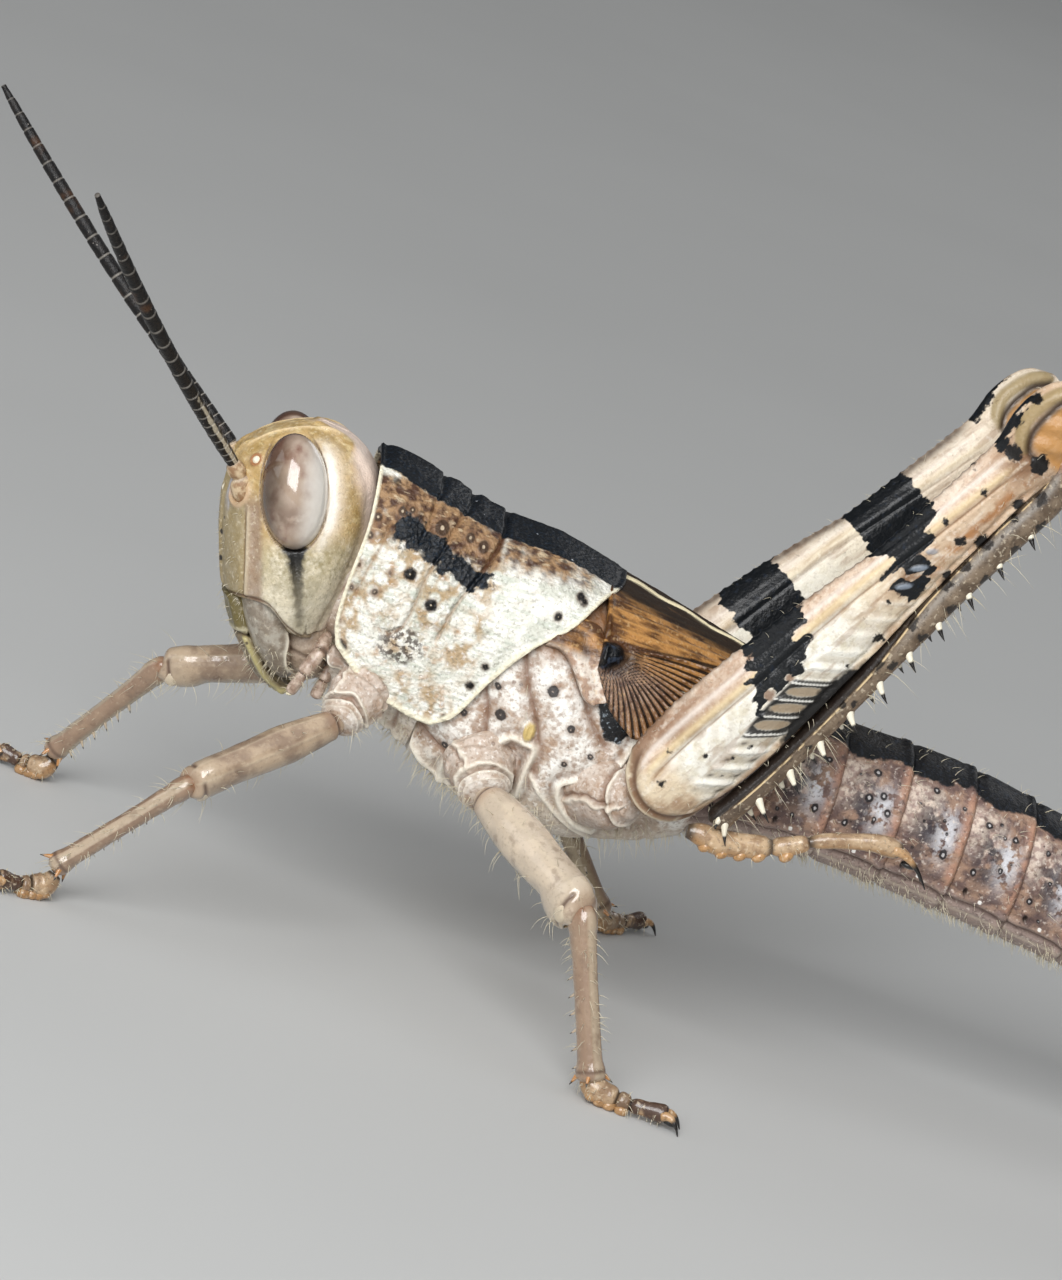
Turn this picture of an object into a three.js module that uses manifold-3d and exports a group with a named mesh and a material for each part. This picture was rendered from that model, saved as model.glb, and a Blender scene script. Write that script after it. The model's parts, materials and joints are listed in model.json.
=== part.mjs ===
// Late-stage nymph of a large short-horned grasshopper (a locust), standing on its
// four front feet with both hind legs folded. Life size, in millimetres, +Z up.
// The head points along -X and the left side of the body faces -Y. The floor is Z = 0.
// Shapes are first drawn in a body frame whose X and Y start under the middle coxae;
// the last lines move the whole group so that its origin is the middle of its footprint.

import * as THREE from 'three';
import { mergeVertices } from 'three/addons/utils/BufferGeometryUtils.js';
import Module from 'manifold-3d';

const wasm = await Module();
wasm.setup();

// ---------------------------------------------------------------- driving dimensions
const GAP = 0.15; // thin cut between neighbouring pieces
const PLATE = 0.55; // thickness of the pronotum and of the wing pads
const SIDES = { left: -1, right: 1 };

const HEAD_X = -8.2; // middle of the head
const HEAD_Z = 12.6;
const HEAD_LEAN = 17.5; // degrees that the face leans back from upright

const EYE_HIGH = 1.94; // half height of the eye
const EYE_LONG = 1.14; // half length of the eye, front to back
const EYE_DEEP = 1.2; // half depth of the eye, across the head

const ANTENNA_RADIUS = 0.27;
const FEMUR_LENGTH = 20.4; // hind femur, from its round base to the end of the knee
const SPINE_LENGTH = 0.6; // how far a tibial spine stands out of the shaft
const SPINE_RADIUS = 0.2;
const SPINE_LEAN = 0.25; // how far its tip leans back towards the foot
const SPINES_IN_ROW = 10;
const SPINE_ROW = { first: 2.9, last: 15.6, stagger: 0.25 }; // places along the femur

// Where each abdominal ring starts and ends along the body.
const RING_ENDS = [7.5, 9.8, 12.1, 14.5, 16.9, 19.2, 21.5, 23.8, 26.0, 28.1, 30.0];

// Joints of the legs, [x, distance from the middle plane, z], in the body frame.
const LEGS = {
  fore_left: {
    root: [-4.35, 2.55, 9.2], hip: [-5.0, 3.9, 8.15], knee: [-9.2, 6.4, 5.4],
    ankle: [-12.6, 5.95, 1.2], toe: [-14.3, 6.65, 0.3], thick: 1,
  },
  fore_right: {
    root: [-4.35, 2.55, 9.2], hip: [-5.0, 3.9, 8.15], knee: [-10.35, 5.1, 6.0],
    ankle: [-13.0, 7.5, 1.15], toe: [-14.7, 8.2, 0.3], thick: 1,
  },
  mid_left: {
    root: [0.0, 2.9, 8.2], hip: [0.4, 4.5, 7.35], knee: [3.95, 9.2, 5.95],
    ankle: [5.95, 10.15, 0.75], toe: [8.65, 10.6, 0.3], thick: 1.2,
  },
  mid_right: {
    root: [0.0, 2.9, 8.2], hip: [0.4, 4.5, 7.35], knee: [3.5, 9.1, 6.1],
    ankle: [7.75, 9.5, 0.75], toe: [9.6, 11.3, 0.3], thick: 1.2,
  },
};

// The hind legs: base of the femur, end of the knee, and how far the foot runs back and up.
const HIND = {
  left: { base: [5.15, 5.35, 8.85], knee: [14.8, 7.0, 26.85], drift: [7.2, 1.35] },
  right: { base: [5.25, 5.3, 8.25], knee: [17.0, 10.0, 23.7], drift: [7.0, 0.9] },
};

// ---------------------------------------------------------------- small tools
const vector = (x, y, z) => new THREE.Vector3(x, y, z);
const radians = THREE.MathUtils.degToRad;

/** Smooth function through [position, value] pairs, flat beyond its ends. */
function curve(...pairs) {
  const slope = (i) => {
    const a = pairs[Math.max(i - 1, 0)];
    const b = pairs[Math.min(i + 1, pairs.length - 1)];
    return (b[1] - a[1]) / (b[0] - a[0]);
  };
  return (x) => {
    if (x <= pairs[0][0]) return pairs[0][1];
    if (x >= pairs[pairs.length - 1][0]) return pairs[pairs.length - 1][1];
    const i = pairs.findIndex((pair) => pair[0] > x) - 1;
    const span = pairs[i + 1][0] - pairs[i][0];
    const t = (x - pairs[i][0]) / span;
    const s = 1 - t;
    return pairs[i][1] * s * s * (1 + 2 * t) + pairs[i + 1][1] * t * t * (3 - 2 * t)
      + span * (slope(i) * t * s * s - slope(i + 1) * t * t * s);
  };
}

/** Rounded outline: cosine and sine bent to a superellipse of the given power. */
function superellipse(angle, power) {
  const bend = (value) => Math.sign(value) * Math.abs(value) ** (2 / power);
  return [bend(Math.cos(angle)), bend(Math.sin(angle))];
}

/** One closed body through rings of points, with a fan over each end. */
function skin(rings) {
  const sides = rings[0].length;
  const points = rings.flat();
  const faces = [];
  for (let r = 0; r + 1 < rings.length; r += 1) {
    for (let s = 0; s < sides; s += 1) {
      const a = r * sides + s;
      const b = r * sides + ((s + 1) % sides);
      faces.push(a, b, b + sides, a, b + sides, a + sides);
    }
  }
  [0, rings.length - 1].forEach((r) => {
    const middle = new THREE.Vector3();
    rings[r].forEach((point) => middle.addScaledVector(point, 1 / sides));
    points.push(middle);
    for (let s = 0; s < sides; s += 1) {
      const a = r * sides + s;
      const b = r * sides + ((s + 1) % sides);
      if (r === 0) faces.push(points.length - 1, b, a);
      else faces.push(points.length - 1, a, b);
    }
  });
  const geometry = new THREE.BufferGeometry();
  geometry.setAttribute('position', new THREE.Float32BufferAttribute(
    points.flatMap((point) => point.toArray()), 3));
  geometry.setIndex(faces);
  return outward(geometry);
}

/** Turns the faces of a closed geometry so that they point out of it. */
function outward(geometry) {
  const at = geometry.getAttribute('position');
  const index = Array.from(geometry.getIndex().array);
  const corner = (i) => new THREE.Vector3().fromBufferAttribute(at, index[i]);
  let volume = 0;
  for (let i = 0; i < index.length; i += 3) {
    volume += corner(i).dot(corner(i + 1).cross(corner(i + 2)));
  }
  if (volume < 0) {
    for (let i = 0; i < index.length; i += 3) {
      [index[i], index[i + 1]] = [index[i + 1], index[i]];
    }
    geometry.setIndex(index);
  }
  return geometry;
}

/** A three.js geometry as a solid that can be joined and cut. */
function solid(geometry) {
  const plain = geometry.clone();
  plain.deleteAttribute('normal');
  plain.deleteAttribute('uv');
  const merged = mergeVertices(plain, 1e-5);
  const mesh = new wasm.Mesh({
    numProp: 3,
    vertProperties: new Float32Array(merged.getAttribute('position').array),
    triVerts: new Uint32Array(merged.getIndex().array),
  });
  return new wasm.Manifold(mesh);
}

const joined = (...parts) => parts.reduce((whole, part) => whole.add(part));

/**
 * A loft: rings set by place(t) at each of the given positions t. Each place has a
 * centre, two directions (up, side) and the reach of the ring up, down and sideways.
 * grow swells the body on all sides, for the hollow that it leaves in its neighbours.
 */
function loft(positions, sides, place, grow = 0) {
  const rings = positions.map((t, i) => {
    const p = place(t);
    const ring = [];
    const end = (i === 0 ? -1 : 0) + (i === positions.length - 1 ? 1 : 0);
    const shift = p.along ? p.along.clone().multiplyScalar(end * grow) : vector(0, 0, 0);
    for (let s = 0; s < sides; s += 1) {
      const [u, v] = superellipse((2 * Math.PI * s) / sides, p.power ?? 2);
      const reach = (u > 0 ? p.up : p.down) + grow;
      ring.push(p.centre.clone().add(shift)
        .addScaledVector(p.upward, u * reach)
        .addScaledVector(p.sideward, v * (p.half + grow)));
    }
    return ring;
  });
  return solid(skin(rings));
}

/** Evenly spaced positions from a to b. */
const steps = (a, b, count) => Array.from({ length: count + 1 }, (_, i) => a + ((b - a) * i) / count);

/**
 * A limb through [point, reach up and down, reach sideways] stations. Its rings stand
 * across the path, with their long way in the plane of the path and the given lift.
 */
function limb(stations, sides, grow = 0, lift = vector(0, 0, 1), power = 2) {
  const at = (i) => stations[Math.min(Math.max(i, 0), stations.length - 1)][0];
  return loft(stations.map((_, i) => i), sides, (i) => {
    const along = at(i + 1).clone().sub(at(i - 1)).normalize();
    const sideward = along.clone().cross(lift).normalize();
    const upward = sideward.clone().cross(along).normalize();
    const [centre, high, wide] = stations[i];
    return { centre, along, upward, sideward, up: high, down: high, half: wide, power };
  }, grow);
}

/** A pointed spine with four faces, from a buried root to its tip. */
function spike(root, tip, radius, grow) {
  const way = tip.clone().sub(root).normalize();
  const length = root.distanceTo(tip) + 2 * grow;
  const geometry = new THREE.ConeGeometry(radius + grow, length, 4);
  geometry.applyQuaternion(new THREE.Quaternion().setFromUnitVectors(vector(0, 1, 0), way));
  const middle = root.clone().addScaledVector(way, length / 2 - grow);
  geometry.translate(middle.x, middle.y, middle.z);
  return solid(geometry);
}

/** A ball stretched along its own frame, as a solid. */
function ball(centre, reach, grow, turn = [0, 0, 0], detail = [16, 10]) {
  const geometry = new THREE.SphereGeometry(1, detail[0], detail[1]);
  geometry.scale(reach[0] + grow, reach[1] + grow, reach[2] + grow);
  const euler = new THREE.Euler(radians(turn[0]), radians(turn[1]), radians(turn[2]), 'ZYX');
  geometry.applyQuaternion(new THREE.Quaternion().setFromEuler(euler));
  geometry.translate(centre.x, centre.y, centre.z);
  return solid(geometry);
}

/** A slab across the body: an outline in X and Z, from one Y to another, swollen by grow. */
function slab(outline, nearY, farY, grow = 0) {
  const loop = outline.map(([x, z]) => new THREE.Vector2(x, z));
  const turn = THREE.ShapeUtils.isClockWise(loop) ? -1 : 1;
  const swollen = loop.map((point, i) => {
    const before = loop[(i + loop.length - 1) % loop.length];
    const after = loop[(i + 1) % loop.length];
    const way = after.clone().sub(before).normalize();
    return new THREE.Vector2(point.x + turn * way.y * grow, point.y - turn * way.x * grow);
  });
  const depth = farY - nearY + 2 * grow;
  const geometry = new THREE.ExtrudeGeometry(new THREE.Shape(swollen), {
    depth, bevelEnabled: false,
  });
  geometry.rotateX(Math.PI / 2);
  geometry.translate(0, farY + grow, 0);
  return solid(geometry);
}

/** Points of a smooth closed or open line through the given [x, z] corners. */
function smooth(corners, count) {
  const line = new THREE.SplineCurve(corners.map(([x, z]) => new THREE.Vector2(x, z)));
  return line.getPoints(count).map((point) => [point.x, point.y]);
}

// ---------------------------------------------------------------- trunk
const trunkTop = curve([-6.4, 14.9], [-2.6, 14.9], [1, 14.7], [3, 14.3], [5, 13.85],
  [7.5, 13.25], [9.5, 12.8], [12, 12.4], [16, 12.2], [20, 11.5], [24, 10.6], [28, 9.4], [31, 8.3]);
const trunkBottom = curve([-6.4, 8.6], [-3.6, 7.75], [-2, 7.05], [-0.5, 6.35], [2, 6.1],
  [4.6, 6.25], [7.8, 7.25], [10, 7.6], [13, 7.5], [16, 7.2], [20, 6.75], [24, 6.2], [28, 5.6], [31, 5.6]);
const trunkHalf = curve([-6.4, 2.1], [-3.6, 2.3], [-2.4, 2.55], [-1, 3.15], [0.5, 3.7], [3, 4.0], [5, 3.85],
  [7.5, 3.2], [9.5, 2.75], [12, 2.45], [16, 2.35], [20, 2.25], [24, 2.05], [28, 1.65], [31, 0.95]);
const trunkPower = curve([-6, 2.3], [0, 2.7], [5, 2.7], [9, 2.4], [30, 2.2]);

/** Ring of the trunk at x. */
function trunkRing(x) {
  const middle = (trunkTop(x) + trunkBottom(x)) / 2;
  const reach = (trunkTop(x) - trunkBottom(x)) / 2;
  return {
    centre: vector(x, 0, middle), along: vector(1, 0, 0), upward: vector(0, 0, 1),
    sideward: vector(0, 1, 0), up: reach, down: reach, half: trunkHalf(x), power: trunkPower(x),
  };
}

const crest = curve([-6.4, 16.6], [-5.4, 16.72], [-2.6, 16.02], [-1.2, 15.74], [0.5, 15.65],
  [2, 15.32], [3.2, 14.98]);
const saddleHalf = curve([-6.4, 2.95], [-4.5, 3.25], [-2, 3.5], [0.5, 3.95], [3.2, 4.2]);
const SADDLE_MIDDLE = 12.2; // height at which the side lobes are widest
const SADDLE_DEEP = 7.2; // how far the arch would reach below that height

/** Ring of the arch that the pronotum is cut from, at x. */
function saddleRing(x) {
  return {
    centre: vector(x, 0, SADDLE_MIDDLE), along: vector(1, 0, 0), upward: vector(0, 0, 1),
    sideward: vector(0, 1, 0), up: crest(x) - SADDLE_MIDDLE, down: SADDLE_DEEP,
    half: saddleHalf(x), power: 2.3,
  };
}

// Side view of the pronotum: front edge, rounded lower lobe, slanted hind edge.
const SADDLE_OUTLINE = [
  [-6.1, 17.5], ...smooth([[-6.15, 16.6], [-6.0, 14.6], [-6.1, 12.6], [-6.0, 10.7],
    [-5.3, 10.05], [-4.1, 9.3], [-2.7, 8.87], [-1.85, 8.8], [-1.3, 9.4], [-0.6, 10.9],
    [0.4, 12.5], [1.4, 13.5], [2.2, 14.6], [3.1, 15.0]], 17), [3.1, 17.5],
];

function pronotum(grow) {
  const positions = steps(-6.4, 3.3, 5);
  const outside = loft(positions, 18, saddleRing, grow);
  const inside = loft([-8, ...positions, 5], 18, saddleRing, -PLATE - grow);
  const shell = outside.subtract(inside);
  return shell.intersect(slab(SADDLE_OUTLINE, -6, 6, grow));
}

function prothorax(grow) {
  return loft([-5.6, -4, -2.45], 12, trunkRing, grow);
}

function prosternalPeg(grow) {
  return limb([[vector(-3.9, 0, 8.6), 0.5, 0.5], [vector(-4.0, 0, 7.5), 0.42, 0.42],
    [vector(-4.1, 0, 7.05), 0.28, 0.28]], 8, grow, vector(1, 0, 0));
}

function pterothorax(grow) {
  return loft([-2.15, -0.8, 1, 3, 5, RING_ENDS[0] - GAP], 16, trunkRing, grow);
}

/** A shell that hugs the trunk, between two distances from its surface. */
function jacket(inner, outer) {
  const positions = [-0.8, 1, 3, 5, RING_ENDS[0], RING_ENDS[1], 11];
  const outside = loft(positions, 16, trunkRing, outer);
  const inside = loft([-3, ...positions, 13], 16, trunkRing, inner);
  return outside.subtract(inside);
}

// Side view of the pads: the hind one is a broad triangle that ends in a blunt point.
const HIND_PAD = [[1.75, 14.35], [3.0, 16.5], [7.5, 15.6], [9.3, 13.6], [9.9, 12.9],
  [9.7, 12.5], [8.2, 11.75], [6.2, 10.95], [4.4, 10.75], [3.4, 11.5], [2.6, 12.7]];
const FORE_PAD = [[0.35, 12.9], [1.4, 13.9], [1.7, 14.4], [2.5, 12.75], [3.2, 11.6], [2.1, 12.2]];
const PAD_SEAM = 0.12; // half the slit between the left and right pads

function wingPad(outline, side, grow) {
  const near = side < 0 ? -6 : PAD_SEAM;
  const far = side < 0 ? -PAD_SEAM : 6;
  const shell = jacket(GAP - grow / 2, GAP + PLATE + grow);
  return shell.intersect(slab(outline, near, far, grow));
}

function abdomenRing(i, grow) {
  const [start, end] = [RING_ENDS[i], RING_ENDS[i + 1] - GAP];
  return loft([start, end], 12, trunkRing, grow);
}

/** Last plates of the abdomen, closing it with a rounded cone. */
function tailPlates(grow) {
  const start = RING_ENDS[RING_ENDS.length - 1];
  const reach = [1, 0.86, 0.62, 0.3];
  return loft([0, 1, 2, 3], 10, (i) => {
    const ring = trunkRing(start + i * 0.05);
    ring.centre.x = start + [0, 0.5, 1.0, 1.35][i];
    ring.up *= reach[i];
    ring.down *= reach[i];
    ring.half *= reach[i];
    return ring;
  }, grow);
}

function cercus(side, grow) {
  return limb([[vector(30.2, side * 1.25, 7.7), 0.34, 0.3], [vector(31.0, side * 1.35, 7.75), 0.3, 0.27],
    [vector(31.6, side * 1.3, 7.8), 0.25, 0.25]], 8, grow);
}

/** Four short pointed valves below the tail, as two pairs joined along the middle. */
function valves(grow) {
  const upper = limb([[vector(29.9, 0, 6.0), 0.5, 0.8], [vector(31.2, 0, 6.3), 0.42, 0.6],
    [vector(32.0, 0, 6.7), 0.25, 0.35]], 10, grow);
  const lower = limb([[vector(29.9, 0, 5.6), 0.42, 0.75], [vector(31.1, 0, 5.55), 0.35, 0.55],
    [vector(31.8, 0, 5.3), 0.25, 0.3]], 10, grow);
  return joined(upper, lower);
}

// ---------------------------------------------------------------- head
const lean = radians(HEAD_LEAN);
const headUp = vector(-Math.sin(lean), 0, Math.cos(lean));
const headFore = vector(-Math.cos(lean), 0, -Math.sin(lean));

/** Point of the head: forward, across (left is negative) and up from its middle. */
function inHead(fore, across, up) {
  return vector(HEAD_X, across, HEAD_Z).addScaledVector(headFore, fore).addScaledVector(headUp, up);
}

const faceFront = curve([-2.6, 1.6], [-1.6, 2.0], [-0.6, 2.15], [1.6, 2.12], [2.6, 1.84], [3.3, 1.6],
  [3.85, 0.86], [4.1, 0], [4.22, -0.7]);
const SKULL_WIDEST = 0.47; // how far from its back, towards the face, the head is widest
const skullBack = curve([-2.6, -1.35], [-1.4, -2.0], [0, -2.6], [1.5, -3.15], [2.4, -3.15],
  [3.2, -2.76], [3.8, -2.15], [4.08, -1.6], [4.22, -1.3]);
const skullHalf = curve([-2.6, 2.55], [-1.6, 2.8], [-0.4, 2.78], [1, 2.55], [2.4, 2.3], [3.2, 1.85],
  [3.7, 1.4], [4.05, 0.8], [4.22, 0.25]);

function headCapsule(grow) {
  const heights = [-2.6, -1.6, -0.4, 1.2, 2.6, 3.3, 3.8, 4.1];
  return loft(heights, 14, (h) => {
    const middle = skullBack(h) + SKULL_WIDEST * (faceFront(h) - skullBack(h));
    return {
      centre: inHead(middle, 0, h), along: headUp, upward: headFore, sideward: vector(0, 1, 0),
      up: faceFront(h) - middle, down: middle - skullBack(h), half: skullHalf(h), power: 2.15,
    };
  }, grow);
}

function eye(side, grow) {
  return ball(inHead(-0.27, side * 2.0, 2.22), [EYE_LONG, EYE_DEEP, EYE_HIGH], grow,
    [side * 12, -HEAD_LEAN, 0], [12, 7]);
}

// Tips of the feelers, in the body frame: the left one swings out further.
const FEELER_TIPS = { left: [-18.15, -10.6, 23.85], right: [-21.65, 5.4, 23.6] };

/** Feeler: a round scape and pedicel, then one long gently bowed thread. */
function antenna(name, grow) {
  const side = SIDES[name];
  const socket = inHead(1.2, side * 1.2, 2.25);
  const start = inHead(1.78, side * 1.45, 3.1);
  const tip = vector(...FEELER_TIPS[name]);
  const bow = vector(-0.22, 0, -0.12);
  const stations = [[socket, 0.34, 0.34], [socket.clone().lerp(start, 0.55), 0.34, 0.34]];
  steps(0.04, 1, 5).forEach((t) => {
    const centre = start.clone().lerp(tip, t).addScaledVector(bow, 4 * t * (1 - t));
    stations.push([centre, ANTENNA_RADIUS, ANTENNA_RADIUS]);
  });
  return limb(stations, 7, grow);
}

/** Upper lip with the clypeus: a plate down the front of the mouth. */
function labrum(grow) {
  const front = curve([-5.0, 0.25], [-4.4, 0.66], [-3.7, 1.2], [-3.2, 1.55], [-2.5, 1.82], [-1.9, 1.93]);
  const half = curve([-5.0, 0.5], [-4.4, 1.05], [-3.6, 1.35], [-2.9, 1.4], [-1.9, 1.3]);
  return loft([-5.0, -4.4, -3.6, -2.75], 12, (h) => ({
    centre: inHead(front(h) - 0.42, 0, h), along: headUp, upward: headFore,
    sideward: vector(0, 1, 0), up: 0.42, down: 0.42, half: half(h), power: 2.6,
  }), grow);
}

function mandible(side, grow) {
  return ball(inHead(0.25, side * 1.15, -3.0), [1.05, 1.05, 1.5], grow, [0, -HEAD_LEAN, 0], [8, 5]);
}

/** Outer jaw behind the mandible, with its five-jointed feeler as one bent finger. */
function maxilla(side, grow) {
  const body = ball(inHead(-0.95, side * 1.05, -3.3), [0.75, 0.7, 1.2], grow,
    [0, -HEAD_LEAN, 0], [7, 4]);
  const palp = limb([
    [inHead(-1.3, side * 1.4, -3.0), 0.3, 0.3], [inHead(-1.5, side * 2.05, -3.6), 0.27, 0.27],
    [inHead(-0.9, side * 2.2, -4.2), 0.25, 0.25], [inHead(-0.35, side * 2.0, -4.75), 0.27, 0.27],
  ], 6, grow);
  return joined(body, palp);
}

function labium(grow) {
  const body = ball(inHead(-1.75, 0, -3.5), [0.5, 1.1, 1.35], grow, [0, -HEAD_LEAN, 0], [7, 5]);
  const palps = Object.values(SIDES).map((side) => limb([
    [inHead(-1.9, side * 0.7, -3.9), 0.26, 0.26], [inHead(-1.85, side * 1.3, -4.6), 0.25, 0.25],
    [inHead(-1.4, side * 1.35, -5.15), 0.25, 0.25]], 6, grow));
  return joined(body, ...palps);
}

function neck(grow) {
  return limb([[inHead(-2.0, 0, 0.6), 2.3, 2.1], [vector(-6.1, 0, 12.1), 2.5, 2.15],
    [vector(-5.75, 0, 12.0), 2.6, 2.2]], 12, grow);
}

// ---------------------------------------------------------------- legs
const joint = (place, side) => vector(place[0], side * place[1], place[2]);

function coxa(name, side, grow) {
  const { root, hip, thick } = LEGS[name];
  const [start, end] = [joint(root, side), joint(hip, side)];
  const middle = start.clone().lerp(end, 0.55);
  return limb([[start, 1.05 * thick, 1.0 * thick], [middle, 0.95 * thick, 0.95 * thick],
    [end, 0.6 * thick, 0.6 * thick]], 10, grow);
}

function walkingFemur(name, side, grow) {
  const { hip, knee, thick } = LEGS[name];
  const [start, end] = [joint(hip, side), joint(knee, side)];
  const reach = [0.52, 0.72, 0.64, 0.66];
  return limb([0.03, 0.35, 0.8, 1.0].map((t, i) => [start.clone().lerp(end, t),
    reach[i] * thick, reach[i] * thick * 0.92]), 9, grow);
}

function walkingTibia(name, side, grow) {
  const { knee, ankle, thick } = LEGS[name];
  const [start, end] = [joint(knee, side), joint(ankle, side)];
  const reach = [0.4, 0.46, 0.36, 0.4];
  return limb([0.0, 0.12, 0.3, 0.97].map((t, i) => [start.clone().lerp(end, t),
    reach[i] * thick, reach[i] * thick * 0.92]), 8, grow, vector(1, 0, 0));
}

/** Standing foot: three pads with flat soles on the floor, and two hooked claws. */
function walkingFoot(name, side, grow) {
  const { ankle, toe } = LEGS[name];
  const [start, end] = [joint(ankle, side), joint(toe, side)];
  const way = end.clone().sub(start).setZ(0).normalize();
  const out = way.clone().cross(vector(0, 0, 1));
  const along = (t, z) => start.clone().lerp(end, t).setZ(z);
  const sole = limb([[along(-0.05, 0.75), 0.3, 0.28], [along(0.12, 0.42), 0.46, 0.42],
    [along(0.36, 0.3), 0.42, 0.4], [along(0.52, 0.34), 0.3, 0.3],
    [along(0.88, 0.42), 0.36, 0.34], [along(1.0, 0.4), 0.3, 0.34]], 7, grow);
  const claws = [-1, 1].map((turn) => limb([
    [along(0.92, 0.42).addScaledVector(out, turn * 0.15), 0.24, 0.22],
    [along(1.08, 0.48).addScaledVector(out, turn * 0.36), 0.22, 0.2],
    [along(1.24, 0.3).addScaledVector(out, turn * 0.5), 0.16, 0.15]], 4, grow));
  const foot = joined(sole, ...claws);
  const below = new THREE.BoxGeometry(12, 12, 4).translate(end.x, end.y, -2 - grow);
  return foot.subtract(solid(below));
}

function hindCoxa(side, grow) {
  return limb([[vector(3.9, side * 2.6, 8.5), 1.45, 1.35], [vector(4.35, side * 3.7, 8.5), 1.4, 1.3],
    [vector(4.95, side * 4.6, 8.75), 0.95, 0.85]], 10, grow);
}

/** The frame of a folded hind leg: along the femur, and across it towards the tibia. */
function hindFrame(name) {
  const side = SIDES[name];
  const base = joint(HIND[name].base, side);
  const along = joint(HIND[name].knee, side).sub(base).normalize();
  const sideward = vector(0, side, 0).addScaledVector(along, -side * along.y).normalize();
  const under = sideward.clone().cross(along).multiplyScalar(side);
  const place = (s, down, out = 0) => base.clone().addScaledVector(along, s)
    .addScaledVector(under, down).addScaledVector(sideward, out);
  return { place, along, under, sideward, side };
}

const femurUp = curve([0, 0.55], [0.5, 1.15], [1.6, 1.6], [4, 1.82], [8, 1.68], [12, 1.36], [15.5, 1.06],
  [17, 1.0], [18.8, 1.2], [19.8, 1.0], [20.4, 0.5]);
const femurDown = curve([0, 0.45], [0.5, 1.1], [1.6, 1.6], [4, 1.85], [8, 1.7], [12, 1.38], [15.5, 1.08],
  [17, 1.0], [18.8, 1.3], [19.8, 1.0], [20.4, 0.45]);
const femurHalf = curve([0, 0.4], [0.6, 0.8], [2, 0.98], [5, 1.02], [9, 0.9], [13, 0.7], [17, 0.6],
  [18.8, 0.7], [19.8, 0.58], [20.4, 0.35]);

/** How far the middle of the femur lies below the straight line from base to knee. */
const femurAxis = (s) => 0.1 - 0.012 * s;

function hindFemur(name, grow) {
  const frame = hindFrame(name);
  const positions = [0, 0.4, 1.2, 3.2, 7, 11.5, 16.6, 18.2, 19.3, FEMUR_LENGTH];
  return loft(positions, 12, (s) => ({
    centre: frame.place(s, femurAxis(s)), along: frame.along,
    upward: frame.under.clone().negate(), sideward: frame.sideward,
    up: femurUp(s), down: femurDown(s), half: femurHalf(s), power: 1.9,
  }), grow);
}

// Line of the folded tibia: how far below the femur's axis it lies at the knee and foot.
const TIBIA_KNEE = { s: 19.5, down: 0.6 };
const TIBIA_FOOT = { s: 1.45, down: 2.25 };

function tibiaLine(frame) {
  const drop = curve([TIBIA_FOOT.s, TIBIA_FOOT.down], [6, 2.22], [13, 1.85], [17.3, 1.42],
    [TIBIA_KNEE.s, TIBIA_KNEE.down]);
  return (s) => frame.place(s, drop(s));
}

function hindTibia(name, grow) {
  const frame = hindFrame(name);
  const line = tibiaLine(frame);
  const reach = [0.42, 0.5, 0.44, 0.42, 0.42, 0.5];
  const shaft = limb([19.4, 18.4, 17, 12, 6, TIBIA_FOOT.s].map((s, i) => [line(s),
    reach[i], reach[i] * 0.95]), 7, grow, frame.under);
  const spines = [];
  const { first, last, stagger } = SPINE_ROW;
  [-1, 1].forEach((row) => steps(first, last, SPINES_IN_ROW - 1).forEach((s) => {
    const root = line(s + row * stagger).addScaledVector(frame.under, 0.15)
      .addScaledVector(frame.sideward, row * 0.15);
    const tip = root.clone().addScaledVector(frame.under, 0.26 + SPINE_LENGTH)
      .addScaledVector(frame.sideward, row * 0.4).addScaledVector(frame.along, -SPINE_LEAN);
    spines.push(spike(root, tip, SPINE_RADIUS, grow));
  }));
  return joined(shaft, ...spines);
}

/** Hind foot, held clear of the floor beside the abdomen: four spurs, three joints, claws. */
function hindFoot(name, grow) {
  const side = SIDES[name];
  const frame = hindFrame(name);
  const start = tibiaLine(frame)(TIBIA_FOOT.s).addScaledVector(frame.along, -0.75);
  const [back, up] = HIND[name].drift;
  const end = start.clone().add(vector(back, side * -0.35, up));
  const at = (t, dz = 0) => start.clone().lerp(end, t).add(vector(0, 0, dz));
  const sole = limb([[at(0.0, 0.12), 0.42, 0.38], [at(0.12, -0.18), 0.46, 0.4],
    [at(0.36, -0.1), 0.42, 0.36], [at(0.46, -0.05), 0.3, 0.28],
    [at(0.82, 0.2), 0.3, 0.28], [at(0.9, 0.1), 0.32, 0.32]], 6, grow);
  const claws = [-1, 1].map((turn) => limb([[at(0.86, 0.1).add(vector(0, turn * 0.15, 0)), 0.24, 0.22],
    [at(0.95, 0.12).add(vector(0, turn * 0.36, 0)), 0.22, 0.2],
    [at(1.02, -0.15).add(vector(0, turn * 0.46, 0)), 0.16, 0.15]], 4, grow));
  const spurs = [-1, 1].map((turn) => spike(at(0.02, 0).add(vector(0, turn * 0.25, 0)),
    at(0.02, -0.9).add(vector(0.15, turn * 0.42, 0)), 0.24, grow));
  return joined(sole, ...claws, ...spurs);
}

// ---------------------------------------------------------------- assembly
const COLOURS = {
  horn: [0xb9a27a, 0.42], eye: [0x8d7468, 0.12], feeler: [0x2a211c, 0.5], saddle: [0xb9b29a, 0.5],
  membrane: [0xc2a695, 0.6], pleura: [0xc9bba8, 0.48], pad: [0x9a6a34, 0.45], belly: [0xa58d84, 0.55],
  leg: [0xa48b6e, 0.42], femur: [0xc7b394, 0.42], tibia: [0x8f7a63, 0.42], foot: [0x8a6a48, 0.5],
};

const group = new THREE.Group();
const placed = [];

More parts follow.
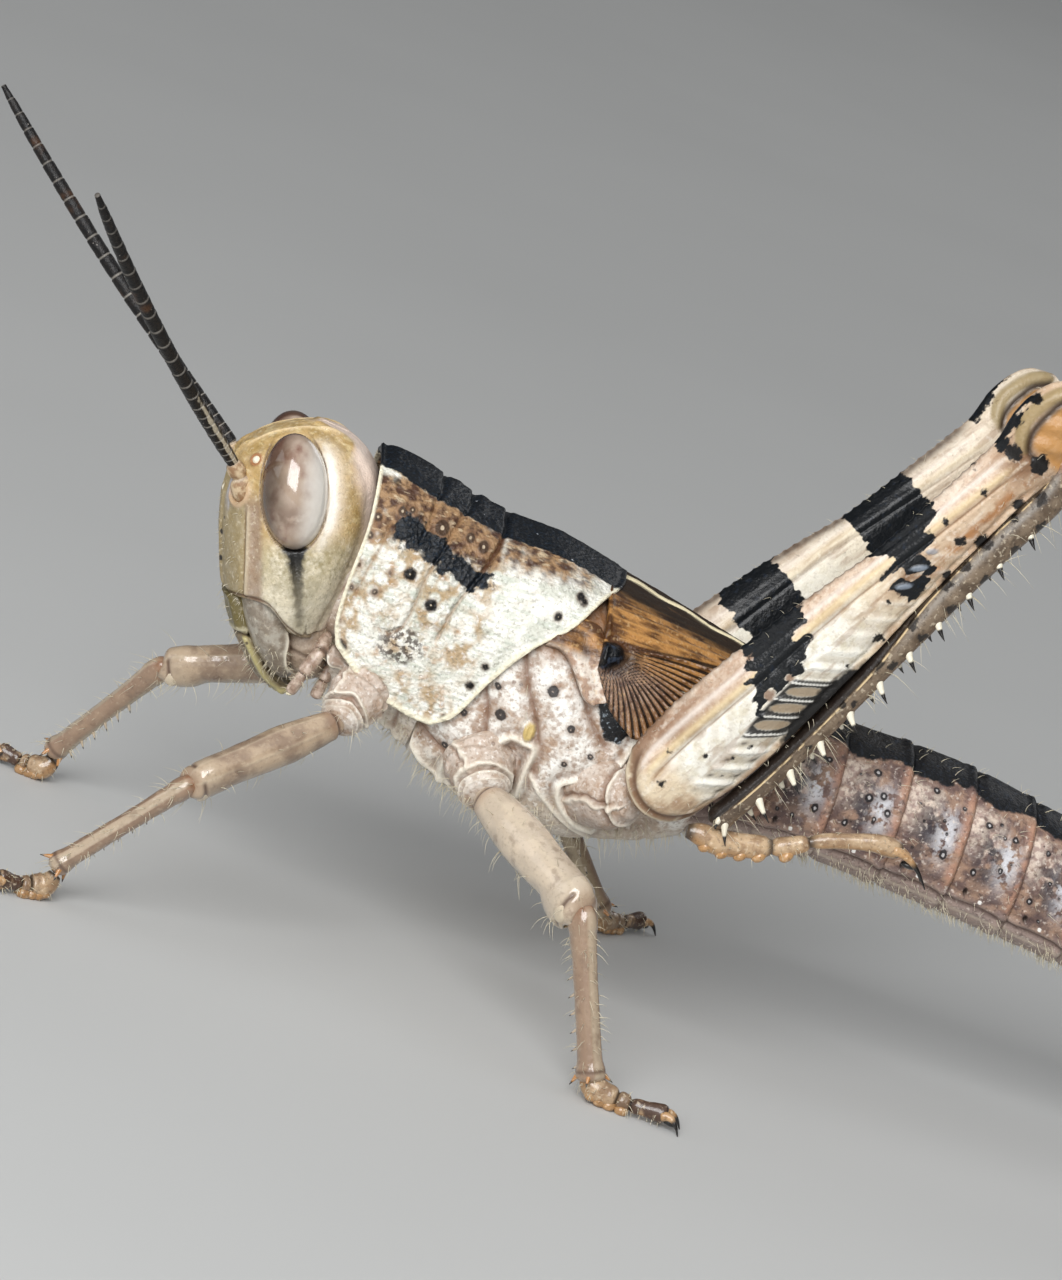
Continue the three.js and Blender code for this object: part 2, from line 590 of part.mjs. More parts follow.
/** Solid as a mesh geometry; only its largest piece is kept. */
function toGeometry(body) {
  const largest = body.decompose().reduce((a, b) => (a.volume() > b.volume() ? a : b));
  const mesh = largest.getMesh();
  const geometry = new THREE.BufferGeometry();
  geometry.setAttribute('position', new THREE.Float32BufferAttribute(mesh.vertProperties, 3));
  geometry.setIndex(Array.from(mesh.triVerts));
  geometry.computeVertexNormals();
  return geometry;
}

const boxOf = (body) => {
  const { min, max } = body.boundingBox();
  return new THREE.Box3(vector(...min), vector(...max));
};

/** Adds a piece, cut back by a thin gap from every piece that was added before it. */
function add(name, colour, shape) {
  let body = shape(0);
  const box = boxOf(body);
  placed.forEach((other) => {
    if (box.intersectsBox(other.box)) body = body.subtract(other.grown);
  });
  const grown = shape(GAP);
  placed.push({ grown, box: boxOf(grown) });
  const [tint, roughness] = COLOURS[colour];
  const material = new THREE.MeshStandardMaterial({ color: tint, roughness, metalness: 0 });
  const mesh = new THREE.Mesh(toGeometry(body), material);
  mesh.name = name;
  group.add(mesh);
}

const bothSides = (make) => Object.entries(SIDES).forEach(([name, side]) => make(name, side));

bothSides((name, side) => add(`eye_${name}`, 'eye', (grow) => eye(side, grow)));
bothSides((name) => add(`antenna_${name}`, 'feeler', (grow) => antenna(name, grow)));
add('head', 'horn', headCapsule);
add('labrum', 'horn', labrum);
bothSides((name, side) => add(`mandible_${name}`, 'horn', (grow) => mandible(side, grow)));
bothSides((name, side) => add(`maxilla_${name}`, 'horn', (grow) => maxilla(side, grow)));
add('labium', 'horn', labium);

add('pronotum', 'saddle', pronotum);
bothSides((name, side) => add(`forewing_pad_${name}`, 'pad', (grow) => wingPad(FORE_PAD, side, grow)));
bothSides((name, side) => add(`hindwing_pad_${name}`, 'pad', (grow) => wingPad(HIND_PAD, side, grow)));

Object.keys(LEGS).forEach((name) => {
  const side = SIDES[name.split('_')[1]];
  add(`${name}_femur`, 'leg', (grow) => walkingFemur(name, side, grow));
  add(`${name}_tibia`, 'leg', (grow) => walkingTibia(name, side, grow));
  add(`${name}_foot`, 'foot', (grow) => walkingFoot(name, side, grow));
  add(`${name}_coxa`, 'leg', (grow) => coxa(name, side, grow));
});
bothSides((name, side) => {
  add(`hind_${name}_tibia`, 'tibia', (grow) => hindTibia(name, grow));
  add(`hind_${name}_femur`, 'femur', (grow) => hindFemur(name, grow));
  add(`hind_${name}_foot`, 'foot', (grow) => hindFoot(name, grow));
  add(`hind_${name}_coxa`, 'pleura', (grow) => hindCoxa(side, grow));
});

add('prothorax', 'pleura', (grow) => joined(prothorax(grow), prosternalPeg(grow)));
add('neck', 'membrane', neck);
add('pterothorax', 'pleura', pterothorax);
RING_ENDS.slice(0, -1).forEach((_, i) => add(`abdomen_${i + 1}`, 'belly', (grow) => abdomenRing(i, grow)));
bothSides((name, side) => add(`cercus_${name}`, 'belly', (grow) => cercus(side, grow)));
add('valves', 'belly', valves);
add('abdomen_tip', 'belly', tailPlates);

const footprint = new THREE.Box3().setFromObject(group);
group.position.set(-(footprint.min.x + footprint.max.x) / 2, -(footprint.min.y + footprint.max.y) / 2, 0);
group.updateMatrixWorld(true);

export default group;
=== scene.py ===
"""Looks of a life-size locust nymph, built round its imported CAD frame.

Shapes are drawn in the body frame of the CAD model, in millimetres: X runs from the head
to the tail, the left side of the body is -Y and the floor is Z = 0. Each piece is a grid
of points with relief, and carries named marks (how deep a place lies inside a black band,
how near to a groove it is) that its paint turns into colour.
"""

import json
import math
from functools import cache
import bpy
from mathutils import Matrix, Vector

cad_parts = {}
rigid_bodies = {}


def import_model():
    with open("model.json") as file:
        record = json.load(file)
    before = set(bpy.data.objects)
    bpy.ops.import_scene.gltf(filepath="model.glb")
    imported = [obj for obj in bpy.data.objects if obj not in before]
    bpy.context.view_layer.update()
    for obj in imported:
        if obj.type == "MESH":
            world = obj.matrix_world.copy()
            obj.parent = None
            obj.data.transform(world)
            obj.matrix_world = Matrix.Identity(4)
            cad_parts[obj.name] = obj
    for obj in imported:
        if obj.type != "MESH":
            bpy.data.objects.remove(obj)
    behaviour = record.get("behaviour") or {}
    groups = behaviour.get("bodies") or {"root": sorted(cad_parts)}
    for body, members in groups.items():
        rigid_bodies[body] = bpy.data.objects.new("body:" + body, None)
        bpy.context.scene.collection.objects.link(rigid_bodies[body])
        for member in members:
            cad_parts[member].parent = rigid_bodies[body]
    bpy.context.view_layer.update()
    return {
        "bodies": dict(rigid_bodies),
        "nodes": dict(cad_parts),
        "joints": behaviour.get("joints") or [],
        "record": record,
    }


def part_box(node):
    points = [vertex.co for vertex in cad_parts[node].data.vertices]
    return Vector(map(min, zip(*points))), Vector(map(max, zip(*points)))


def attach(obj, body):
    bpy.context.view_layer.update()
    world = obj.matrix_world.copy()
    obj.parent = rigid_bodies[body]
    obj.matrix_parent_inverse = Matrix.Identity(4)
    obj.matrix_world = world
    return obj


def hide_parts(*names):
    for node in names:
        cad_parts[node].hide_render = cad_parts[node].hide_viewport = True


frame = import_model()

from types import SimpleNamespace

import bpy
import numpy as np
from mathutils import Matrix, Vector

MM = 0.001
SIDES = {"left": -1, "right": 1}
X_AXIS, Y_AXIS, Z_AXIS = np.eye(3)
OUTSIDE = -9.0  # depth of a place that lies in no mark
DEPTHS = ("ink", "spot", "pip", "drop")  # marks that hold a depth, where others hold a strength
coat = []  # the places where hairs are asked for

# Driving dimensions, as in the CAD model.
HEAD_X, HEAD_Z, HEAD_LEAN = -8.2, 12.6, math.radians(17.5)
EYE_HIGH, EYE_LONG, EYE_DEEP = 1.94, 1.14, 1.2
RING_ENDS = (7.5, 9.8, 12.1, 14.5, 16.9, 19.2, 21.5, 23.8, 26.0, 28.1, 30.0)
FEMUR_LENGTH = 20.4

# Rows and columns of points in each kind of surface.
GRIDS = {
    "pronotum": (164, 142), "skull": (200, 330), "ocellus": (12, 16), "eye": (90, 120),
    "feeler ring": (15, 30), "feeler root": (26, 30), "wall": (175, 330), "breast": (60, 200),
    "peg": (24, 28), "lappet": (16, 60), "nape": (48, 120), "hind pad": (150, 120),
    "fore pad": (60, 40), "ring": (42, 190), "tail": (44, 110), "cercus": (26, 30),
    "valve": (30, 30), "coxa": (100, 124), "thigh": (150, 90), "knob": (14, 20),
    "shin": (130, 70), "thorn": (9, 8), "foot joint": (44, 46), "foot pad": (18, 24),
    "claw": (16, 16), "claw disc": (18, 26), "hind thigh": (300, 180), "hind shin": (260, 80),
    "spine": (16, 14), "spur": (14, 14), "hind coxa": (80, 130), "lip": (110, 130),
    "jaw": (90, 100), "outer jaw": (60, 70), "jaw fold": (26, 40), "palp": (34, 30),
    "palp tip": (14, 20), "lower lip": (60, 80),
}

# The body frame's place in the row frame comes from the first abdominal ring.
ring_low, ring_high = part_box("abdomen_1")
SHIFT = np.array([ring_low.x / MM - RING_ENDS[0], (ring_low.y + ring_high.y) / 2 / MM, 0.0])


def show(name, data):
    """A new object of the scene."""
    thing = bpy.data.objects.new(name, data)
    bpy.context.scene.collection.objects.link(thing)
    return thing


# ---------------------------------------------------------------- numbers
# Large odd numbers that turn a place and a seed into a random number.
SCRAMBLE_PLACE, SCRAMBLE_SEED, SCRAMBLE_AGAIN = (374761393, 668265263, 1440662683), 974634777, 1274126177
LOW_BITS = 0xFFFFFF


def vec(x, y, z):
    """Points or directions from their three parts."""
    return np.stack(np.broadcast_arrays(x, y, z), -1).astype(float)


def unit(v):
    """Directions of length 1."""
    return v / np.maximum(np.linalg.norm(v, axis=-1, keepdims=True), 1e-12)


def ease(x, low, high):
    """Smooth step from 0 at low to 1 at high; high may be the smaller."""
    t = np.clip((x - low) / (high - low), 0, 1)
    return t * t * (3 - 2 * t)


def hump(x, middle, width):
    """A bell, 1 at the middle."""
    return np.exp(-(((x - middle) / width) ** 2))


def curve(*pairs):
    """Smooth function through (position, value) pairs, flat beyond its ends."""
    xs, ys = np.array(pairs, float).T
    before = np.maximum(np.arange(len(xs)) - 1, 0)
    after = np.minimum(np.arange(len(xs)) + 1, len(xs) - 1)
    slope = (ys[after] - ys[before]) / (xs[after] - xs[before])

    def at(x):
        x = np.clip(x, xs[0], xs[-1])
        i = np.clip(np.searchsorted(xs, x, side="right") - 1, 0, len(xs) - 2)
        span = xs[i + 1] - xs[i]
        t = (x - xs[i]) / span
        s = 1 - t
        level = ys[i] * s * s * (1 + 2 * t) + ys[i + 1] * t * t * (3 - 2 * t)
        return level + span * (slope[i] * t * s * s - slope[i + 1] * t * t * s)

    return at


def total(steps):
    """Running total of the steps, from 0."""
    return np.concatenate([[0], np.cumsum(steps)])


def lengths(points):
    """Distance along a line at each of its points."""
    return total(np.linalg.norm(np.diff(points, axis=0), axis=1))


def smooth(corners, count):
    """Evenly spaced points of a smooth line through the given corners."""
    corners = np.array(corners, float)
    at = lengths(corners)
    lines = [curve(*zip(at, corners[:, k])) for k in range(corners.shape[1])]
    return spaced(np.stack([line(np.linspace(0, at[-1], 400)) for line in lines], -1), count)


def spaced(points, count):
    """The same line with points at even distances."""
    at = lengths(points)
    wanted = np.linspace(0, at[-1], count)
    return np.stack([np.interp(wanted, at, points[:, k]) for k in range(points.shape[1])], -1)


def even(start, end, count, *profiles):
    """Places from start to end, closer together where a profile is steep."""
    fine = np.linspace(start, end, 600)
    climb = sum(np.abs(np.diff(profile(fine))) for profile in profiles)
    at = total(np.hypot(np.diff(fine), climb))
    return np.interp(np.linspace(0, at[-1], count), at, fine)


def from_line(x, z, corners):
    """Distance of the places (x, z) from a line through the given corners."""
    best = np.full(np.broadcast(x, z).shape, 99.0)
    for (ax, az), (bx, bz) in zip(corners[:-1], corners[1:]):
        dx, dz = bx - ax, bz - az
        t = np.clip(((x - ax) * dx + (z - az) * dz) / (dx * dx + dz * dz + 1e-12), 0, 1)
        best = np.minimum(best, np.hypot(x - ax - t * dx, z - az - t * dz))
    return best


def inside(x, z, corners):
    """How far inside a closed outline the places lie; negative outside it."""
    within = np.zeros(np.broadcast(x, z).shape, bool)
    loop = list(corners) + [corners[0]]
    for (ax, az), (bx, bz) in zip(loop[:-1], loop[1:]):
        if az != bz:
            within ^= ((az > z) != (bz > z)) & (x < (bx - ax) * (z - az) / (bz - az) + ax)
    distance = from_line(x, z, loop)
    return np.where(within, distance, -distance)


def dots(x, z, places):
    """How far inside the nearest of the round (x, z, radius) dots the places lie."""
    best = np.full(np.broadcast(x, z).shape, -99.0)
    for px, pz, radius in places:
        best = np.maximum(best, radius - np.hypot(x - px, z - pz))
    return best


def lattice(cell, seed):
    """Repeatable random numbers from 0 to 1 at whole-number places."""
    n = cell @ np.array(SCRAMBLE_PLACE) + seed * SCRAMBLE_SEED
    n = (n ^ (n >> 13)) * SCRAMBLE_AGAIN
    return ((n ^ (n >> 16)) & LOW_BITS) / LOW_BITS


def noise(points, size, seed=0):
    """Smooth noise from -1 to 1."""
    p = points / size
    cell = np.floor(p).astype(np.int64)
    f = p - cell
    f = f * f * (3 - 2 * f)
    level = 0
    for corner in np.ndindex(2, 2, 2):
        weight = np.prod(np.where(corner, f, 1 - f), axis=-1)
        level = level + weight * lattice(cell + np.array(corner), seed)
    return 2 * level - 1


def rough(points, size, octaves, seed):
    """Noise with finer noise on it, for relief."""
    return sum(noise(points, size / 2**k, seed + k) / 2**k for k in range(octaves)) / 1.6


def cells(points, size, seed=0):
    """Distance to the nearest of many scattered places, and that place's own number."""
    p = points / size
    cell = np.floor(p).astype(np.int64)
    best = np.full(p.shape[:-1], 9.0)
    own = np.zeros(p.shape[:-1])
    for step in np.ndindex(3, 3, 3):
        c = cell + np.array(step) - 1
        place = c + np.stack([lattice(c, seed + k) for k in (1, 2, 3)], -1)
        d = np.linalg.norm(place - p, axis=-1)
        own = np.where(d < best, lattice(c, seed + 4), own)
        best = np.minimum(best, d)
    return best * size, own


# ---------------------------------------------------------------- grids and meshes
PINHOLE = 0.02  # radians from a ball's pole to its first ring


def turns(count):
    """Even turns round a ring, in radians."""
    return np.linspace(0, 2 * np.pi, count, endpoint=False)


def from_top(angle):
    """Degrees from the top of a ring, alike on both sides."""
    return np.degrees(np.abs(np.where(angle > np.pi, angle - 2 * np.pi, angle)))


def bent(v, power):
    """Sines or cosines of a circle, bent to those of a superellipse."""
    return np.sign(v) * np.abs(v) ** (2 / power)


def rings(centre, upward, sideward, up, down, half, angle, power=2.0):
    """Rings of points; each row has a centre, two directions and its reach along them."""
    column = lambda v: np.broadcast_to(np.asarray(v, float), len(centre))[:, None]
    u, v = (bent(way(angle)[None], column(power)) for way in (np.cos, np.sin))
    reach = np.where(u > 0, column(up), column(down))
    whole = lambda d: np.broadcast_to(d, centre.shape)[:, None]
    return (centre[:, None] + whole(upward) * (u * reach)[..., None]
            + whole(sideward) * (v * column(half))[..., None])


def limb(stations, kind, lift=(0, 0, 1)):
    """Rings along a smooth path through (point, half height, half width) stations."""
    rows, columns = GRIDS[kind]
    points = np.array([s[0] for s in stations], float)
    at = lengths(points)
    high = curve(*zip(at, [s[1] for s in stations]))
    wide = curve(*zip(at, [s[2] for s in stations]))
    t = even(0, at[-1], rows, high, wide)
    path = np.stack([curve(*zip(at, points[:, k]))(t) for k in range(3)], -1)
    along = unit(np.gradient(path, t, axis=0))
    sideward = unit(np.cross(along, lift))
    upward = np.cross(sideward, along)
    grid = rings(path, upward, sideward, high(t), high(t), wide(t), turns(columns))
    return grid, (t / at[-1])[:, None] + 0 * grid[..., 0], turns(columns)[None] + 0 * grid[..., 0]


def mirrored(stations, side):
    """A limb's stations from (x, distance from the middle plane, z, half height, half width)."""
    return [((x, side * across, z), high, wide) for x, across, z, high, wide in stations]


def horn(root, tip, radius, bow=(0, 0, 0), kind="thorn", blunt=0.1):
    """A pointed horn from a buried root to its tip, bowed to one side."""
    rows, columns = GRIDS[kind]
    root, tip = np.array(root, float), np.array(tip, float)
    t = np.linspace(0, 1, rows)[:, None]
    path = root + (tip - root) * t + 4 * t * (1 - t) * np.array(bow, float)
    reach = radius * (1 - (1 - blunt) * t[:, 0])
    along = unit(np.gradient(path, axis=0))
    lift = np.where(np.abs(along[:1, 2:]) > 0.8, [[1.0, 0, 0]], [[0, 0, 1.0]])
    sideward = unit(np.cross(along, lift))
    grid = rings(path, np.cross(sideward, along), sideward, reach, reach, reach, turns(columns))
    return grid, t + 0 * grid[..., 0]


def globe(kind):
    """Points of a ball of radius 1, open by a pinhole at either pole."""
    rows, columns = GRIDS[kind]
    tilt = np.linspace(PINHOLE, np.pi - PINHOLE, rows)[:, None]
    turn = turns(columns)[None]
    return vec(np.sin(tilt) * np.cos(turn), np.sin(tilt) * np.sin(turn), np.cos(tilt) + 0 * turn)


def ball(centre, reach, axes, kind):
    """A stretched ball; axes holds its three directions and reach its size along them."""
    return np.array(centre, float) + (globe(kind) * reach) @ np.array(axes, float)


def facing(grid, ring=True):
    """Directions straight out of a grid of points."""
    across = np.roll(grid, -1, 1) - np.roll(grid, 1, 1) if ring else np.gradient(grid, axis=1)
    way = unit(np.cross(across, np.gradient(grid, axis=0)))
    middle = grid.mean(1, keepdims=True) if ring else grid.mean((0, 1))
    return way * np.sign(((grid - middle) * way).sum())


def raised(grid, height, ring=True):
    """The grid with relief, in millimetres."""
    return grid + facing(grid, ring) * height[..., None]


def squares(at):
    """Faces between the neighbours in a grid of point numbers."""
    return np.stack([at[:-1, :-1], at[:-1, 1:], at[1:, 1:], at[1:, :-1]], -1).reshape(-1, 4)


class Shell:
    """One piece in the making: its points, faces and the marks that its paint reads."""

    def __init__(self):
        self.points, self.quads, self.triangles, self.marks = [], [], [], []
        self.count = 0

    def place(self, grid, marks):
        grid = np.asarray(grid, float)
        self.points.append(grid.reshape(-1, 3))
        size = grid.reshape(-1, 3).shape[0]
        self.marks.append((size, {key: np.broadcast_to(value, grid.shape[:-1]).reshape(-1)
                                  for key, value in marks.items()}))
        start = self.count
        self.count += size
        return start

    def add(self, quads, outward):
        self.quads.append(quads if outward else quads[:, ::-1])

    def sheet(self, grid, **marks):
        """Adds closed rings of points, with a fan over each end."""
        rows, columns = grid.shape[:2]
        swept = np.cross(np.roll(grid, -1, 1)[:-1] - grid[:-1], grid[1:] - grid[:-1])
        outward = (swept * (grid[:-1] - grid.mean(1, keepdims=True)[:-1])).sum() > 0
        start = self.place(grid, marks)
        at = start + np.arange(rows * columns).reshape(rows, columns)
        at = np.concatenate([at, at[:, :1]], 1)
        self.add(squares(at), outward)
        for row, flip in ((0, outward), (rows - 1, not outward)):
            own = {key: np.mean(np.broadcast_to(value, grid.shape[:-1])[row])
                   for key, value in marks.items()}
            middle = self.place(grid[row].mean(0)[None], own)
            fan = np.stack([np.full(columns, middle), at[row, :-1], at[row, 1:]], -1)
            self.triangles.append(fan[:, ::-1] if flip else fan)

    def plate(self, outer, inner, **marks):
        """Adds a thin closed plate between two grids of the same size."""
        rows, columns = outer.shape[:2]
        top = self.place(outer, marks) + np.arange(rows * columns).reshape(rows, columns)
        low = self.place(inner, marks) + np.arange(rows * columns).reshape(rows, columns)
        way = np.cross(outer[:-1, 1:] - outer[:-1, :-1], outer[1:, :-1] - outer[:-1, :-1])
        outward = (way * (outer - inner)[:-1, :-1]).sum() > 0
        faces = [squares(top), squares(low)[:, ::-1]]
        border = [(top[0], low[0], 1), (top[-1], low[-1], -1), (top[:, 0], low[:, 0], -1),
                  (top[:, -1], low[:, -1], 1)]
        for a, b, turn in border:
            strip = np.stack([a[:-1], b[:-1], b[1:], a[1:]], -1)
            faces.append(strip if turn > 0 else strip[:, ::-1])
        self.add(np.concatenate(faces), outward)

    def make(self, name, paint, slot, *nodes):
        """The finished piece, in metres, standing for the given CAD nodes."""
        mesh = bpy.data.meshes.new(name)
        points = (np.concatenate(self.points) + SHIFT) * MM
        points[:, 2] = np.maximum(points[:, 2], 0.0)
        quads = np.concatenate(self.quads) if self.quads else np.zeros((0, 4), int)
        triangles = np.concatenate(self.triangles) if self.triangles else np.zeros((0, 3), int)
        mesh.vertices.add(len(points))
        mesh.vertices.foreach_set("co", points.astype(np.float32).ravel())
        corners = np.concatenate([quads.ravel(), triangles.ravel()]).astype(np.int32)
        mesh.loops.add(len(corners))
        mesh.loops.foreach_set("vertex_index", corners)
        starts = np.concatenate([np.arange(len(quads)) * 4,
                                 len(quads) * 4 + np.arange(len(triangles)) * 3])
        mesh.polygons.add(len(starts))
        mesh.polygons.foreach_set("loop_start", starts.astype(np.int32))
        mesh.update(calc_edges=True)
        mesh.shade_smooth()
        for key in sorted({key for _, marks in self.marks for key in marks}.union(DEPTHS)):
            unmarked = OUTSIDE if key in DEPTHS else 0.0
            values = [marks.get(key, np.full(size, unmarked)) for size, marks in self.marks]
            layer = mesh.attributes.new(key, "FLOAT", "POINT")
            layer.data.foreach_set("value", np.concatenate(values).astype(np.float32))
        mesh.materials.append(paint)
        piece = show(name, mesh)
        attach(piece, "root")
        if nodes:
            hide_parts(*nodes)
        return piece


# ---------------------------------------------------------------- paint
def rgb(code):
    """A colour from its six-figure sRGB code, as the shader wants it."""
    parts = [int(code[i:i + 2], 16) / 255 for i in (0, 2, 4)]
    return (*[c / 12.92 if c < 0.04045 else ((c + 0.055) / 1.055) ** 2.4 for c in parts], 1.0)


class Paint:
    """The node tree of one material, written as short steps. Sizes are in millimetres.

    Where a step takes a value, that is a number, the result of another step or a mark's name.
    A colour is a six-figure code or the result of another step.
    """

    def __init__(self, name, **sockets):
        self.material = bpy.data.materials.new(name)
        self.material.use_nodes = True
        self.tree = self.material.node_tree
        self.shader = self.tree.nodes["Principled BSDF"]
        for socket, value in sockets.items():
            self.shader.inputs[socket.replace("_", " ")].default_value = value
        self.place = self.node("ShaderNodeVectorMath", {0: self.node(
            "ShaderNodeTexCoord").outputs["Object"], 3: 1 / MM}, operation="SCALE").outputs[0]

    def node(self, kind, inputs=(), **settings):
        node = self.tree.nodes.new(kind)
        for key, value in settings.items():
            setattr(node, key, value)
        for key, value in dict(inputs).items():
            if isinstance(value, str):
                value = self.node("ShaderNodeAttribute", attribute_name=value).outputs["Fac"]
            if isinstance(value, bpy.types.NodeSocket):
                self.tree.links.new(value, node.inputs[key])
            else:
                node.inputs[key].default_value = value
        return node

    def noise(self, size, detail, seed=0.0, stretch=None):
        place = self.place
        if stretch:
            place = self.node("ShaderNodeVectorMath", {0: place, 1: stretch},
                              operation="MULTIPLY").outputs[0]
        inputs = {"Vector": place, "W": seed, "Scale": 1 / size, "Detail": detail}
        return self.node("ShaderNodeTexNoise", inputs, noise_dimensions="4D").outputs[0]

    def cells(self, size, feature="F1", warp=0.0):
        """Scattered cells, whose borders are bent by some millimetres of warp."""
        place = self.place
        if warp:
            inputs = {"Vector": place, "Scale": 0.7 / size, "Detail": 2.0}
            drift = self.node("ShaderNodeTexNoise", inputs).outputs["Color"]
            place = self.node("ShaderNodeVectorMath", {0: drift, 1: (warp, warp, warp), 2: place},
                              operation="MULTIPLY_ADD").outputs[0]
        inputs = {"Vector": place, "Scale": 1 / size}
        return self.node("ShaderNodeTexVoronoi", inputs, feature=feature)

    def math(self, operation, a, b=0.0, c=0.0):
        return self.node("ShaderNodeMath", {0: a, 1: b, 2: c}, operation=operation).outputs[0]

    def plus(self, a, b):
        return self.math("ADD", a, b)

    def times(self, first, *others):
        for other in others:
            first = self.math("MULTIPLY", first, other)
        return first

    def scaled(self, value, factor, offset):
        return self.math("MULTIPLY_ADD", value, factor, offset)

    def step(self, value, low, high):
        inputs = {"Value": value, "From Min": low, "From Max": high}
        return self.node("ShaderNodeMapRange", inputs, interpolation_type="SMOOTHSTEP").outputs[0]

    def clouds(self, size, low, high, seed, detail=3.0, stretch=None):
        """0 where a noise is below low, 1 where it is above high."""
        return self.step(self.noise(size, detail, seed, stretch), low, high)

    def freckles(self, size, share, radius):
        """1 inside small round freckles at a share of the places scattered at that size."""
        spots = self.cells(size)
        chosen = self.node("ShaderNodeSeparateColor", {0: spots.outputs["Color"]}).outputs[0]
        reach = self.times(self.step(chosen, 1 - share, 1.0), radius / size)
        gap = self.math("SUBTRACT", reach, spots.outputs["Distance"])
        return self.step(gap, 0.0, 0.35 * radius / size)

    def edge(self, mark, wander, size, soft, seed):
        """1 inside a mark's border, which wanders by some millimetres."""
        shaken = self.scaled(self.noise(size, 4.0, seed), 2 * wander,
                             self.math("SUBTRACT", mark, wander))
        return self.step(shaken, -soft, soft)

    def dot(self, mark, soft):
        """1 in the ragged middle of a dot."""
        return self.step(self.plus(mark, self.scaled(self.noise(0.15, 3.0, 1.0), 0.12, -0.09)), 0.0, soft)

    def mix(self, a, b, factor):
        a, b = (rgb(colour) if isinstance(colour, str) else colour for colour in (a, b))
        return self.node("ShaderNodeMix", {0: factor, 6: a, 7: b}, data_type="RGBA").outputs[2]

    def blend(self, first, second, size, low=0.42, high=0.6, seed=0.0, detail=4.0):
        """Two colours in clouds of a size."""
        return self.mix(first, second, self.clouds(size, low, high, seed, detail))

    def over(self, base, *layers):
        """The base under layers, each a colour, the factor by which it shows, and its strength."""
        for colour, factor, *strength in layers:
            base = self.mix(base, colour, self.times(factor, *strength))
        return base

    def grains(self, dark, light, size, strength):
        """Two layers: fine dark pits and pale grains."""
        return ((dark, self.clouds(size, 0.54, 0.68, 21.0), strength),
                (light, self.clouds(size * 1.3, 0.56, 0.7, 22.0), strength))

    def finish(self, colour, height=None, relief=0.02, shine=None):
        """The material, with its colour, its bumps in millimetres of relief and its roughness.

        Roughness is a step's result, or the size of its clouds, their spread and the least.
        """
        self.tree.links.new(colour, self.shader.inputs["Base Color"])
        if height is not None:
            bump = self.node("ShaderNodeBump", {"Height": height, "Distance": relief * MM})
            self.tree.links.new(bump.outputs[0], self.shader.inputs["Normal"])
        if isinstance(shine, tuple):
            size, spread, least = shine
            shine = self.scaled(self.noise(size, 2.0, 12.0), spread, least)
        if shine is not None:
            self.tree.links.new(shine, self.shader.inputs["Roughness"])
        return self.material


# ---------------------------------------------------------------- pronotum
crest = curve((-6.4, 16.6), (-5.4, 16.72), (-2.6, 16.02), (-1.2, 15.74), (0.5, 15.65),
              (2, 15.32), (3.2, 14.98))
saddle_half = curve((-6.4, 2.95), (-4.5, 3.25), (-2, 3.5), (0.5, 3.95), (3.2, 4.2))
SADDLE_MIDDLE, SADDLE_DEEP, SADDLE_POWER = 12.2, 7.2, 2.3
SADDLE_ARC = 3.6  # millimetres of surface to a radian of the saddle's arch

# Side view (x, z) of the pronotum's three free edges, from the crest downwards.
SADDLE_FRONT = [(-6.12, 16.6), (-6.0, 14.6), (-6.1, 12.6), (-6.05, 11.2), (-5.8, 10.45)]
SADDLE_LOWER = [(-5.8, 10.45), (-5.3, 10.05), (-4.1, 9.3), (-2.7, 8.87), (-1.95, 8.82)]
SADDLE_HIND = [(3.08, 15.0), (2.3, 14.6), (1.4, 13.5), (0.4, 12.5), (-0.6, 10.9),
               (-1.3, 9.4), (-1.95, 8.82)]

# Its grooves, each with its depth and its course in side view.
SULCI = {
    "first": (0.1, [(-3.7, 17), (-3.79, 16.25), (-3.95, 15.9), (-4.03, 15.21), (-4.2, 14.6)]),
    "second": (0.12, [(-2.42, 17), (-2.6, 16.1), (-2.96, 15.7), (-3.17, 15.25), (-3.31, 14.73),
                      (-3.54, 14.07), (-3.7, 13.27), (-3.75, 12.54), (-3.91, 11.73), (-4.31, 11.38),
                      (-4.75, 11.46)]),
    "third": (0.17, [(-1.36, 17), (-1.36, 15.9), (-1.44, 15.46), (-1.78, 14.71), (-1.95, 14.2),
                     (-2.37, 13.25), (-2.63, 12.1), (-2.7, 11.7)]),
    "front": (0.05, [(-5.31, 14.9), (-5.39, 14.1), (-5.57, 13.34), (-5.67, 12.58), (-5.71, 12.1)]),
    "fold": (0.05, [(-3.5, 12.0), (-3.0, 12.08), (-2.63, 12.0)]),
}

# Dark marks on its side: one long blotch, and dots (x, z, radius).
BLOTCH = [(-5.3, 14.95), (-4.97, 15.35), (-4.44, 15.42), (-4.06, 15.1), (-3.47, 15.0),
          (-3.11, 14.56), (-2.63, 14.45), (-1.92, 14.4), (-1.62, 14.35), (-1.55, 13.95),
          (-2.28, 13.7), (-2.81, 13.82), (-3.38, 14.02), (-3.75, 14.07), (-4.17, 14.3),
          (-4.77, 14.37), (-5.14, 14.5)]
BROWN_DOTS = [(-5.76, 14.95, 0.24), (-5.85, 14.33, 0.22), (-5.04, 15.33, 0.24),
              (-4.73, 15.45, 0.2), (-3.61, 15.2, 0.34), (-5.13, 12.63, 0.2),
              (-5.9, 13.3, 0.16), (-5.9, 12.5, 0.18), (-5.95, 11.31, 0.15),
              (-4.85, 13.38, 0.15), (-2.6, 15.15, 0.25), (-2.1, 15.0, 0.28)]
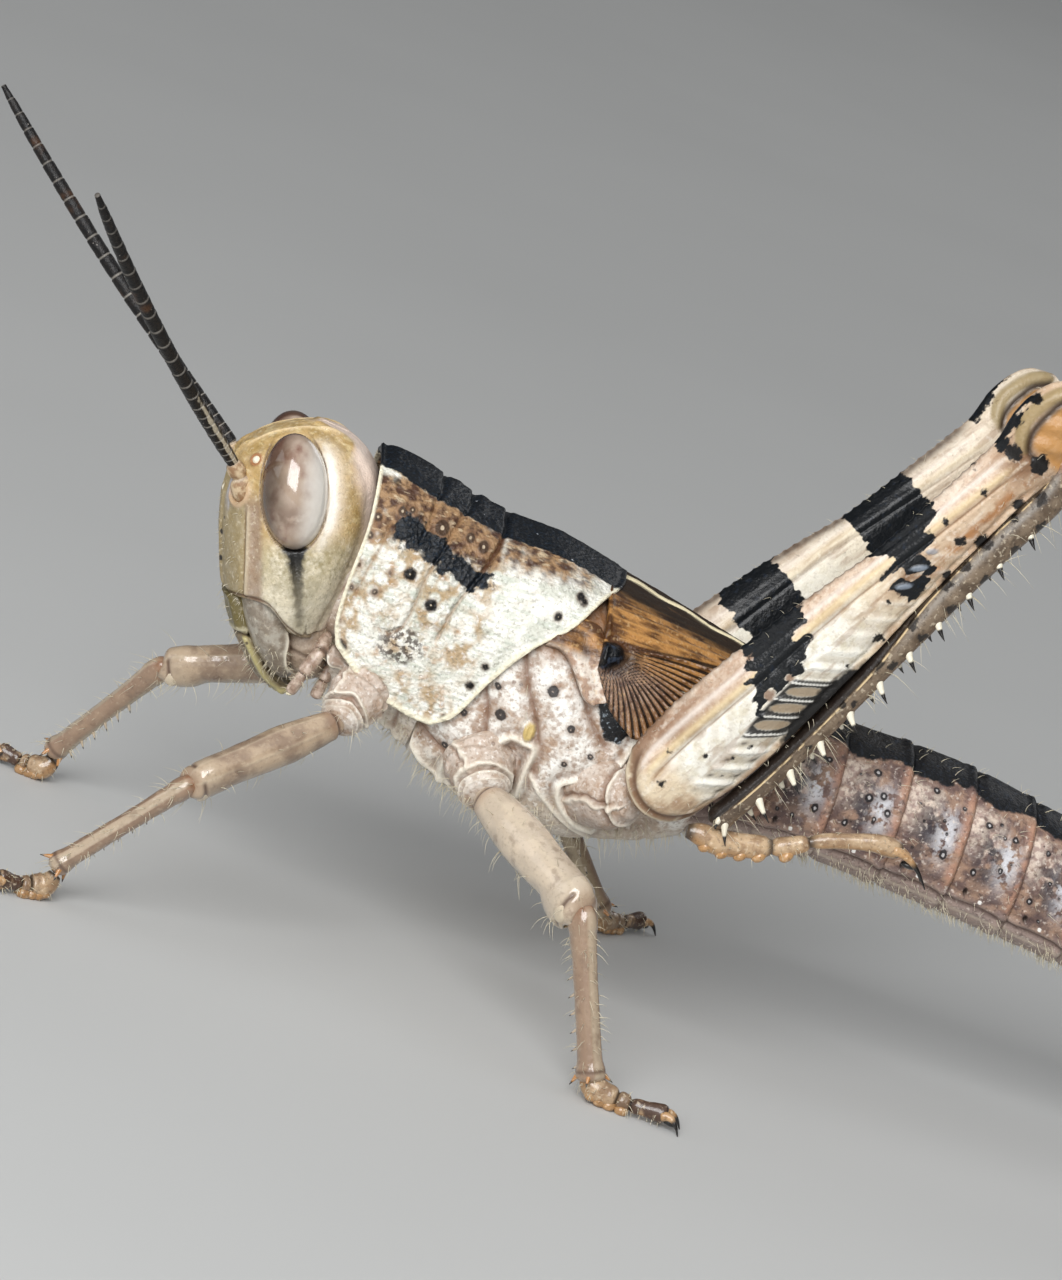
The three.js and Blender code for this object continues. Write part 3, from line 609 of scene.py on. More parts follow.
BLACK_DOTS = [(-4.63, 14.87, 0.3), (-4.21, 13.55, 0.2), (-3.24, 12.79, 0.2),
              (-5.65, 10.49, 0.2), (-1.16, 10.61, 0.14), (-0.9, 11.41, 0.12),
              (-1.6, 9.22, 0.14), (0.87, 13.76, 0.13), (1.45, 14.5, 0.13), (1.6, 14.4, 0.12)]
LOBE_CLOUD = (-3.75, 11.15, 0.75)
crest_band = curve((-6.1, 1.3), (-5.4, 1.45), (-4.6, 1.68), (-3, 1.72), (0, 1.86), (2.5, 1.95))


def saddle_angle(x, z):
    """Turn from the crest at which the pronotum passes through the height z."""
    reach = np.where(z >= SADDLE_MIDDLE, crest(x) - SADDLE_MIDDLE, SADDLE_DEEP)
    u = np.clip((z - SADDLE_MIDDLE) / reach, -1, 1)
    return np.arccos(np.sign(u) * np.abs(u) ** (SADDLE_POWER / 2))


def saddle_point(x, angle, side):
    """Point of the pronotum at a place along it and a turn from its crest."""
    u, v = (bent(way(angle), SADDLE_POWER) for way in (np.cos, np.sin))
    reach = np.where(u > 0, crest(x) - SADDLE_MIDDLE, SADDLE_DEEP)
    return vec(x, side * v * saddle_half(x), SADDLE_MIDDLE + u * reach)


def unrolled(corners, to_angle, arc, count):
    """A side-view line laid out on an unrolled arch: x, and millimetres from its top."""
    fine = smooth(corners, 300)
    return spaced(np.stack([fine[:, 0], to_angle(fine[:, 0], fine[:, 1]) * arc], -1), count)


def filled(front, lower, hind, upper):
    """Places between four lines: rows run from front to hind, columns from upper to lower."""
    p = np.linspace(0, 1, len(lower))[:, None, None]
    q = np.linspace(0, 1, len(front))[None, :, None]
    corners = ((1 - p) * (1 - q) * front[0] + p * (1 - q) * hind[0]
               + (1 - p) * q * front[-1] + p * q * hind[-1])
    between = (1 - q) * upper[:, None] + q * lower[:, None]
    return between + (1 - p) * front[None] + p * hind[None] - corners


def saddle_layout():
    """Unrolled places (x, mm from the crest) over one side, and their distance from the rim."""
    rows, columns = GRIDS["pronotum"]
    front, lower, hind = (unrolled(line, saddle_angle, SADDLE_ARC, count) for line, count in (
        (SADDLE_FRONT, columns), (SADDLE_LOWER, rows), (SADDLE_HIND, columns)))
    front[0, 1] = hind[0, 1] = 0
    upper = np.stack([np.linspace(front[0, 0], hind[0, 0], rows), np.zeros(rows)], -1)
    places = filled(front, lower, hind, upper)
    rim = np.concatenate([front, lower, hind[::-1]])[::6]
    return places, from_line(places[..., 0], places[..., 1], rim)


def pronotum():
    """The saddle behind the head: a keeled, pitted plate parted by three grooves."""
    places, edge = saddle_layout()
    x, angle = places[..., 0], places[..., 1] / SADDLE_ARC
    left, right = (saddle_point(x, angle, side) for side in (-1, 1))
    grid = np.concatenate([left[:, ::-1], right[:, 1:]], 1)
    edge = np.concatenate([edge[:, ::-1], edge[:, 1:]], 1)
    x, y, z = (grid[..., k] for k in range(3))
    groove = {name: from_line(x, z, smooth(line, 14)) for name, (_, line) in SULCI.items()}
    cut = np.max([hump(groove[name], 0, 0.1) for name in ("first", "second", "third")], 0)
    behind = ease(x, -1.5, -1.0)
    bumps, own = cells(grid, 0.42, 3)
    warts = ease(bumps, 0.26, 0.05) * ease(own, 0.2, 0.6)
    height = 0.17 * hump(y, 0, 0.16) * (1 - cut) + 0.045 * hump(edge, 0.06, 0.05)
    height -= 0.03 * hump(edge, 0.2, 0.08)
    height -= sum(deep * hump(groove[name], 0, 0.075) for name, (deep, _) in SULCI.items())
    height += 0.035 * warts * (1 - 0.6 * behind) * ease(edge, 0.15, 0.4)
    height += 0.03 * rough(grid, 0.9, 3, 5) + 0.012 * rough(grid, 0.22, 2, 8)
    height += 0.05 * hump(x, -4.9, 0.7) * ease(np.abs(y), 1.5, 3)
    height += 0.09 * hump(np.hypot(x + 3.2, (z - 14.4) * 0.8), 0, 0.5)
    height += 0.04 * ease(dots(x, z, BROWN_DOTS + BLACK_DOTS), 0.0, 0.16)
    outer = raised(grid, height, ring=False)
    thick = 0.14 + 0.2 * ease(edge, 0.0, 0.6)
    inner = grid - facing(grid, ring=False) * thick[..., None]
    band = crest_band(x) - np.abs(y)
    brown = ease(np.abs(y), 1.3, 1.9) * ease(z, 14.0, 14.9) * ease(x, -1.2, -1.6)
    wash = ease(np.abs(y), 1.5, 1.9) * ease(np.abs(y), 3.3, 2.5) * (1 - ease(x, -1.2, -1.6))
    brown = np.maximum(brown, 0.85 * wash * ease(x, 3.3, 0.5))
    cloud = LOBE_CLOUD[2] - np.hypot(x - LOBE_CLOUD[0], (z - LOBE_CLOUD[1]) * 1.3)
    band = np.where(z > 13.5, band, OUTSIDE)
    pips = [(px, pz, 0.25 * radius) for px, pz, radius in BROWN_DOTS + BLACK_DOTS]
    grain = 0.12 - np.hypot(np.hypot(x + 6.08, (np.abs(y) - 0.94)), z - 16.35)
    shell = Shell()
    shell.plate(outer, inner, ink=band, blot=inside(x, z, BLOTCH),
                brown=brown, dark=dots(x, z, BLACK_DOTS), spot=dots(x, z, BROWN_DOTS), cloud=cloud,
                pip=dots(x, z, pips), rim=ease(edge, 0.15, 0.07) * ease(band, 0.1, -0.1),
                seam=np.max([hump(g, 0, 0.05) for g in groove.values()], 0),
                net=ease(bumps, 0.14, 0.26), front=1 - behind, orange=grain,
                third=hump(groove["third"], 0, 0.09) * ease(z, 13.9, 14.5))
    return shell.make("pronotum_plate", pronotum_paint(), "pronotum", "pronotum")


def pronotum_paint():
    paint = Paint("pronotum_horn", IOR=1.4)
    around = paint.times(paint.freckles(0.8, 0.7, 0.3), "front")
    smoke = paint.times(paint.edge("cloud", 0.5, 0.3, 0.2, 5.0), paint.clouds(0.17, 0.44, 0.56, 3.0))
    speckled_dark = paint.times(paint.edge("blot", 0.85, 0.35, 0.4, 14.0), paint.clouds(0.14, 0.44, 0.56, 16.0))
    tan = paint.over(
        paint.blend("a3825f", "4f3527", 0.35, 0.4, 0.6, 7.0),
        ("d9c5a4", paint.clouds(0.3, 0.58, 0.66, 19.0, stretch=(0.6, 1.0, 2.0)), 0.6),
        ("2c1f19", paint.freckles(0.62, 0.55, 0.2), 0.85),
        ("e3d3b8", paint.freckles(0.62, 0.55, 0.05), 0.9))
    brown = paint.plus("brown", paint.scaled(paint.noise(0.4, 5.0, 9.0), 1.5, -0.75))
    # Blue-black of the crest band and blotch, with tiny pale specks painted on as glints.
    black = paint.over(paint.blend("0a0f15", "1a2633", 0.1, 0.5, 0.7, 8.0, 2.0),
                       ("c9ced6", paint.freckles(0.32, 0.22, 0.045), 0.8))
    ink = paint.edge("ink", 0.16, 0.25, 0.03, 6.0)
    base = paint.over(
        paint.blend("f2f0e6", "d2d3c6", 0.8, 0.44, 0.68),
        ("b4bdae", paint.clouds(0.34, 0.52, 0.62, 15.0, stretch=(0.4, 1.0, 2.4)), 0.45),
        ("a98755", paint.times("net", "front", paint.clouds(1.0, 0.38, 0.58, 4.0)), 0.8),
        ("a98558", around, 0.6),
        ("efe6d2", paint.times(paint.freckles(0.8, 0.7, 0.08), around), 0.7),
        ("b07f4a", paint.times("front", paint.clouds(0.45, 0.56, 0.72, 17.0, 4.0)), 0.6),
        *paint.grains("8f8a7c", "ffffff", 0.11, 0.5),
        (tan, paint.step(brown, 0.05, 0.95)),
        ("40322a", smoke, 0.85),
        ("2a1e18", speckled_dark, 0.85),
        ("8a6a50", paint.edge("spot", 0.16, 0.2, 0.12, 1.0), 0.75),
        ("2b1c13", paint.step("spot", 0.06, 0.13), 0.8),
        ("77604e", paint.step("dark", -0.11, 0.03), 0.7),
        ("14100e", paint.edge("dark", 0.12, 0.16, 0.05, 2.0)),
        ("d9c7ab", paint.step("pip", 0.0, 0.03), 0.75),
        ("94704c", "seam", 0.6),
        ("4b2a14", "third"),
        # black band and blotch, with their painted glints
        (black, ink),
        (black, paint.edge("blot", 0.5, 0.4, 0.06, 21.0)),
        ("b89a78", paint.times(paint.step("blot", -0.1, 0.0), paint.freckles(0.45, 0.35, 0.05)), 0.8),
        ("b8642a", paint.step("orange", 0.0, 0.05)),
        ("efe8cf", "rim"))
    pits = paint.times(paint.cells(0.16, "F1", 0.1).outputs["Distance"], 1.1)
    grain = paint.times(paint.plus(paint.noise(0.08, 3.0, 11.0), pits), paint.scaled(ink, -0.6, 1.0))
    return paint.finish(base, grain, 0.05, (0.2, 0.4, 0.2))


# ---------------------------------------------------------------- head
HEAD_UP = np.array([-math.sin(HEAD_LEAN), 0, math.cos(HEAD_LEAN)])
HEAD_FORE = np.array([-math.cos(HEAD_LEAN), 0, -math.sin(HEAD_LEAN)])
face_front = curve((-2.6, 1.6), (-1.6, 2.0), (-0.6, 2.15), (1.6, 2.12), (2.6, 1.84), (3.3, 1.6),
                   (3.85, 0.86), (4.1, 0), (4.22, -0.7))
skull_back = curve((-2.6, -1.5), (-1.4, -2.15), (0, -2.75), (1.5, -3.15), (2.4, -3.15),
                   (3.2, -2.76), (3.8, -2.15), (4.08, -1.6), (4.22, -1.3))
skull_half = curve((-2.6, 2.55), (-1.6, 2.8), (-0.4, 2.78), (1, 2.55), (2.4, 2.3), (3.2, 1.85),
                   (3.7, 1.4), (4.05, 0.8), (4.22, 0.25))
SKULL_LOW, SKULL_TOP = -2.6, 4.2
SKULL_WIDEST, SKULL_POWER = 0.47, 2.15
OCELLUS_RADIUS = 0.15
EYE_FORE, EYE_ACROSS, EYE_UP = -0.27, 2.0, 2.22
EYE_TILT = math.radians(12)  # outward lean of its upper end

# Suture between the face and the mouth parts, as height over the way forward.
mouth_suture = curve((-0.7, -2.75), (-0.3, -2.5), (0.03, -2.2), (0.53, -1.56), (0.93, -1.38),
                     (1.52, -1.37), (2.1, -1.5))
SOCKET = (1.43, 1.28, 2.0)  # of the feeler: forward, across and up
OCELLUS, MIDDLE_OCELLUS = (0.97, 1.36, 3.14), (1.98, 0, 1.9)
FACE_DOTS = [(0.62, 0.52, 0.1), (0.55, -0.4, 0.1), (0.85, 1.05, 0.06)]  # across, up, radius


def in_head(fore, across, up):
    """Places given in the head's own measures."""
    centre = np.array([HEAD_X, 0, HEAD_Z])
    fore, across, up = np.broadcast_arrays(fore, across, up)
    return (centre + fore[..., None] * HEAD_FORE + up[..., None] * HEAD_UP
            + vec(0, across, 0))


def head_lines(f, side, h):
    """How the places over the head lie to its seams, ridges, eyes and sockets."""
    suture = (h - mouth_suture(f)) * ease(f, -0.75, -0.5)
    mouth = f > -0.7
    socket, ocellus = (np.linalg.norm(vec(f - fore, side - across, h - up), axis=-1)
                       for fore, across, up in (SOCKET, OCELLUS))
    return SimpleNamespace(
        out=ease(side, 0.9, 1.4), rear=f - skull_back(h), socket=socket, ocellus=ocellus,
        ring=np.hypot((f - EYE_FORE) / EYE_LONG, (h - EYE_UP) / EYE_HIGH),
        suture=suture, mouth=mouth, groove=np.where(mouth, np.abs(suture), 9),
        furrow=from_line(f, h, [(-0.27, 0.4), (-0.36, -0.6), (-0.5, -2.3)]),
        carina=f - 1.37 + 0.03 * h,
        low_face=ease(h, -1.45, -1.2) * ease(h, 1.8, 1.3) * ease(side, 1.1, 1.5))


def head_relief(f, side, h, place, at):
    """Height of the head's ridges, sockets and seams, and of its fine grain."""
    costa = ease(f, 0.2, 0.8) * ease(h, 3.9, 3.4) * ease(h, -1.5, -1.2)
    height = -0.3 * ease(at.ring, 1.0, 0.9) * at.out + 0.018 * hump(at.ring, 1.05, 0.06) * at.out
    height += at.low_face * (0.08 * hump(at.carina, -0.12, 0.12) - 0.09 * hump(at.carina, 0.05, 0.06))
    height += costa * (0.09 * hump(side, 0.45, 0.1) - 0.06 * hump(side, 0, 0.3))
    height -= 0.12 * hump(at.groove, 0, 0.06) + 0.8 * ease(-at.suture, 0.02, 0.4) * at.mouth
    height -= 0.07 * hump(at.furrow, 0, 0.16) * ease(h, 0.5, 0.1)
    height += 0.06 * hump(np.hypot(f - 0.55, (h + 0.55) * 0.6), 0, 0.35) * at.out
    height += 0.05 * hump(at.rear, 0.25, 0.14) - (0.02 + 0.03 * ease(h, 1, 0)) * hump(at.rear, 0.48, 0.1)
    height += 0.08 * hump(at.socket, 0.46, 0.09) - 0.2 * ease(at.socket, 0.42, 0.3)
    height += 0.05 * hump(at.ocellus, 0.2, 0.06)
    height += 0.05 * hump(side, 0.62, 0.06) * ease(h, 3.3, 3.7) * ease(f, -2.2, -1.6)
    height -= 0.03 * hump(side, 0, 0.05) * ease(f, 0, -0.5)
    height -= 0.05 * hump(np.hypot(f - 0.9, side * 0.6), 0, 0.35) * ease(h, 3.2, 3.6)
    height += 0.02 * rough(place, 0.5, 3, 21) + 0.006 * rough(place, 0.14, 2, 22)
    return height


def head_marks(f, side, h, at):
    """What the head's paint reads."""
    polar = np.degrees(np.arctan2(h - EYE_UP, EYE_FORE - f))  # 0 straight behind the eye
    window = ease(polar, -80, -35) * ease(polar, 80, 25) * (f < EYE_FORE)
    width = np.interp(h, [-2.2, -0.5, 0.1, 0.5], [0.08, 0.2, 0.28, 0.42])
    strip = np.interp(h, [-2, 0.5, 1.5, 2.5, 3.2, 3.6], [0.45, 0.5, 0.8, 1.15, 0.8, 0.2])
    # Pale blue-grey painted highlight along a groove beside the feeler socket.
    gloss = from_line(f, h, [(1.86, 2.35), (1.78, 1.5)])
    return dict(
        cream=np.clip(hump(at.ring, 1.12, 0.15) * window * at.out, 0, 1),
        pale=hump(at.ring, 1.25, 0.28) * window * at.out, lilac=ease(at.rear, strip, 0.4 * strip),
        ink=np.where(h < 0.5, width - at.furrow, OUTSIDE), fade=ease(h, -2.3, 0.3),
        seam=hump(at.groove, 0, 0.05) + 0.7 * at.low_face * hump(at.carina, 0.05, 0.025),
        keel=at.low_face * hump(at.carina, -0.09, 0.07), face=ease(f, 1.28, 1.42) * ease(h, 3.2, 2.2),
        strip=ease(f, 0.65, 0.95) * ease(h, 2.4, 1.6), orbit=hump(at.ring, 1.0, 0.02) * at.out,
        # lip: the head below the mouth suture, in the mouth parts' grey-brown, darkened as painted shade
        # under the jaw
        lip=ease(-at.suture, 0.02, 0.2) * at.mouth, socket=ease(at.socket, 0.6, 0.48),
        button=ease(at.socket, 0.34, 0.26), stud=ease(at.ocellus, 0.27, 0.2),
        eyebrow=hump(side, 0.62, 0.07) * ease(h, 3.3, 3.7),
        cheek=ease(h, 1.1, 0.0) * ease(f, 1.05, 0.75) * at.out, jowl=ease(h, 0.1, -1.8) * at.out,
        spot=np.where(f > 1.4, dots(side, h, FACE_DOTS), OUTSIDE),
        gloss=hump(gloss, 0, 0.17) * ease(side, 0.6, 0.75) * ease(side, 1.15, 1.05))


def head():
    """The head capsule: brow, face ridges, cheeks and the sockets of eyes and feelers."""
    rows, columns = GRIDS["skull"]
    h = even(SKULL_LOW, SKULL_TOP, rows, face_front, skull_back, skull_half)
    middle = skull_back(h) + SKULL_WIDEST * (face_front(h) - skull_back(h))
    grid = rings(vec(middle, 0, h), X_AXIS, Y_AXIS, face_front(h) - middle,
                 middle - skull_back(h), skull_half(h), turns(columns), SKULL_POWER)
    f, y, h = (grid[..., k] for k in range(3))
    side, place = np.abs(y), in_head(f, y, h)
    at = head_lines(f, side, h)
    grow(place, 90, ease(f, 1.2, 1.7) * ease(h, 2.5, 1.5), (0.08, 0.22), -HEAD_UP)
    shell = Shell()
    shell.sheet(raised(place, head_relief(f, side, h, place, at)), **head_marks(f, side, h, at))
    fore, across, up = OCELLUS
    for place in ((fore, -across, up), (fore, across, up), MIDDLE_OCELLUS):
        shell.sheet(ball(in_head(*place), OCELLUS_RADIUS, np.eye(3), "ocellus"), bead=1.0)
    return shell.make("head_capsule", head_paint(), "horn", "head")


def head_paint():
    paint = Paint("head_horn", IOR=1.5)
    flecks = paint.times(paint.clouds(0.16, 0.34, 0.7, 33.0, 5.0), paint.clouds(0.8, 0.34, 0.62, 34.0))
    cheek = paint.over(paint.blend("9a8e6c", "bbad8a", 0.5, 0.4, 0.62, 32.0), ("e6dcc4", flecks, 0.85))
    cream = paint.plus("cream", paint.scaled(paint.noise(0.3, 5.0, 35.0), 0.8, -0.4))
    stripe = paint.times(paint.edge("ink", 0.2, 0.25, 0.1, 5.0), paint.scaled("fade", 0.6, 0.4))
    dusky = paint.mix("2f291d", "0c0b0a", paint.step("fade", 0.5, 0.95))
    base = paint.over(
        paint.blend("c1a26d", "a68953", 0.6, 0.38, 0.66),
        ("dcc795", paint.clouds(0.3, 0.5, 0.66, 31.0, 4.0, (1.0, 1.0, 2.2)), 0.6),
        ("ecdcc6", "pale", 0.75),
        (cheek, "cheek"),
        ("dcd6c6", "jowl", 0.45),
        ("8f7866", "strip", 0.85),
        ("97875f", "face", 0.85),
        *paint.grains("6b5937", "efe3c6", 0.1, 0.32),
        ("fdf8ee", paint.step(cream, -0.1, 1.0), 0.95),
        ("ecd8cc", "lilac", 0.85),
        # grey-brown of the mouth parts, darkened as painted shade under the jaw
        ("7f7168", "lip"),
        ("e3d4b6", "keel", 0.6),
        # painted highlight beside the feeler socket
        ("c3c6d6", "gloss", 0.8),
        ("c9a988", "socket", 0.7),
        ("a07b55", "button", 0.8),
        ("9a5f3a", "stud", 0.8),
        ("e8d2ab", "eyebrow", 0.6),
        ("5e3d28", "seam", 0.85),
        ("5a4028", "orbit", 0.9),
        ("5f573a", paint.edge("ink", 0.35, 0.35, 0.4, 7.0), 0.6),
        (dusky, stripe),
        ("241d16", paint.edge("spot", 0.03, 0.1, 0.03, 2.0)),
        ("54422f", paint.times(paint.freckles(0.6, 0.3, 0.07), "strip"), 0.75),
        ("f3ead2", "bead"))
    grain = paint.plus(paint.noise(0.07, 2.0, 2.0), paint.noise(0.25, 3.0, 6.0))
    return paint.finish(base, grain, 0.025, paint.scaled(paint.noise(0.4, 2.0, 8.0), 0.25, 0.24))


def eye(name):
    """A glossy oval dome with a thin dark rim where it meets the head."""
    side = SIDES[name]
    tilt = EYE_TILT * side
    lean = np.array([[math.cos(HEAD_LEAN), 0, math.sin(HEAD_LEAN)], [0, 1, 0],
                     [-math.sin(HEAD_LEAN), 0, math.cos(HEAD_LEAN)]])
    roll = np.array([[1, 0, 0], [0, math.cos(tilt), math.sin(tilt)],
                     [0, -math.sin(tilt), math.cos(tilt)]])
    centre = in_head(EYE_FORE, side * EYE_ACROSS, EYE_UP)
    local = globe("eye")
    grid = centre + (local * [EYE_LONG, EYE_DEEP, EYE_HIGH]) @ (roll @ lean)
    rest = np.hypot(local[..., 0], local[..., 2])
    shell = Shell()
    shell.sheet(grid, rear=local[..., 0], level=local[..., 2], rim=ease(rest, 0.975, 0.997))
    return shell.make(f"eye_{name}_dome", eye_paint(), "eye", f"eye_{name}")


@cache
def eye_paint():
    paint = Paint("eye_glass", Roughness=0.13, IOR=1.5, Coat_Weight=0.8, Coat_Roughness=0.05)
    drift = paint.scaled("level", -0.2, paint.scaled(paint.noise(0.6, 3.0, 3.0), 0.5, -0.25))
    rear = paint.plus("rear", drift)
    belt = paint.step(paint.math("ABSOLUTE", paint.plus("level", 0.42)), 0.3, 0.05)
    belt = paint.times(belt, paint.clouds(0.5, 0.4, 0.56, 6.0, 4.0), paint.step("rear", 0.4, -0.1))
    base = paint.over(
        paint.mix("ae9a88", "744b3c", paint.clouds(0.9, 0.42, 0.64, 4.0, 4.0, (1.2, 1.2, 0.8))),
        ("e9e5dd", paint.step(rear, 0.0, 0.8), 0.94),
        ("3f2f1c", paint.step(rear, -0.05, -0.8), 0.88),
        ("5e4334", belt, 0.55),
        ("66453a", paint.step(paint.math("SUBTRACT", "level", "rear"), 0.6, 1.7), 0.75),
        ("5f5145", paint.step("level", -0.75, -1.1), 0.8),
        ("4a2f22", "rim", 0.9))
    return paint.finish(base, paint.cells(0.045).outputs["Distance"], 0.0015)


# ---------------------------------------------------------------- feelers
FEELER_TIPS = {"left": (-18.15, -10.6, 23.85), "right": (-21.65, 5.4, 23.6)}
FEELER_RADIUS = 0.27
FEELER_JOINTS = 24
FEELER_BOW = np.array([-0.22, 0, -0.12])
# Each (fore, across, up, radius) in the head's own measures.
SCAPE = [(1.2, 1.15, 1.75, 0.28), (1.42, 1.27, 2.0, 0.37), (1.5, 1.33, 2.4, 0.36),
         (1.56, 1.36, 2.6, 0.2)]
PEDICEL = [(1.54, 1.35, 2.55, 0.22), (1.62, 1.38, 2.73, 0.3), (1.75, 1.43, 3.0, 0.27),
           (1.8, 1.45, 3.1, 0.16)]
joint_length = curve((0, 0.5), (6, 0.75), (12, 1.2), (18, 1.1), (24, 0.8))


def feeler(name):
    """Scape, pedicel and a thread of tapering rings with pale joints."""
    side = SIDES[name]
    start = in_head(1.78, side * 1.45, 3.1)
    tip = np.array(FEELER_TIPS[name])
    ends = total(joint_length(np.arange(FEELER_JOINTS)))
    ends = ends / ends[-1]
    rows, columns = GRIDS["feeler ring"]
    t = np.unique(np.concatenate([np.linspace(a, b, rows) for a, b in zip(ends[:-1], ends[1:])]))
    path = start + (tip - start) * t[:, None] + 4 * (t * (1 - t))[:, None] * FEELER_BOW
    along = unit(np.gradient(path, t, axis=0))
    sideward = unit(np.cross(along, (0, 0, 1)))
    upward = np.cross(sideward, along)
    slim = curve((0, 0.78), (0.08, 0.86), (0.35, 0.93), (0.7, 0.84), (0.93, 0.6), (1, 0.32))(t)
    number = np.clip(np.searchsorted(ends, t, side="right") - 1, 0, FEELER_JOINTS - 1)
    inside_joint = (t - ends[number]) / (ends[number + 1] - ends[number])
    flare = 0.97 + 0.05 * inside_joint - 0.12 * hump(inside_joint, 0, 0.06)
    reach = FEELER_RADIUS * slim * flare
    angle = turns(columns)
    grid = rings(path, upward, sideward, reach, reach, reach * 0.95, angle)
    near_end = np.minimum(inside_joint, 1 - inside_joint) * (ends[number + 1] - ends[number])
    pale = np.broadcast_to(hump(near_end, 0, 0.0012)[:, None], grid.shape[:2])
    stripe = hump(np.abs(angle[None] - np.pi * (1.5 if side < 0 else 0.5)), 0, 0.42)
    grid = raised(grid, 0.012 * rough(grid, 0.14, 2, 31))
    shell = Shell()
    shell.sheet(grid, pale=pale, stripe=stripe * ease(t, 0.38, 0.14)[:, None], far=t[:, None] + 0 * pale)
    for corners in (SCAPE, PEDICEL):
        stations = [(in_head(fore, side * across, up), reach, reach) for fore, across, up, reach in corners]
        body, along_it, _ = limb(stations, "feeler root")
        shell.sheet(body, base=1.0, pale=0.6 * ease(along_it, 0.85, 0.95))
    return shell.make(f"feeler_{name}", feeler_paint(), "feeler", f"antenna_{name}")


@cache
def feeler_paint():
    paint = Paint("feeler_horn", Roughness=0.4, IOR=1.4)
    stripe = paint.plus("stripe", paint.scaled(paint.noise(0.3, 4.0, 6.0), 1.3, -0.65))
    base = paint.over(
        paint.blend("070607", "1a1512", 0.12, 0.45, 0.65, 0.0, 3.0),
        ("6b4526", paint.clouds(0.9, 0.56, 0.72, 5.0), 0.4),
        ("a59d96", paint.freckles(0.13, 0.35, 0.028), 0.7),
        (paint.blend("cdb695", "947455", 0.25, 0.4, 0.6, 3.0), "base"),
        ("c8bda6", paint.step(stripe, 0.35, 0.7), 0.85),
        ("b5aea4", paint.times("pale", paint.scaled("far", -0.5, 0.75))))
    return paint.finish(base, paint.noise(0.05, 2.0, 7.0), 0.025)


# ---------------------------------------------------------------- trunk
trunk_top = curve((-6.4, 14.9), (-2.6, 14.9), (1, 14.7), (3, 14.3), (5, 13.85), (7.5, 13.25),
                  (9.5, 12.8), (12, 12.4), (16, 12.2), (20, 11.5), (24, 10.6), (28, 9.4), (31, 8.3))
trunk_bottom = curve((-6.4, 8.6), (-3.6, 7.75), (-2, 7.05), (-0.5, 6.35), (2, 6.1), (4.6, 6.25),
                     (7.8, 7.25), (10, 7.6), (13, 7.5), (16, 7.2), (20, 6.75), (24, 6.2),
                     (28, 5.6), (31, 5.6))
trunk_half = curve((-6.4, 2.1), (-3.6, 2.3), (-2.4, 2.55), (-1, 3.15), (0.5, 3.7), (3, 4.0),
                   (5, 3.85), (7.5, 3.2), (9.5, 2.75), (12, 2.45), (16, 2.35), (20, 2.25),
                   (24, 2.05), (28, 1.65), (31, 0.95))
trunk_power = curve((-6, 2.3), (0, 2.7), (5, 2.7), (9, 2.4), (30, 2.2))

# Grooves and ridges of the side wall, seen from the side.
WALL_GROOVES = [
    [(-0.59, 10.6), (-0.34, 9.95), (-0.18, 9.2), (-0.17, 8.68)],
    [(0.0, 12.7), (0.29, 12.13), (0.67, 11.23), (1.18, 10.4), (1.51, 9.69), (1.65, 9.03), (1.72, 8.3)],
    [(1.2, 13.6), (1.38, 13.27), (1.88, 12.42), (2.54, 11.45), (3.14, 10.62), (3.73, 10.12)],
    [(-2.3, 8.6), (-1.6, 8.15), (-1.0, 7.9)],
]
MID_ARCH = [(-0.82, 6.73), (-0.99, 7.41), (-0.77, 7.97), (0.15, 8.77), (0.69, 9.38),
            (1.2, 9.32), (1.57, 9.26), (1.5, 8.41), (1.55, 7.41)]
HIND_ARCH = [(4.43, 6.88), (3.76, 7.09), (2.96, 7.69), (2.73, 8.32), (3.07, 8.57), (3.63, 8.94),
             (4.36, 9.44), (4.7, 10.64)]
STERNUM_LINES = [[(-2.2, 7.9), (-1.3, 7.1), (-0.4, 6.75), (0.5, 6.9)],
                 [(1.71, 8.32), (2.71, 7.47), (3.72, 6.9), (4.5, 6.54)]]
WALL_DOTS = [(-0.97, 9.6, 0.17), (0.14, 10.0, 0.25), (-0.22, 10.88, 0.18), (1.5, 11.35, 0.25),
             (2.46, 10.33, 0.19), (2.63, 9.12, 0.16), (-1.2, 8.2, 0.18), (-0.58, 8.61, 0.17),
             (3.37, 9.63, 0.16), (0.45, 11.2, 0.12), (2.75, 11.4, 0.14)]
LAPPET = [(-5.8, 10.23), (-5.89, 9.76), (-5.71, 9.53), (-4.89, 9.57), (-5.09, 9.87)]
WALL_BLACK = [(2.75, 12.7), (3.05, 12.5), (3.5, 11.5), (4.0, 11.2), (4.4, 10.75), (4.15, 10.25),
              (3.6, 10.35), (3.25, 10.9), (3.05, 11.5)]


def trunk(x, angle, swell=0.0):
    """Points of the trunk at places along it and turns round it, swollen by some millimetres."""
    middle = (trunk_top(x) + trunk_bottom(x)) / 2
    reach = (trunk_top(x) - trunk_bottom(x)) / 2
    u, v = (bent(way(angle), trunk_power(x)) for way in (np.cos, np.sin))
    return vec(x, v * (trunk_half(x) + swell), middle + u * (reach + swell))


def trunk_angle(x, z, swell):
    """Turn from the top at which the swollen trunk passes through the height z."""
    middle = (trunk_top(x) + trunk_bottom(x)) / 2
    u = np.clip((z - middle) / ((trunk_top(x) - trunk_bottom(x)) / 2 + swell), -1, 1)
    return np.arccos(np.sign(u) * np.abs(u) ** (trunk_power(x) / 2))


def even_turns(count, power, high, wide):
    """Turns at which the points of a superellipse are evenly spaced."""
    fine = np.linspace(0, 2 * np.pi, 20001)
    at = total(np.hypot(np.diff(high * bent(np.cos(fine), power)),
                        np.diff(wide * bent(np.sin(fine), power))))
    return np.interp(np.linspace(0, at[-1], count, endpoint=False), at, fine)


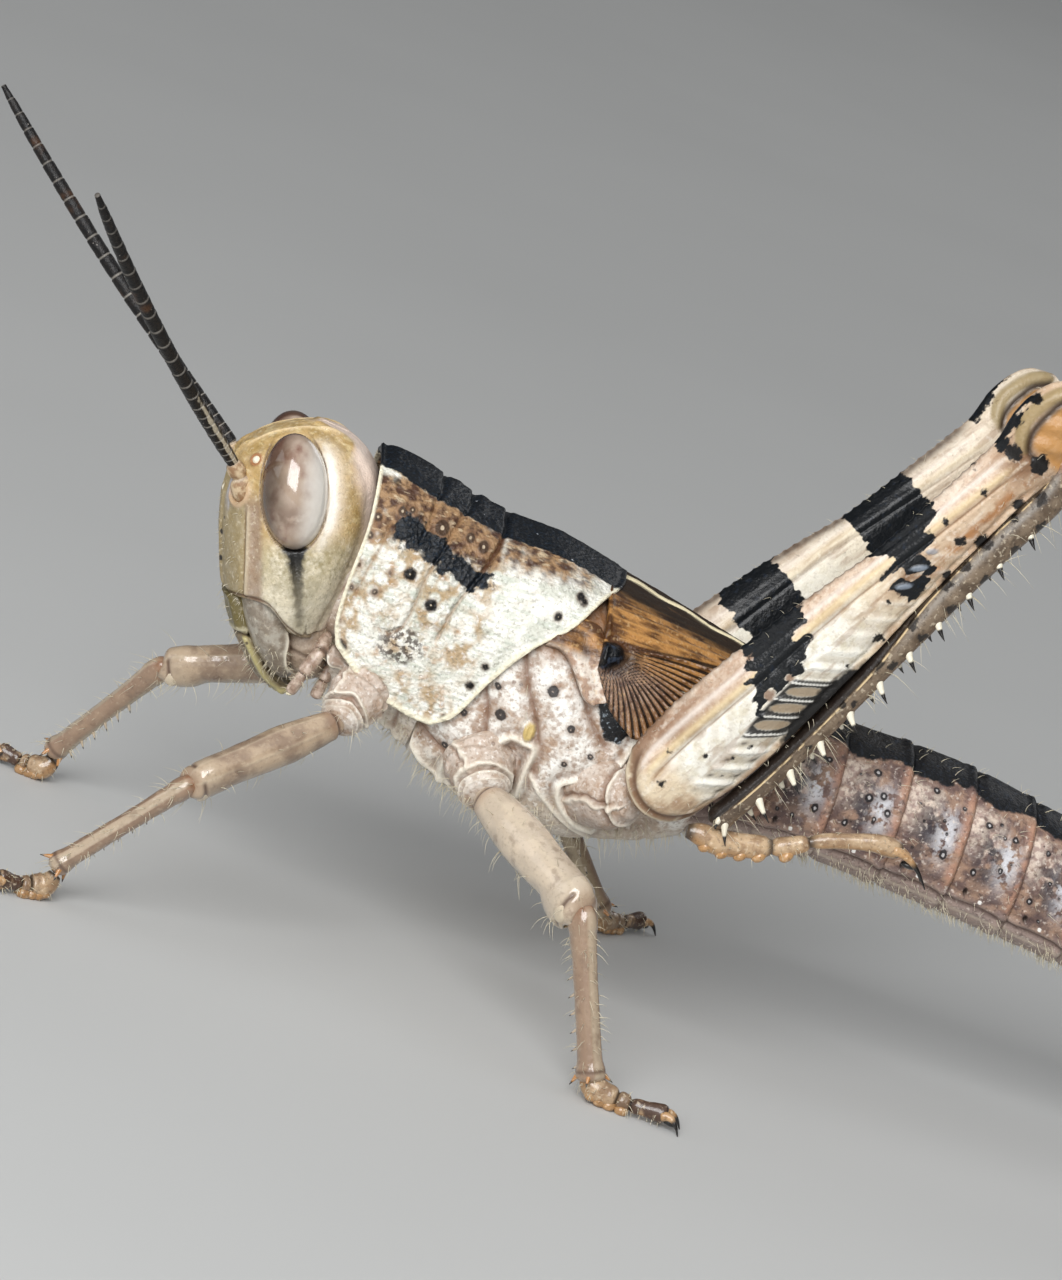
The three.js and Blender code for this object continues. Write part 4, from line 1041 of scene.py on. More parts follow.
def thorax():
    """Middle and hind parts of the thorax: pillowy plates between grooves and ridges."""
    rows, columns = GRIDS["wall"]
    grid = trunk(np.linspace(-2.15, 7.4, rows)[:, None], even_turns(columns, 2.7, 4.3, 3.9)[None])
    x, y, z = (grid[..., k] for k in range(3))
    side = ease(np.abs(y), 1.0, 1.8)
    groove = np.min([from_line(x, z, smooth(line, 14)) for line in WALL_GROOVES], 0)
    arch = np.minimum(from_line(x, z, smooth(MID_ARCH, 30)), from_line(x, z, smooth(HIND_ARCH, 30)))
    edge = np.min([from_line(x, z, smooth(line, 10)) for line in STERNUM_LINES], 0)
    mid_pit = inside(x, z, MID_ARCH)
    hind_pit = inside(x, z, HIND_ARCH + [(6.5, 10.2), (6.5, 6.9)])
    pit = ease(np.maximum(mid_pit, hind_pit), 0.02, 0.35)
    folds = np.sin(3.2 * (x + 1.6 * noise(grid, 1.1, 41)) + 5.5 * z)
    spiracle = np.hypot((x - 1.19) / 0.2, (z - 9.76) / 0.34)
    height = 0.15 * ease(np.minimum(groove, arch), 0.05, 0.75) * (1 - pit)
    height -= 0.1 * hump(groove, 0, 0.075)
    height += 0.17 * hump(arch, 0, 0.13) + 0.12 * hump(edge, 0, 0.08)
    height += pit * (-0.3 + 0.07 * folds)
    height += 0.14 * ease(spiracle, 1.1, 0.7) - 0.12 * hump(spiracle, 1.25, 0.2)
    height -= 0.08 * hump((x - 1.19), 0, 0.035) * ease(spiracle, 0.8, 0.6)
    low = ease(z, 8.2, 7.4)
    height += 0.05 * low * np.sin(2.2 * x) * (1 - pit)
    height += side * (0.035 * rough(grid, 0.8, 3, 42) + 0.01 * rough(grid, 0.2, 2, 43))
    under = ease(z, 8.3, 6.9) + 0.04 * side
    grow(grid, 620, under * ease(z, 14, 13), (0.25, 0.75), (0.3, 0, -1))
    shell = Shell()
    shell.sheet(raised(grid, height * side), spot=dots(x, z, WALL_DOTS), seam=hump(groove, 0, 0.08),
                ridge=np.maximum(hump(arch, 0, 0.11), hump(edge, 0, 0.07)), flesh=0.8 * pit,
                ink=inside(x, z, WALL_BLACK), low=low, yolk=ease(spiracle, 1.05, 0.85),
                # the top of the wall, above z 12.1, is painted brown as the shadow under the pronotum and
                # pads
                shade=hump(arch, 0.26, 0.1), umber=ease(z, 12.1, 12.7), border=ease(groove, 0.42, 0.06),
                pip=dots(x, z, [(px, pz, 0.06) for px, pz, _ in WALL_DOTS]))
    return shell.make("thorax_wall", wall_paint(), "pleura", "pterothorax")


@cache
def wall_paint():
    paint = Paint("wall_horn", IOR=1.5)
    net = paint.step(paint.cells(0.34, "DISTANCE_TO_EDGE", 0.14).outputs["Distance"], 0.24, 0.02)
    # Black patch, flecked with pale blue-grey painted highlights.
    speckled_dark = paint.mix("0d1015", "9aa6b0", paint.times(paint.clouds(0.16, 0.56, 0.64, 7.0, 4.0), 0.6))
    base = paint.over(
        paint.blend("f1eee7", "b69e89", 0.7, 0.38, 0.64),
        ("f8f6f0", paint.times(net, paint.noise(0.5, 2.0, 5.0))),
        ("8f6c50", paint.clouds(0.26, 0.46, 0.64, 6.0, 5.0), 0.6),
        ("93735c", paint.times("border", paint.clouds(0.5, 0.3, 0.56, 8.0, 4.0)), 0.7),
        ("cdbfac", "low", 0.65),
        ("a98b76", "flesh", 0.6),
        *paint.grains("86705d", "fffdf8", 0.12, 0.5),
        ("6e5343", paint.freckles(0.45, 0.5, 0.1), 0.6),
        ("d9cdbd", paint.freckles(0.45, 0.5, 0.03), 0.8),
        ("7c5b45", "seam", 0.8),
        ("7b5f4c", "shade", 0.5),
        ("7a6455", paint.edge("spot", 0.1, 0.25, 0.1, 1.5), 0.5),
        ("1d1a1c", paint.dot("spot", 0.05), 0.92),
        ("b5a396", paint.step("pip", 0.0, 0.03), 0.8),
        # painted shadow under the pronotum
        ("8a5c30", "umber", 0.85),
        # the black patch with its painted highlights
        (speckled_dark, paint.edge("ink", 0.3, 0.4, 0.06, 2.0)),
        ("f6efdf", "ridge", 0.85),
        ("cdb474", "yolk"))
    grain = paint.plus(paint.noise(0.1, 3.0, 11.0), paint.noise(0.35, 3.0, 13.0))
    return paint.finish(base, grain, 0.045, (0.3, 0.3, 0.25))


def breast():
    """Front ring of the thorax under the pronotum, with its peg between the fore legs."""
    rows, columns = GRIDS["breast"]
    grid = trunk(np.linspace(-5.6, -2.3, rows)[:, None], even_turns(columns, 2.4, 3.4, 2.3)[None])
    x, z = grid[..., 0], grid[..., 2]
    fold = from_line(x, z, [(-3.2, 10.5), (-3.0, 9.0), (-2.9, 7.0)])
    ridge = from_line(x, z, [(-5.2, 9.4), (-4.2, 8.7), (-3.3, 8.0), (-2.6, 7.6)])
    height = -0.1 * hump(fold, 0, 0.1) + 0.1 * hump(ridge, 0, 0.09) + 0.04 * rough(grid, 0.7, 3, 51)
    grow(grid, 150, ease(z, 9.5, 7.8), (0.25, 0.6), (0.2, 0, -1))
    shell = Shell()
    shell.sheet(raised(grid, height), seam=hump(fold, 0, 0.08), ridge=0.8 * hump(ridge, 0, 0.09),
                low=0.9)
    peg, along, _ = limb([((-3.9, 0, 8.6), 0.5, 0.5), ((-4.0, 0, 7.5), 0.42, 0.42),
                          ((-4.08, 0, 7.12), 0.26, 0.26), ((-4.1, 0, 7.04), 0.08, 0.08)], "peg", (1, 0, 0))
    shell.sheet(peg, low=0.7, ridge=0.5 * ease(along, 0.5, 1.0))
    rows, columns = GRIDS["lappet"]
    for side in SIDES.values():
        rim = spaced(np.array(LAPPET + LAPPET[:1]), columns + 1)[:-1]
        rim = (np.roll(rim, 2, 0) + rim + np.roll(rim, -2, 0)) / 3
        q = np.concatenate([np.linspace(0.04, 1, rows), [1.0, 0.04]])[:, None, None]
        flat = rim.mean(0) + (rim - rim.mean(0)) * q
        edge = from_line(flat[..., 0], flat[..., 1], np.concatenate([rim, rim[:1]]))
        out = 2.42 + 0.14 * ease(edge, 0.0, 0.16) + 0.03 * noise(vec(flat[..., 0], 0, flat[..., 1]), 0.3, 53)
        out[-2:] = 1.9
        shell.sheet(vec(flat[..., 0], side * out, flat[..., 1]), flesh=0.9, low=0.6,
                    ridge=ease(edge, 0.1, 0.03) * (flat[..., 1] < 9.9), shade=ease(edge, 0.08, 0.2))
    return shell.make("breast_plate", wall_paint(), "pleura", "prothorax")


def nape():
    """Folded skin between the head and the pronotum."""
    stations = [(in_head(-1.6, 0, 0.5), 1.85, 1.6), ((-6.1, 0, 12.0), 2.1, 1.8),
                ((-5.2, 0, 11.9), 2.2, 1.85)]
    grid, along, _ = limb(stations, "nape")
    pleat = np.sin(17 * along + 3 * noise(grid, 1.1, 61))
    shell = Shell()
    shell.sheet(raised(grid, 0.06 * pleat + 0.04 * rough(grid, 0.5, 3, 62)), flesh=0.6, low=0.8,
                seam=0.6 * ease(pleat, -0.3, -1.0))
    return shell.make("nape_skin", wall_paint(), "membrane", "neck")


# ---------------------------------------------------------------- wing pads
PAD_NEAR, PAD_FAR = 0.15, 0.7  # distances of a pad's two faces from the trunk
PAD_ARC = 5.0  # millimetres of surface to a radian
PAD_SEAM = 0.12
HIND_PAD_FRONT = [(2.6, 12.7), (3.4, 11.5), (4.4, 10.75)]
HIND_PAD_LOWER = [(4.4, 10.75), (6.2, 10.95), (8.2, 11.75), (9.6, 12.42)]
HIND_PAD_TOP = (2.35, 9.25)
FORE_PAD_UPPER = [(1.7, 14.1), (2.4, 13.95), (2.85, 13.2), (3.2, 12.1), (3.25, 11.7)]
FORE_PAD_LOWER = [(0.75, 12.95), (1.35, 12.95), (1.95, 12.35), (2.5, 11.6), (2.8, 11.45)]
PIVOT = (2.8, 13.45)  # the hind pad's ribs fan out from here
KNOB = (2.79, 13.19)
RIBS = 23
FAN_FROM, FAN_TO = -30, 100  # degrees round the pivot, from straight back towards down


def pad_places(corners, count):
    """A side-view line laid out on the unrolled trunk."""
    to_angle = lambda x, z: trunk_angle(x, z, PAD_FAR)
    return unrolled(corners, to_angle, PAD_ARC, count)


def seam_place(x):
    """Unrolled distance of the slit between the two pads from the middle line."""
    return PAD_ARC * np.arcsin((PAD_SEAM / (trunk_half(x) + PAD_FAR)) ** (trunk_power(x) / 2))


def hind_pad(name):
    """A broad ribbed triangle that hugs the trunk's side and ends in a blunt point."""
    side = SIDES[name]
    rows, columns = GRIDS["hind pad"]
    start, end = HIND_PAD_TOP
    top_front = np.array([[start, seam_place(start)], *pad_places(HIND_PAD_FRONT, 40)])
    top_front = spaced(np.stack([np.interp(np.linspace(0, 1, 300), np.linspace(0, 1, 41),
                                           top_front[:, k]) for k in range(2)], -1), columns)
    tip = pad_places([(9.72, 12.9), (9.6, 12.42)], 20)
    hind = spaced(np.concatenate([[[end, seam_place(end)]], tip]), columns)
    lower = pad_places(HIND_PAD_LOWER, rows)
    along = np.linspace(start, end, rows)
    upper = np.stack([along, seam_place(along)], -1)
    places = filled(top_front, lower, hind, upper)
    x, s = places[..., 0], places[..., 1]
    rim = np.concatenate([top_front, lower, hind[::-1], upper[::-1]])[::6]
    edge = from_line(x, s, rim)
    pivot, knob = (np.array([at, trunk_angle(at, z, PAD_FAR) * PAD_ARC]) for at, z in (PIVOT, KNOB))
    fan = np.degrees(np.arctan2(s - pivot[1], x - pivot[0]))
    reach = np.hypot(s - pivot[1], x - pivot[0])
    swept = np.clip((fan + 2.0 * np.sin(reach) - FAN_FROM) / (FAN_TO - FAN_FROM), 0, 1)
    rib = np.cos(2 * np.pi * RIBS * swept ** 1.2) * ease(reach, 0.55, 1.15)
    rib *= ease(fan, FAN_FROM, FAN_FROM + 8) * ease(fan, FAN_TO, FAN_TO - 8)
    above = ease(fan, FAN_FROM + 6, FAN_FROM - 4)
    vein = np.cos(2 * np.pi * (s + 0.25 * x) / 0.5) * above * ease(x, 2.6, 3.4)
    lump = np.hypot((x - knob[0] + 0.35 * (s - knob[1])) / 0.5, (s - knob[1]) / 0.58)
    lump += 0.12 * rough(vec(x, s, 0 * x), 0.35, 2, 72)
    height = 0.055 * rib + 0.03 * vein + 0.25 * ease(lump, 1.15, 0.5) - 0.05 * hump(lump, 1.4, 0.25)
    height += 0.07 * hump(edge, 0.08, 0.08) + 0.012 * rough(vec(x, s, 0 * x), 0.25, 3, 71)
    angle = s / PAD_ARC * side
    outer = trunk(x, angle, PAD_FAR - 0.06)
    inner = trunk(x, angle, PAD_NEAR + 0.25 * ease(edge, 0.4, 0.0))
    orange = ease(fan, 40, FAN_FROM) * ease(s, 0.7, 1.25)
    shell = Shell()
    shell.plate(raised(outer, height * ease(edge, 0.0, 0.06), ring=False), inner, rib=rib,
                vein=vein, knob=ease(lump, 1.2, 0.95), orange=np.clip(orange, 0, 1),
                dorsal=ease(s, 2.3, 1.2), rim=ease(edge, 0.13, 0.05) * ease(s, 0.9, 0.4),
                hub=ease(reach, 1.5, 0.7) * ease(fan, FAN_FROM, 5), tip=ease(reach, 1.8, 3.6))
    return shell.make(f"hind_pad_{name}", pad_paint(), "wing_pad", f"hindwing_pad_{name}")


def fore_pad(name):
    """The small strip in front of the hind pad, mostly under the pronotum."""
    rows, columns = GRIDS["fore pad"]
    upper, lower = pad_places(FORE_PAD_UPPER, rows), pad_places(FORE_PAD_LOWER, rows)
    q = np.linspace(0, 1, columns)[None, :, None]
    places = upper[:, None] * (1 - q) + lower[:, None] * q
    x, angle = places[..., 0], places[..., 1] / PAD_ARC * SIDES[name]
    outer, inner = trunk(x, angle, 0.5), trunk(x, angle, PAD_NEAR)
    across = q[..., 0] + 0 * x
    fold = np.sin(9 * across + 2 * noise(outer, 0.8, 76))
    height = 0.03 * rough(outer, 0.4, 3, 75) + 0.05 * fold * ease(across, 0, 0.1) * ease(across, 1, 0.9)
    high = ease(outer[..., 2], 12.6, 13.1)
    shell = Shell()
    shell.plate(raised(outer, height, ring=False), inner, orange=0.9 * high, flesh=1 - high,
                # the troughs of the folds are painted dark, as shade in the creases
                hub=0.5 * ease(fold, -0.4, -1.0) * high)
    return shell.make(f"fore_pad_{name}", pad_paint(), "wing_pad", f"forewing_pad_{name}")


@cache
def pad_paint():
    paint = Paint("pad_horn", IOR=1.4)
    streak = paint.noise(0.35, 4.0, 5.0, (0.22, 1.0, 1.0))
    amber = paint.over(paint.mix("b5834a", "4f3016", paint.step(streak, 0.42, 0.6)),
                       ("c18e50", paint.step("vein", 0.2, 0.9), 0.55))
    top = paint.times(paint.step("rib", 0.45, 0.95), paint.clouds(0.12, 0.42, 0.58, 3.0))
    base = paint.over(
        paint.blend("94765f", "5f473b", 0.3, 0.4, 0.62),
        ("a6743c", "tip", 0.6),
        (amber, "orange"),
        (paint.blend("e6dbce", "b0937f", 0.3, 0.42, 0.6, 4.0), "flesh"),
        *paint.grains("4a3220", "e0bd8a", 0.11, 0.35),
        ("150e0b", paint.step("rib", 0.05, -0.6), 0.93),
        ("bda698", top, 0.65),
        # dark hub of the hind pad's fan, its own colour; on the fore pad, painted shade in the fold troughs
        ("20140e", "hub", 0.8),
        ("140e0a", paint.times("dorsal", paint.step(streak, 0.1, 0.38)), 0.95),
        ("281910", paint.freckles(0.42, 0.35, 0.06), 0.8),
        ("e2d6b4", "rim"),
        (paint.blend("05070b", "2b3442", 0.25, 0.5, 0.65, 9.0), "knob"))
    shine = paint.scaled("dorsal", 0.45, paint.scaled(paint.noise(0.12, 2.0, 12.0), 0.35, 0.14))
    return paint.finish(base, paint.noise(0.09, 3.0, 11.0), 0.035, shine)


# ---------------------------------------------------------------- abdomen
RING_TUCK = 0.45  # how far each ring reaches under the one before it
RING_GAP = 0.05
RING_ARC = 0.042  # millimetres to a degree of turn
RING_SPOTS = [(0.42, 50), (0.22, 62), (0.6, 68), (0.34, 79), (0.64, 92), (0.25, 98), (0.5, 107), (0.8, 57),
              (0.75, 80)]  # share of a ring's length, and turn
ring_band = curve((7.5, 1.9), (12, 1.62), (16, 1.5), (20, 1.4), (26, 1.1), (30, 0.6))


def ring(i):
    """One abdominal ring: a tergite above a membrane fold and a sternite."""
    start, end = RING_ENDS[i], RING_ENDS[i + 1] - RING_GAP
    length = end - start
    rows, columns = GRIDS["ring"]
    x = np.concatenate([np.linspace(start - RING_TUCK, start, 5)[:-1], np.linspace(start, end, rows)])
    place = (x - start) / length
    angle = even_turns(columns, 2.3, 2.6, 2.5)[None]
    grid = trunk(x[:, None], angle)
    grid[:, :, 0] = x[:, None]
    t = place[:, None] + 0 * angle
    turn = from_top(angle) + 0 * t
    y = np.abs(grid[..., 1])
    back = ease(turn, 130, 126)
    fold = turn - 128 + 3 * np.sin(3.1 * t)
    height = -0.2 * ease(t, 0.02, -0.1) - 0.08 * ease(t, 0.16, 0.0)
    height += 0.07 * hump(t, 0.93, 0.07) - 0.06 * ease(t, 0.96, 1.0)
    height -= 0.13 * hump(fold, 0, 3.0) - 0.07 * hump(fold, -7, 3)
    height += 0.08 * hump(turn, 0, 4) * ease(t, 0, 0.2)
    height += 0.03 * rough(grid, 0.6, 3, 81 + i) * ease(t, 0.0, 0.2)
    height += 0.02 * back * np.cos(turn * 0.35) * ease(y, 1.4, 2.0)
    level = np.where(turn < 128, turn, 0)
    ear = 9.0
    if i == 0:
        ear = np.hypot((grid[..., 0] - 8.75) / 0.42, (grid[..., 2] - 11.1) / 0.72)
        height += 0.08 * hump(ear, 1.15, 0.15) - 0.2 * ease(ear, 1.0, 0.8)
    breath = np.hypot((t - 0.22) * length / 0.1, (turn - 112) / 4.5)
    height += 0.05 * hump(breath, 1.2, 0.35) - 0.06 * ease(breath, 0.8, 0.4)
    grow(grid, 240, ease(turn, 118, 150) + 0.12, (0.16, 0.42), (0.7, 0, -0.3))
    pick = np.random.default_rng(300 + i)
    spots = [(across + pick.uniform(-0.1, 0.1), at + pick.uniform(-5, 5), pick.uniform(0.08, 0.21))
             for across, at in RING_SPOTS]
    apart = [(radius, np.hypot((t - across) * length, (turn - at) * RING_ARC))
             for across, at, radius in spots]
    shell = Shell()
    shell.sheet(raised(grid, height), ink=ring_band(x)[:, None] + 0.12 * np.sin(6 * t) - y - 9 * (turn > 90),
                bar=hump(t, 0.93, 0.08) * ease(turn, 32, 45) * ease(turn, 122, 108),
                cream=ease(t, 0.62, 0.4) * ease(turn, 42, 52) * ease(turn, 92, 76),
                cloud=hump(t, 0.68, 0.17) * hump(level, 80, 17),
                smudge=hump(t, 0.4, 0.26) * hump(level, 80, 24),
                spot=np.max([radius - gap for radius, gap in apart], 0),
                pip=np.max([0.38 * radius - gap for radius, gap in apart], 0),
                low=ease(turn, 112, 126), seam=np.maximum(hump(fold, 0, 2.5), ease(t, 0.02, -0.1)),
                line=hump(turn, 137, 2.2), breath=ease(breath, 1.0, 0.7),
                hollow=ease(ear, 1.0, 0.85),
                drop=0.1 - np.hypot((t - 0.5) * length, (turn - 116) * RING_ARC))
    return shell.make(f"abdomen_ring_{i + 1}", ring_paint(), "abdomen", f"abdomen_{i + 1}")


@cache
def ring_paint():
    paint = Paint("ring_horn", IOR=1.4)
    base = paint.over(
        paint.blend("a1836f", "6c5650", 0.5, 0.4, 0.6),
        (paint.blend("d8c6b6", "a89085", 0.22, 0.42, 0.6, 2.0),
         paint.times("cream", paint.clouds(0.5, 0.36, 0.5, 3.0))),
        ("2d2c35", paint.times("smudge", paint.clouds(0.45, 0.4, 0.5, 5.0, 5.0)), 0.93),
        ("e2e3e8", paint.times("cloud", paint.clouds(0.35, 0.42, 0.5, 4.0, 5.0)), 0.9),
        ("b98c74", paint.times("bar", paint.clouds(0.5, 0.35, 0.55, 9.0)), 0.7),
        ("a4928a", "low", 0.85),
        *paint.grains("4b3a34", "ecdfd2", 0.12, 0.5),
        ("c9b9a8", "line", 0.8),
        ("352827", paint.freckles(0.32, 0.4, 0.055), 0.75),
        ("6a564f", paint.edge("spot", 0.1, 0.25, 0.08, 1.5), 0.5),
        ("18161a", paint.dot("spot", 0.04), 0.93),
        ("c9c6c6", paint.step("pip", 0.0, 0.025), 0.85),
        ("f1eee8", paint.step("drop", 0.0, 0.04)),
        ("5a453d", "seam", 0.8),
        ("4a3a34", "hollow", 0.6),
        ("2a1e1a", "breath"),
        (paint.blend("080a0f", "232a35", 0.12, 0.52, 0.7, 8.0), paint.edge("ink", 0.4, 0.55, 0.06, 6.0)))
    grain = paint.plus(paint.noise(0.09, 3.0, 11.0), paint.noise(0.3, 2.0, 13.0))
    return paint.finish(base, grain, 0.045, (0.25, 0.3, 0.28))


CERCUS = [(30.2, 1.25, 7.7, 0.34, 0.3), (31.0, 1.35, 7.75, 0.3, 0.27), (31.5, 1.32, 7.79, 0.2, 0.2),
          (31.62, 1.3, 7.8, 0.06, 0.06)]
VALVES = [[(29.9, 0.42, 6.0, 0.5, 0.42), (31.2, 0.33, 6.3, 0.42, 0.31), (31.85, 0.2, 6.68, 0.2, 0.16),
           (32.0, 0.15, 6.8, 0.06, 0.06)],
          [(29.9, 0.4, 5.6, 0.42, 0.38), (31.1, 0.3, 5.55, 0.35, 0.28), (31.65, 0.18, 5.36, 0.17, 0.14),
           (31.8, 0.14, 5.28, 0.06, 0.06)]]


def tail():
    """Last plates, a pair of cerci and two pairs of short pointed valves."""
    start = RING_ENDS[-1]
    place = curve((0, -0.4), (0.25, 0), (0.5, 0.5), (0.75, 1.0), (0.95, 1.35), (1, 1.4))
    share = curve((0, 0.9), (0.25, 0.97), (0.5, 0.86), (0.75, 0.62), (0.95, 0.3), (1, 0.1))
    rows, columns = GRIDS["tail"]
    t = np.linspace(0, 1, rows)
    x = start + 0.05 * t
    reach = (trunk_top(x) - trunk_bottom(x)) / 2 * share(t)
    centre = vec(start + place(t), 0, (trunk_top(x) + trunk_bottom(x)) / 2)
    angle = turns(columns)
    grid = rings(centre, Z_AXIS, Y_AXIS, reach, reach,
                 trunk_half(x) * share(t), angle, 2.2)
    turn = from_top(angle)[None] + 0 * grid[..., 0]
    seams = np.maximum(hump(turn, 52, 3), hump(turn, 108, 3)) * ease(t, 0.3, 0.5)[:, None]
    shell = Shell()
    shell.sheet(raised(grid, 0.03 * rough(grid, 0.4, 3, 91) - 0.1 * seams), seam=seams,
                ink=0.6 - np.abs(grid[..., 1]) - 9 * (turn > 90), low=ease(turn, 80, 120))
    shell.make("tail_plates", ring_paint(), "abdomen", "abdomen_tip")
    for name, side in SIDES.items():
        grid, along, _ = limb(mirrored(CERCUS, side), "cercus")
        shell = Shell()
        shell.sheet(raised(grid, 0.015 * rough(grid, 0.2, 2, 93)), low=0.4, ink=0.25 * (along - 0.75))
        shell.make(f"cercus_{name}_horn", ring_paint(), "abdomen", f"cercus_{name}")
    shell = Shell()
    for side in SIDES.values():
        for stations in VALVES:
            grid, along, _ = limb(mirrored(stations, side), "valve")
            shell.sheet(raised(grid, 0.015 * rough(grid, 0.25, 2, 95)), low=0.9, ink=0.5 * (along - 0.82))
    shell.make("tail_valves", ring_paint(), "abdomen", "valves")


# ---------------------------------------------------------------- walking legs
# Joints, as (x, distance from the middle plane, z).
LEGS = {
    "fore_left": dict(root=(-4.35, 2.55, 9.2), hip=(-5.0, 3.9, 8.15), knee=(-9.2, 6.4, 5.4),
                      ankle=(-12.6, 5.95, 1.2), toe=(-14.3, 6.65, 0.3), thick=1.0),
    "fore_right": dict(root=(-4.35, 2.55, 9.2), hip=(-5.0, 3.9, 8.15), knee=(-10.35, 5.1, 6.0),
                       ankle=(-13.0, 7.5, 1.15), toe=(-14.7, 8.2, 0.3), thick=1.0),
    "mid_left": dict(root=(0.0, 2.9, 8.2), hip=(0.4, 4.5, 7.35), knee=(3.95, 9.2, 5.95),
                     ankle=(5.95, 10.15, 0.75), toe=(8.65, 10.6, 0.3), thick=1.2),
    "mid_right": dict(root=(0.0, 2.9, 8.2), hip=(0.4, 4.5, 7.35), knee=(3.5, 9.1, 6.1),
                      ankle=(7.75, 9.5, 0.75), toe=(9.6, 11.3, 0.3), thick=1.2),
}


def joint(name, which):
    """Place of one of a walking leg's joints."""
    x, across, z = LEGS[name][which]
    return np.array([x, SIDES[name.split("_")[1]] * across, z])


def leg_frame(name):
    """The straight runs of a leg, and the way that the outer side of its knee faces."""
    hip, knee, ankle = (joint(name, which) for which in ("hip", "knee", "ankle"))
    thigh, shin = unit(knee - hip), unit(ankle - knee)
    thigh_up = unit(thigh * (shin @ thigh) - shin)
    shin_up = unit(thigh - shin * (shin @ thigh))
    return hip, knee, ankle, thigh_up, shin_up


def bar(start, end, profile, up, kind):
    """A straight limb: (place, half height, half width[, sag]) stations between two points."""
    stations = [(start + (end - start) * s[0] - up * (s[3] if len(s) > 3 else 0.0), s[1], s[2])
                for s in profile]
    return limb(stations, kind, up)


def hip_joint(name):
    """Coxa and trochanter, with the folds of skin round them."""
    thick = LEGS[name]["thick"]
    root, hip = joint(name, "root"), joint(name, "hip")
    profile = [(0, 1.02), (0.3, 1.0), (0.48, 0.93), (0.62, 0.86), (0.7, 0.73), (0.78, 0.74), (0.9, 0.68),
               (1.0, 0.57), (1.04, 0.38)]
    profile = [(t, r * thick, 0.97 * r * thick) for t, r in profile]
    grid, along, angle = bar(root, hip, profile, leg_frame(name)[3], "coxa")
    wander = rough(grid, 0.8, 3, 102)
    t = along + 0.07 * wander
    plate = np.abs(np.mod(angle + 0.9 + 0.45 * wander, 2 * np.pi) - np.pi) - 1.1
    second = np.abs(np.mod(angle - 0.9 + 0.45 * wander, 2 * np.pi) - np.pi) - 0.5
    coxa = ease(t, 0.68, 0.6)
    crease = hump(t, 0.7, 0.028) + coxa * (0.8 * hump(plate, 0, 0.06) + 0.6 * hump(second, 0, 0.07))
    ridge = coxa * (hump(plate, 0.19, 0.08) + 0.6 * hump(second, 0.2, 0.08)) + hump(t, 0.63, 0.03)
    ridge += 0.8 * hump(t, 0.79, 0.025) + 0.5 * hump(t, 0.9, 0.02)
    height = -0.13 * crease + 0.09 * ridge + 0.07 * rough(grid, 0.7, 3, 101)
    height += 0.05 * np.sin(26 * t + 3 * wander) * ease(along, 0.5, 0.3)
    low = ease(grid[..., 2], root[2], hip[2] - 0.5)
    grow(grid, 60, low * ease(along, 0.2, 0.4), (0.2, 0.55), (0, 0, -1))
    shell = Shell()
    shell.sheet(raised(grid, height), flesh=0.3 + 0.5 * coxa, seam=np.clip(crease, 0, 1),
                ridge=0.8 * np.clip(ridge, 0, 1), low=0.5, shade=0.6 * low)
    return shell.make(f"{name}_hip_joint", wall_paint(), "leg", f"{name}_coxa")


def thigh(name):
    """Femur of a walking leg, with the lobes and knobs of its knee."""
    thick = LEGS[name]["thick"]
    hip, knee, _, up, _ = leg_frame(name)
    lobe = 0.16 if name.startswith("mid") else 0.08
    profile = [(-0.02, 0.3, 0.3), (0.03, 0.5, 0.47), (0.09, 0.56, 0.52), (0.22, 0.66, 0.6),
               (0.4, 0.72, 0.66), (0.62, 0.68, 0.62), (0.76, 0.66, 0.6), (0.86, 0.7 + lobe, 0.62, lobe),
               (0.94, 0.66 + lobe, 0.6, 1.3 * lobe), (1.0, 0.5 + lobe, 0.5, 1.6 * lobe),
               (1.04, 0.3, 0.36, 2.3 * lobe), (1.06, 0.1, 0.15, 2.5 * lobe)]
    profile = [(p[0], p[1] * thick, p[2] * thick, *p[3:]) for p in profile]
    grid, along, angle = bar(hip, knee, profile, up, "thigh")
    side = np.abs(np.sin(angle))
    mouth = ease(along, 0.9, 0.985) * ease(np.cos(angle), 0.1, 0.9)
    slot = ease(along, 0.87, 0.96) * hump(side, 0, 0.4) * (np.cos(angle) < 0)
    cut = hump(along, 0.045, 0.012) + hump(along, 0.905, 0.012) * ease(side, 0.4, 0.7)
    keel = hump(np.abs(np.mod(angle, np.pi) - np.pi / 2), 1.05, 0.07) * ease(along, 0.1, 0.2)
    height = -0.06 * cut - 0.28 * mouth - 0.22 * slot + 0.022 * keel * ease(along, 0.85, 0.7)
    height += 0.05 * hump(along, 0.93, 0.04) * side + 0.02 * rough(grid, 0.5, 3, 111)
    grow(grid, 70, 0.15 + ease(np.cos(angle), -0.2, -0.8), (0.3, 0.85), knee - hip)
    shell = Shell()
    seam = cut + 0.9 * hump(along, 0.985, 0.02) * (np.cos(angle) > 0.1)
    shell.sheet(raised(grid, height), seam=np.clip(seam, 0, 1), knee=mouth,
                pale=ease(along, 0.75, 0.95) * 0.5 + 0.35 * ease(along, 0.1, 0.0) + 0.35 * keel,
                under=ease(np.cos(angle), -0.3, -0.9), speck=ease(along, 0.1, 0.3),
                cream=1.0 if name.startswith("mid") else 0.0,
                rust=hump(along, 0.93, 0.05) + hump(along, 0.06, 0.04))
    for turn in (-1, 1):
        across = unit(np.cross(knee - hip, up)) * turn
        centre = hip + (knee - hip) * 0.955 + across * 0.5 * thick - up * 0.25 * thick
        axes = [unit(knee - hip), up, across]
        knob = ball(centre, [0.26 * thick, 0.3 * thick, 0.13 * thick], axes, "knob")
        shell.sheet(knob, pale=1.0)
    return shell.make(f"{name}_thigh", leg_paint(), "leg", f"{name}_femur")


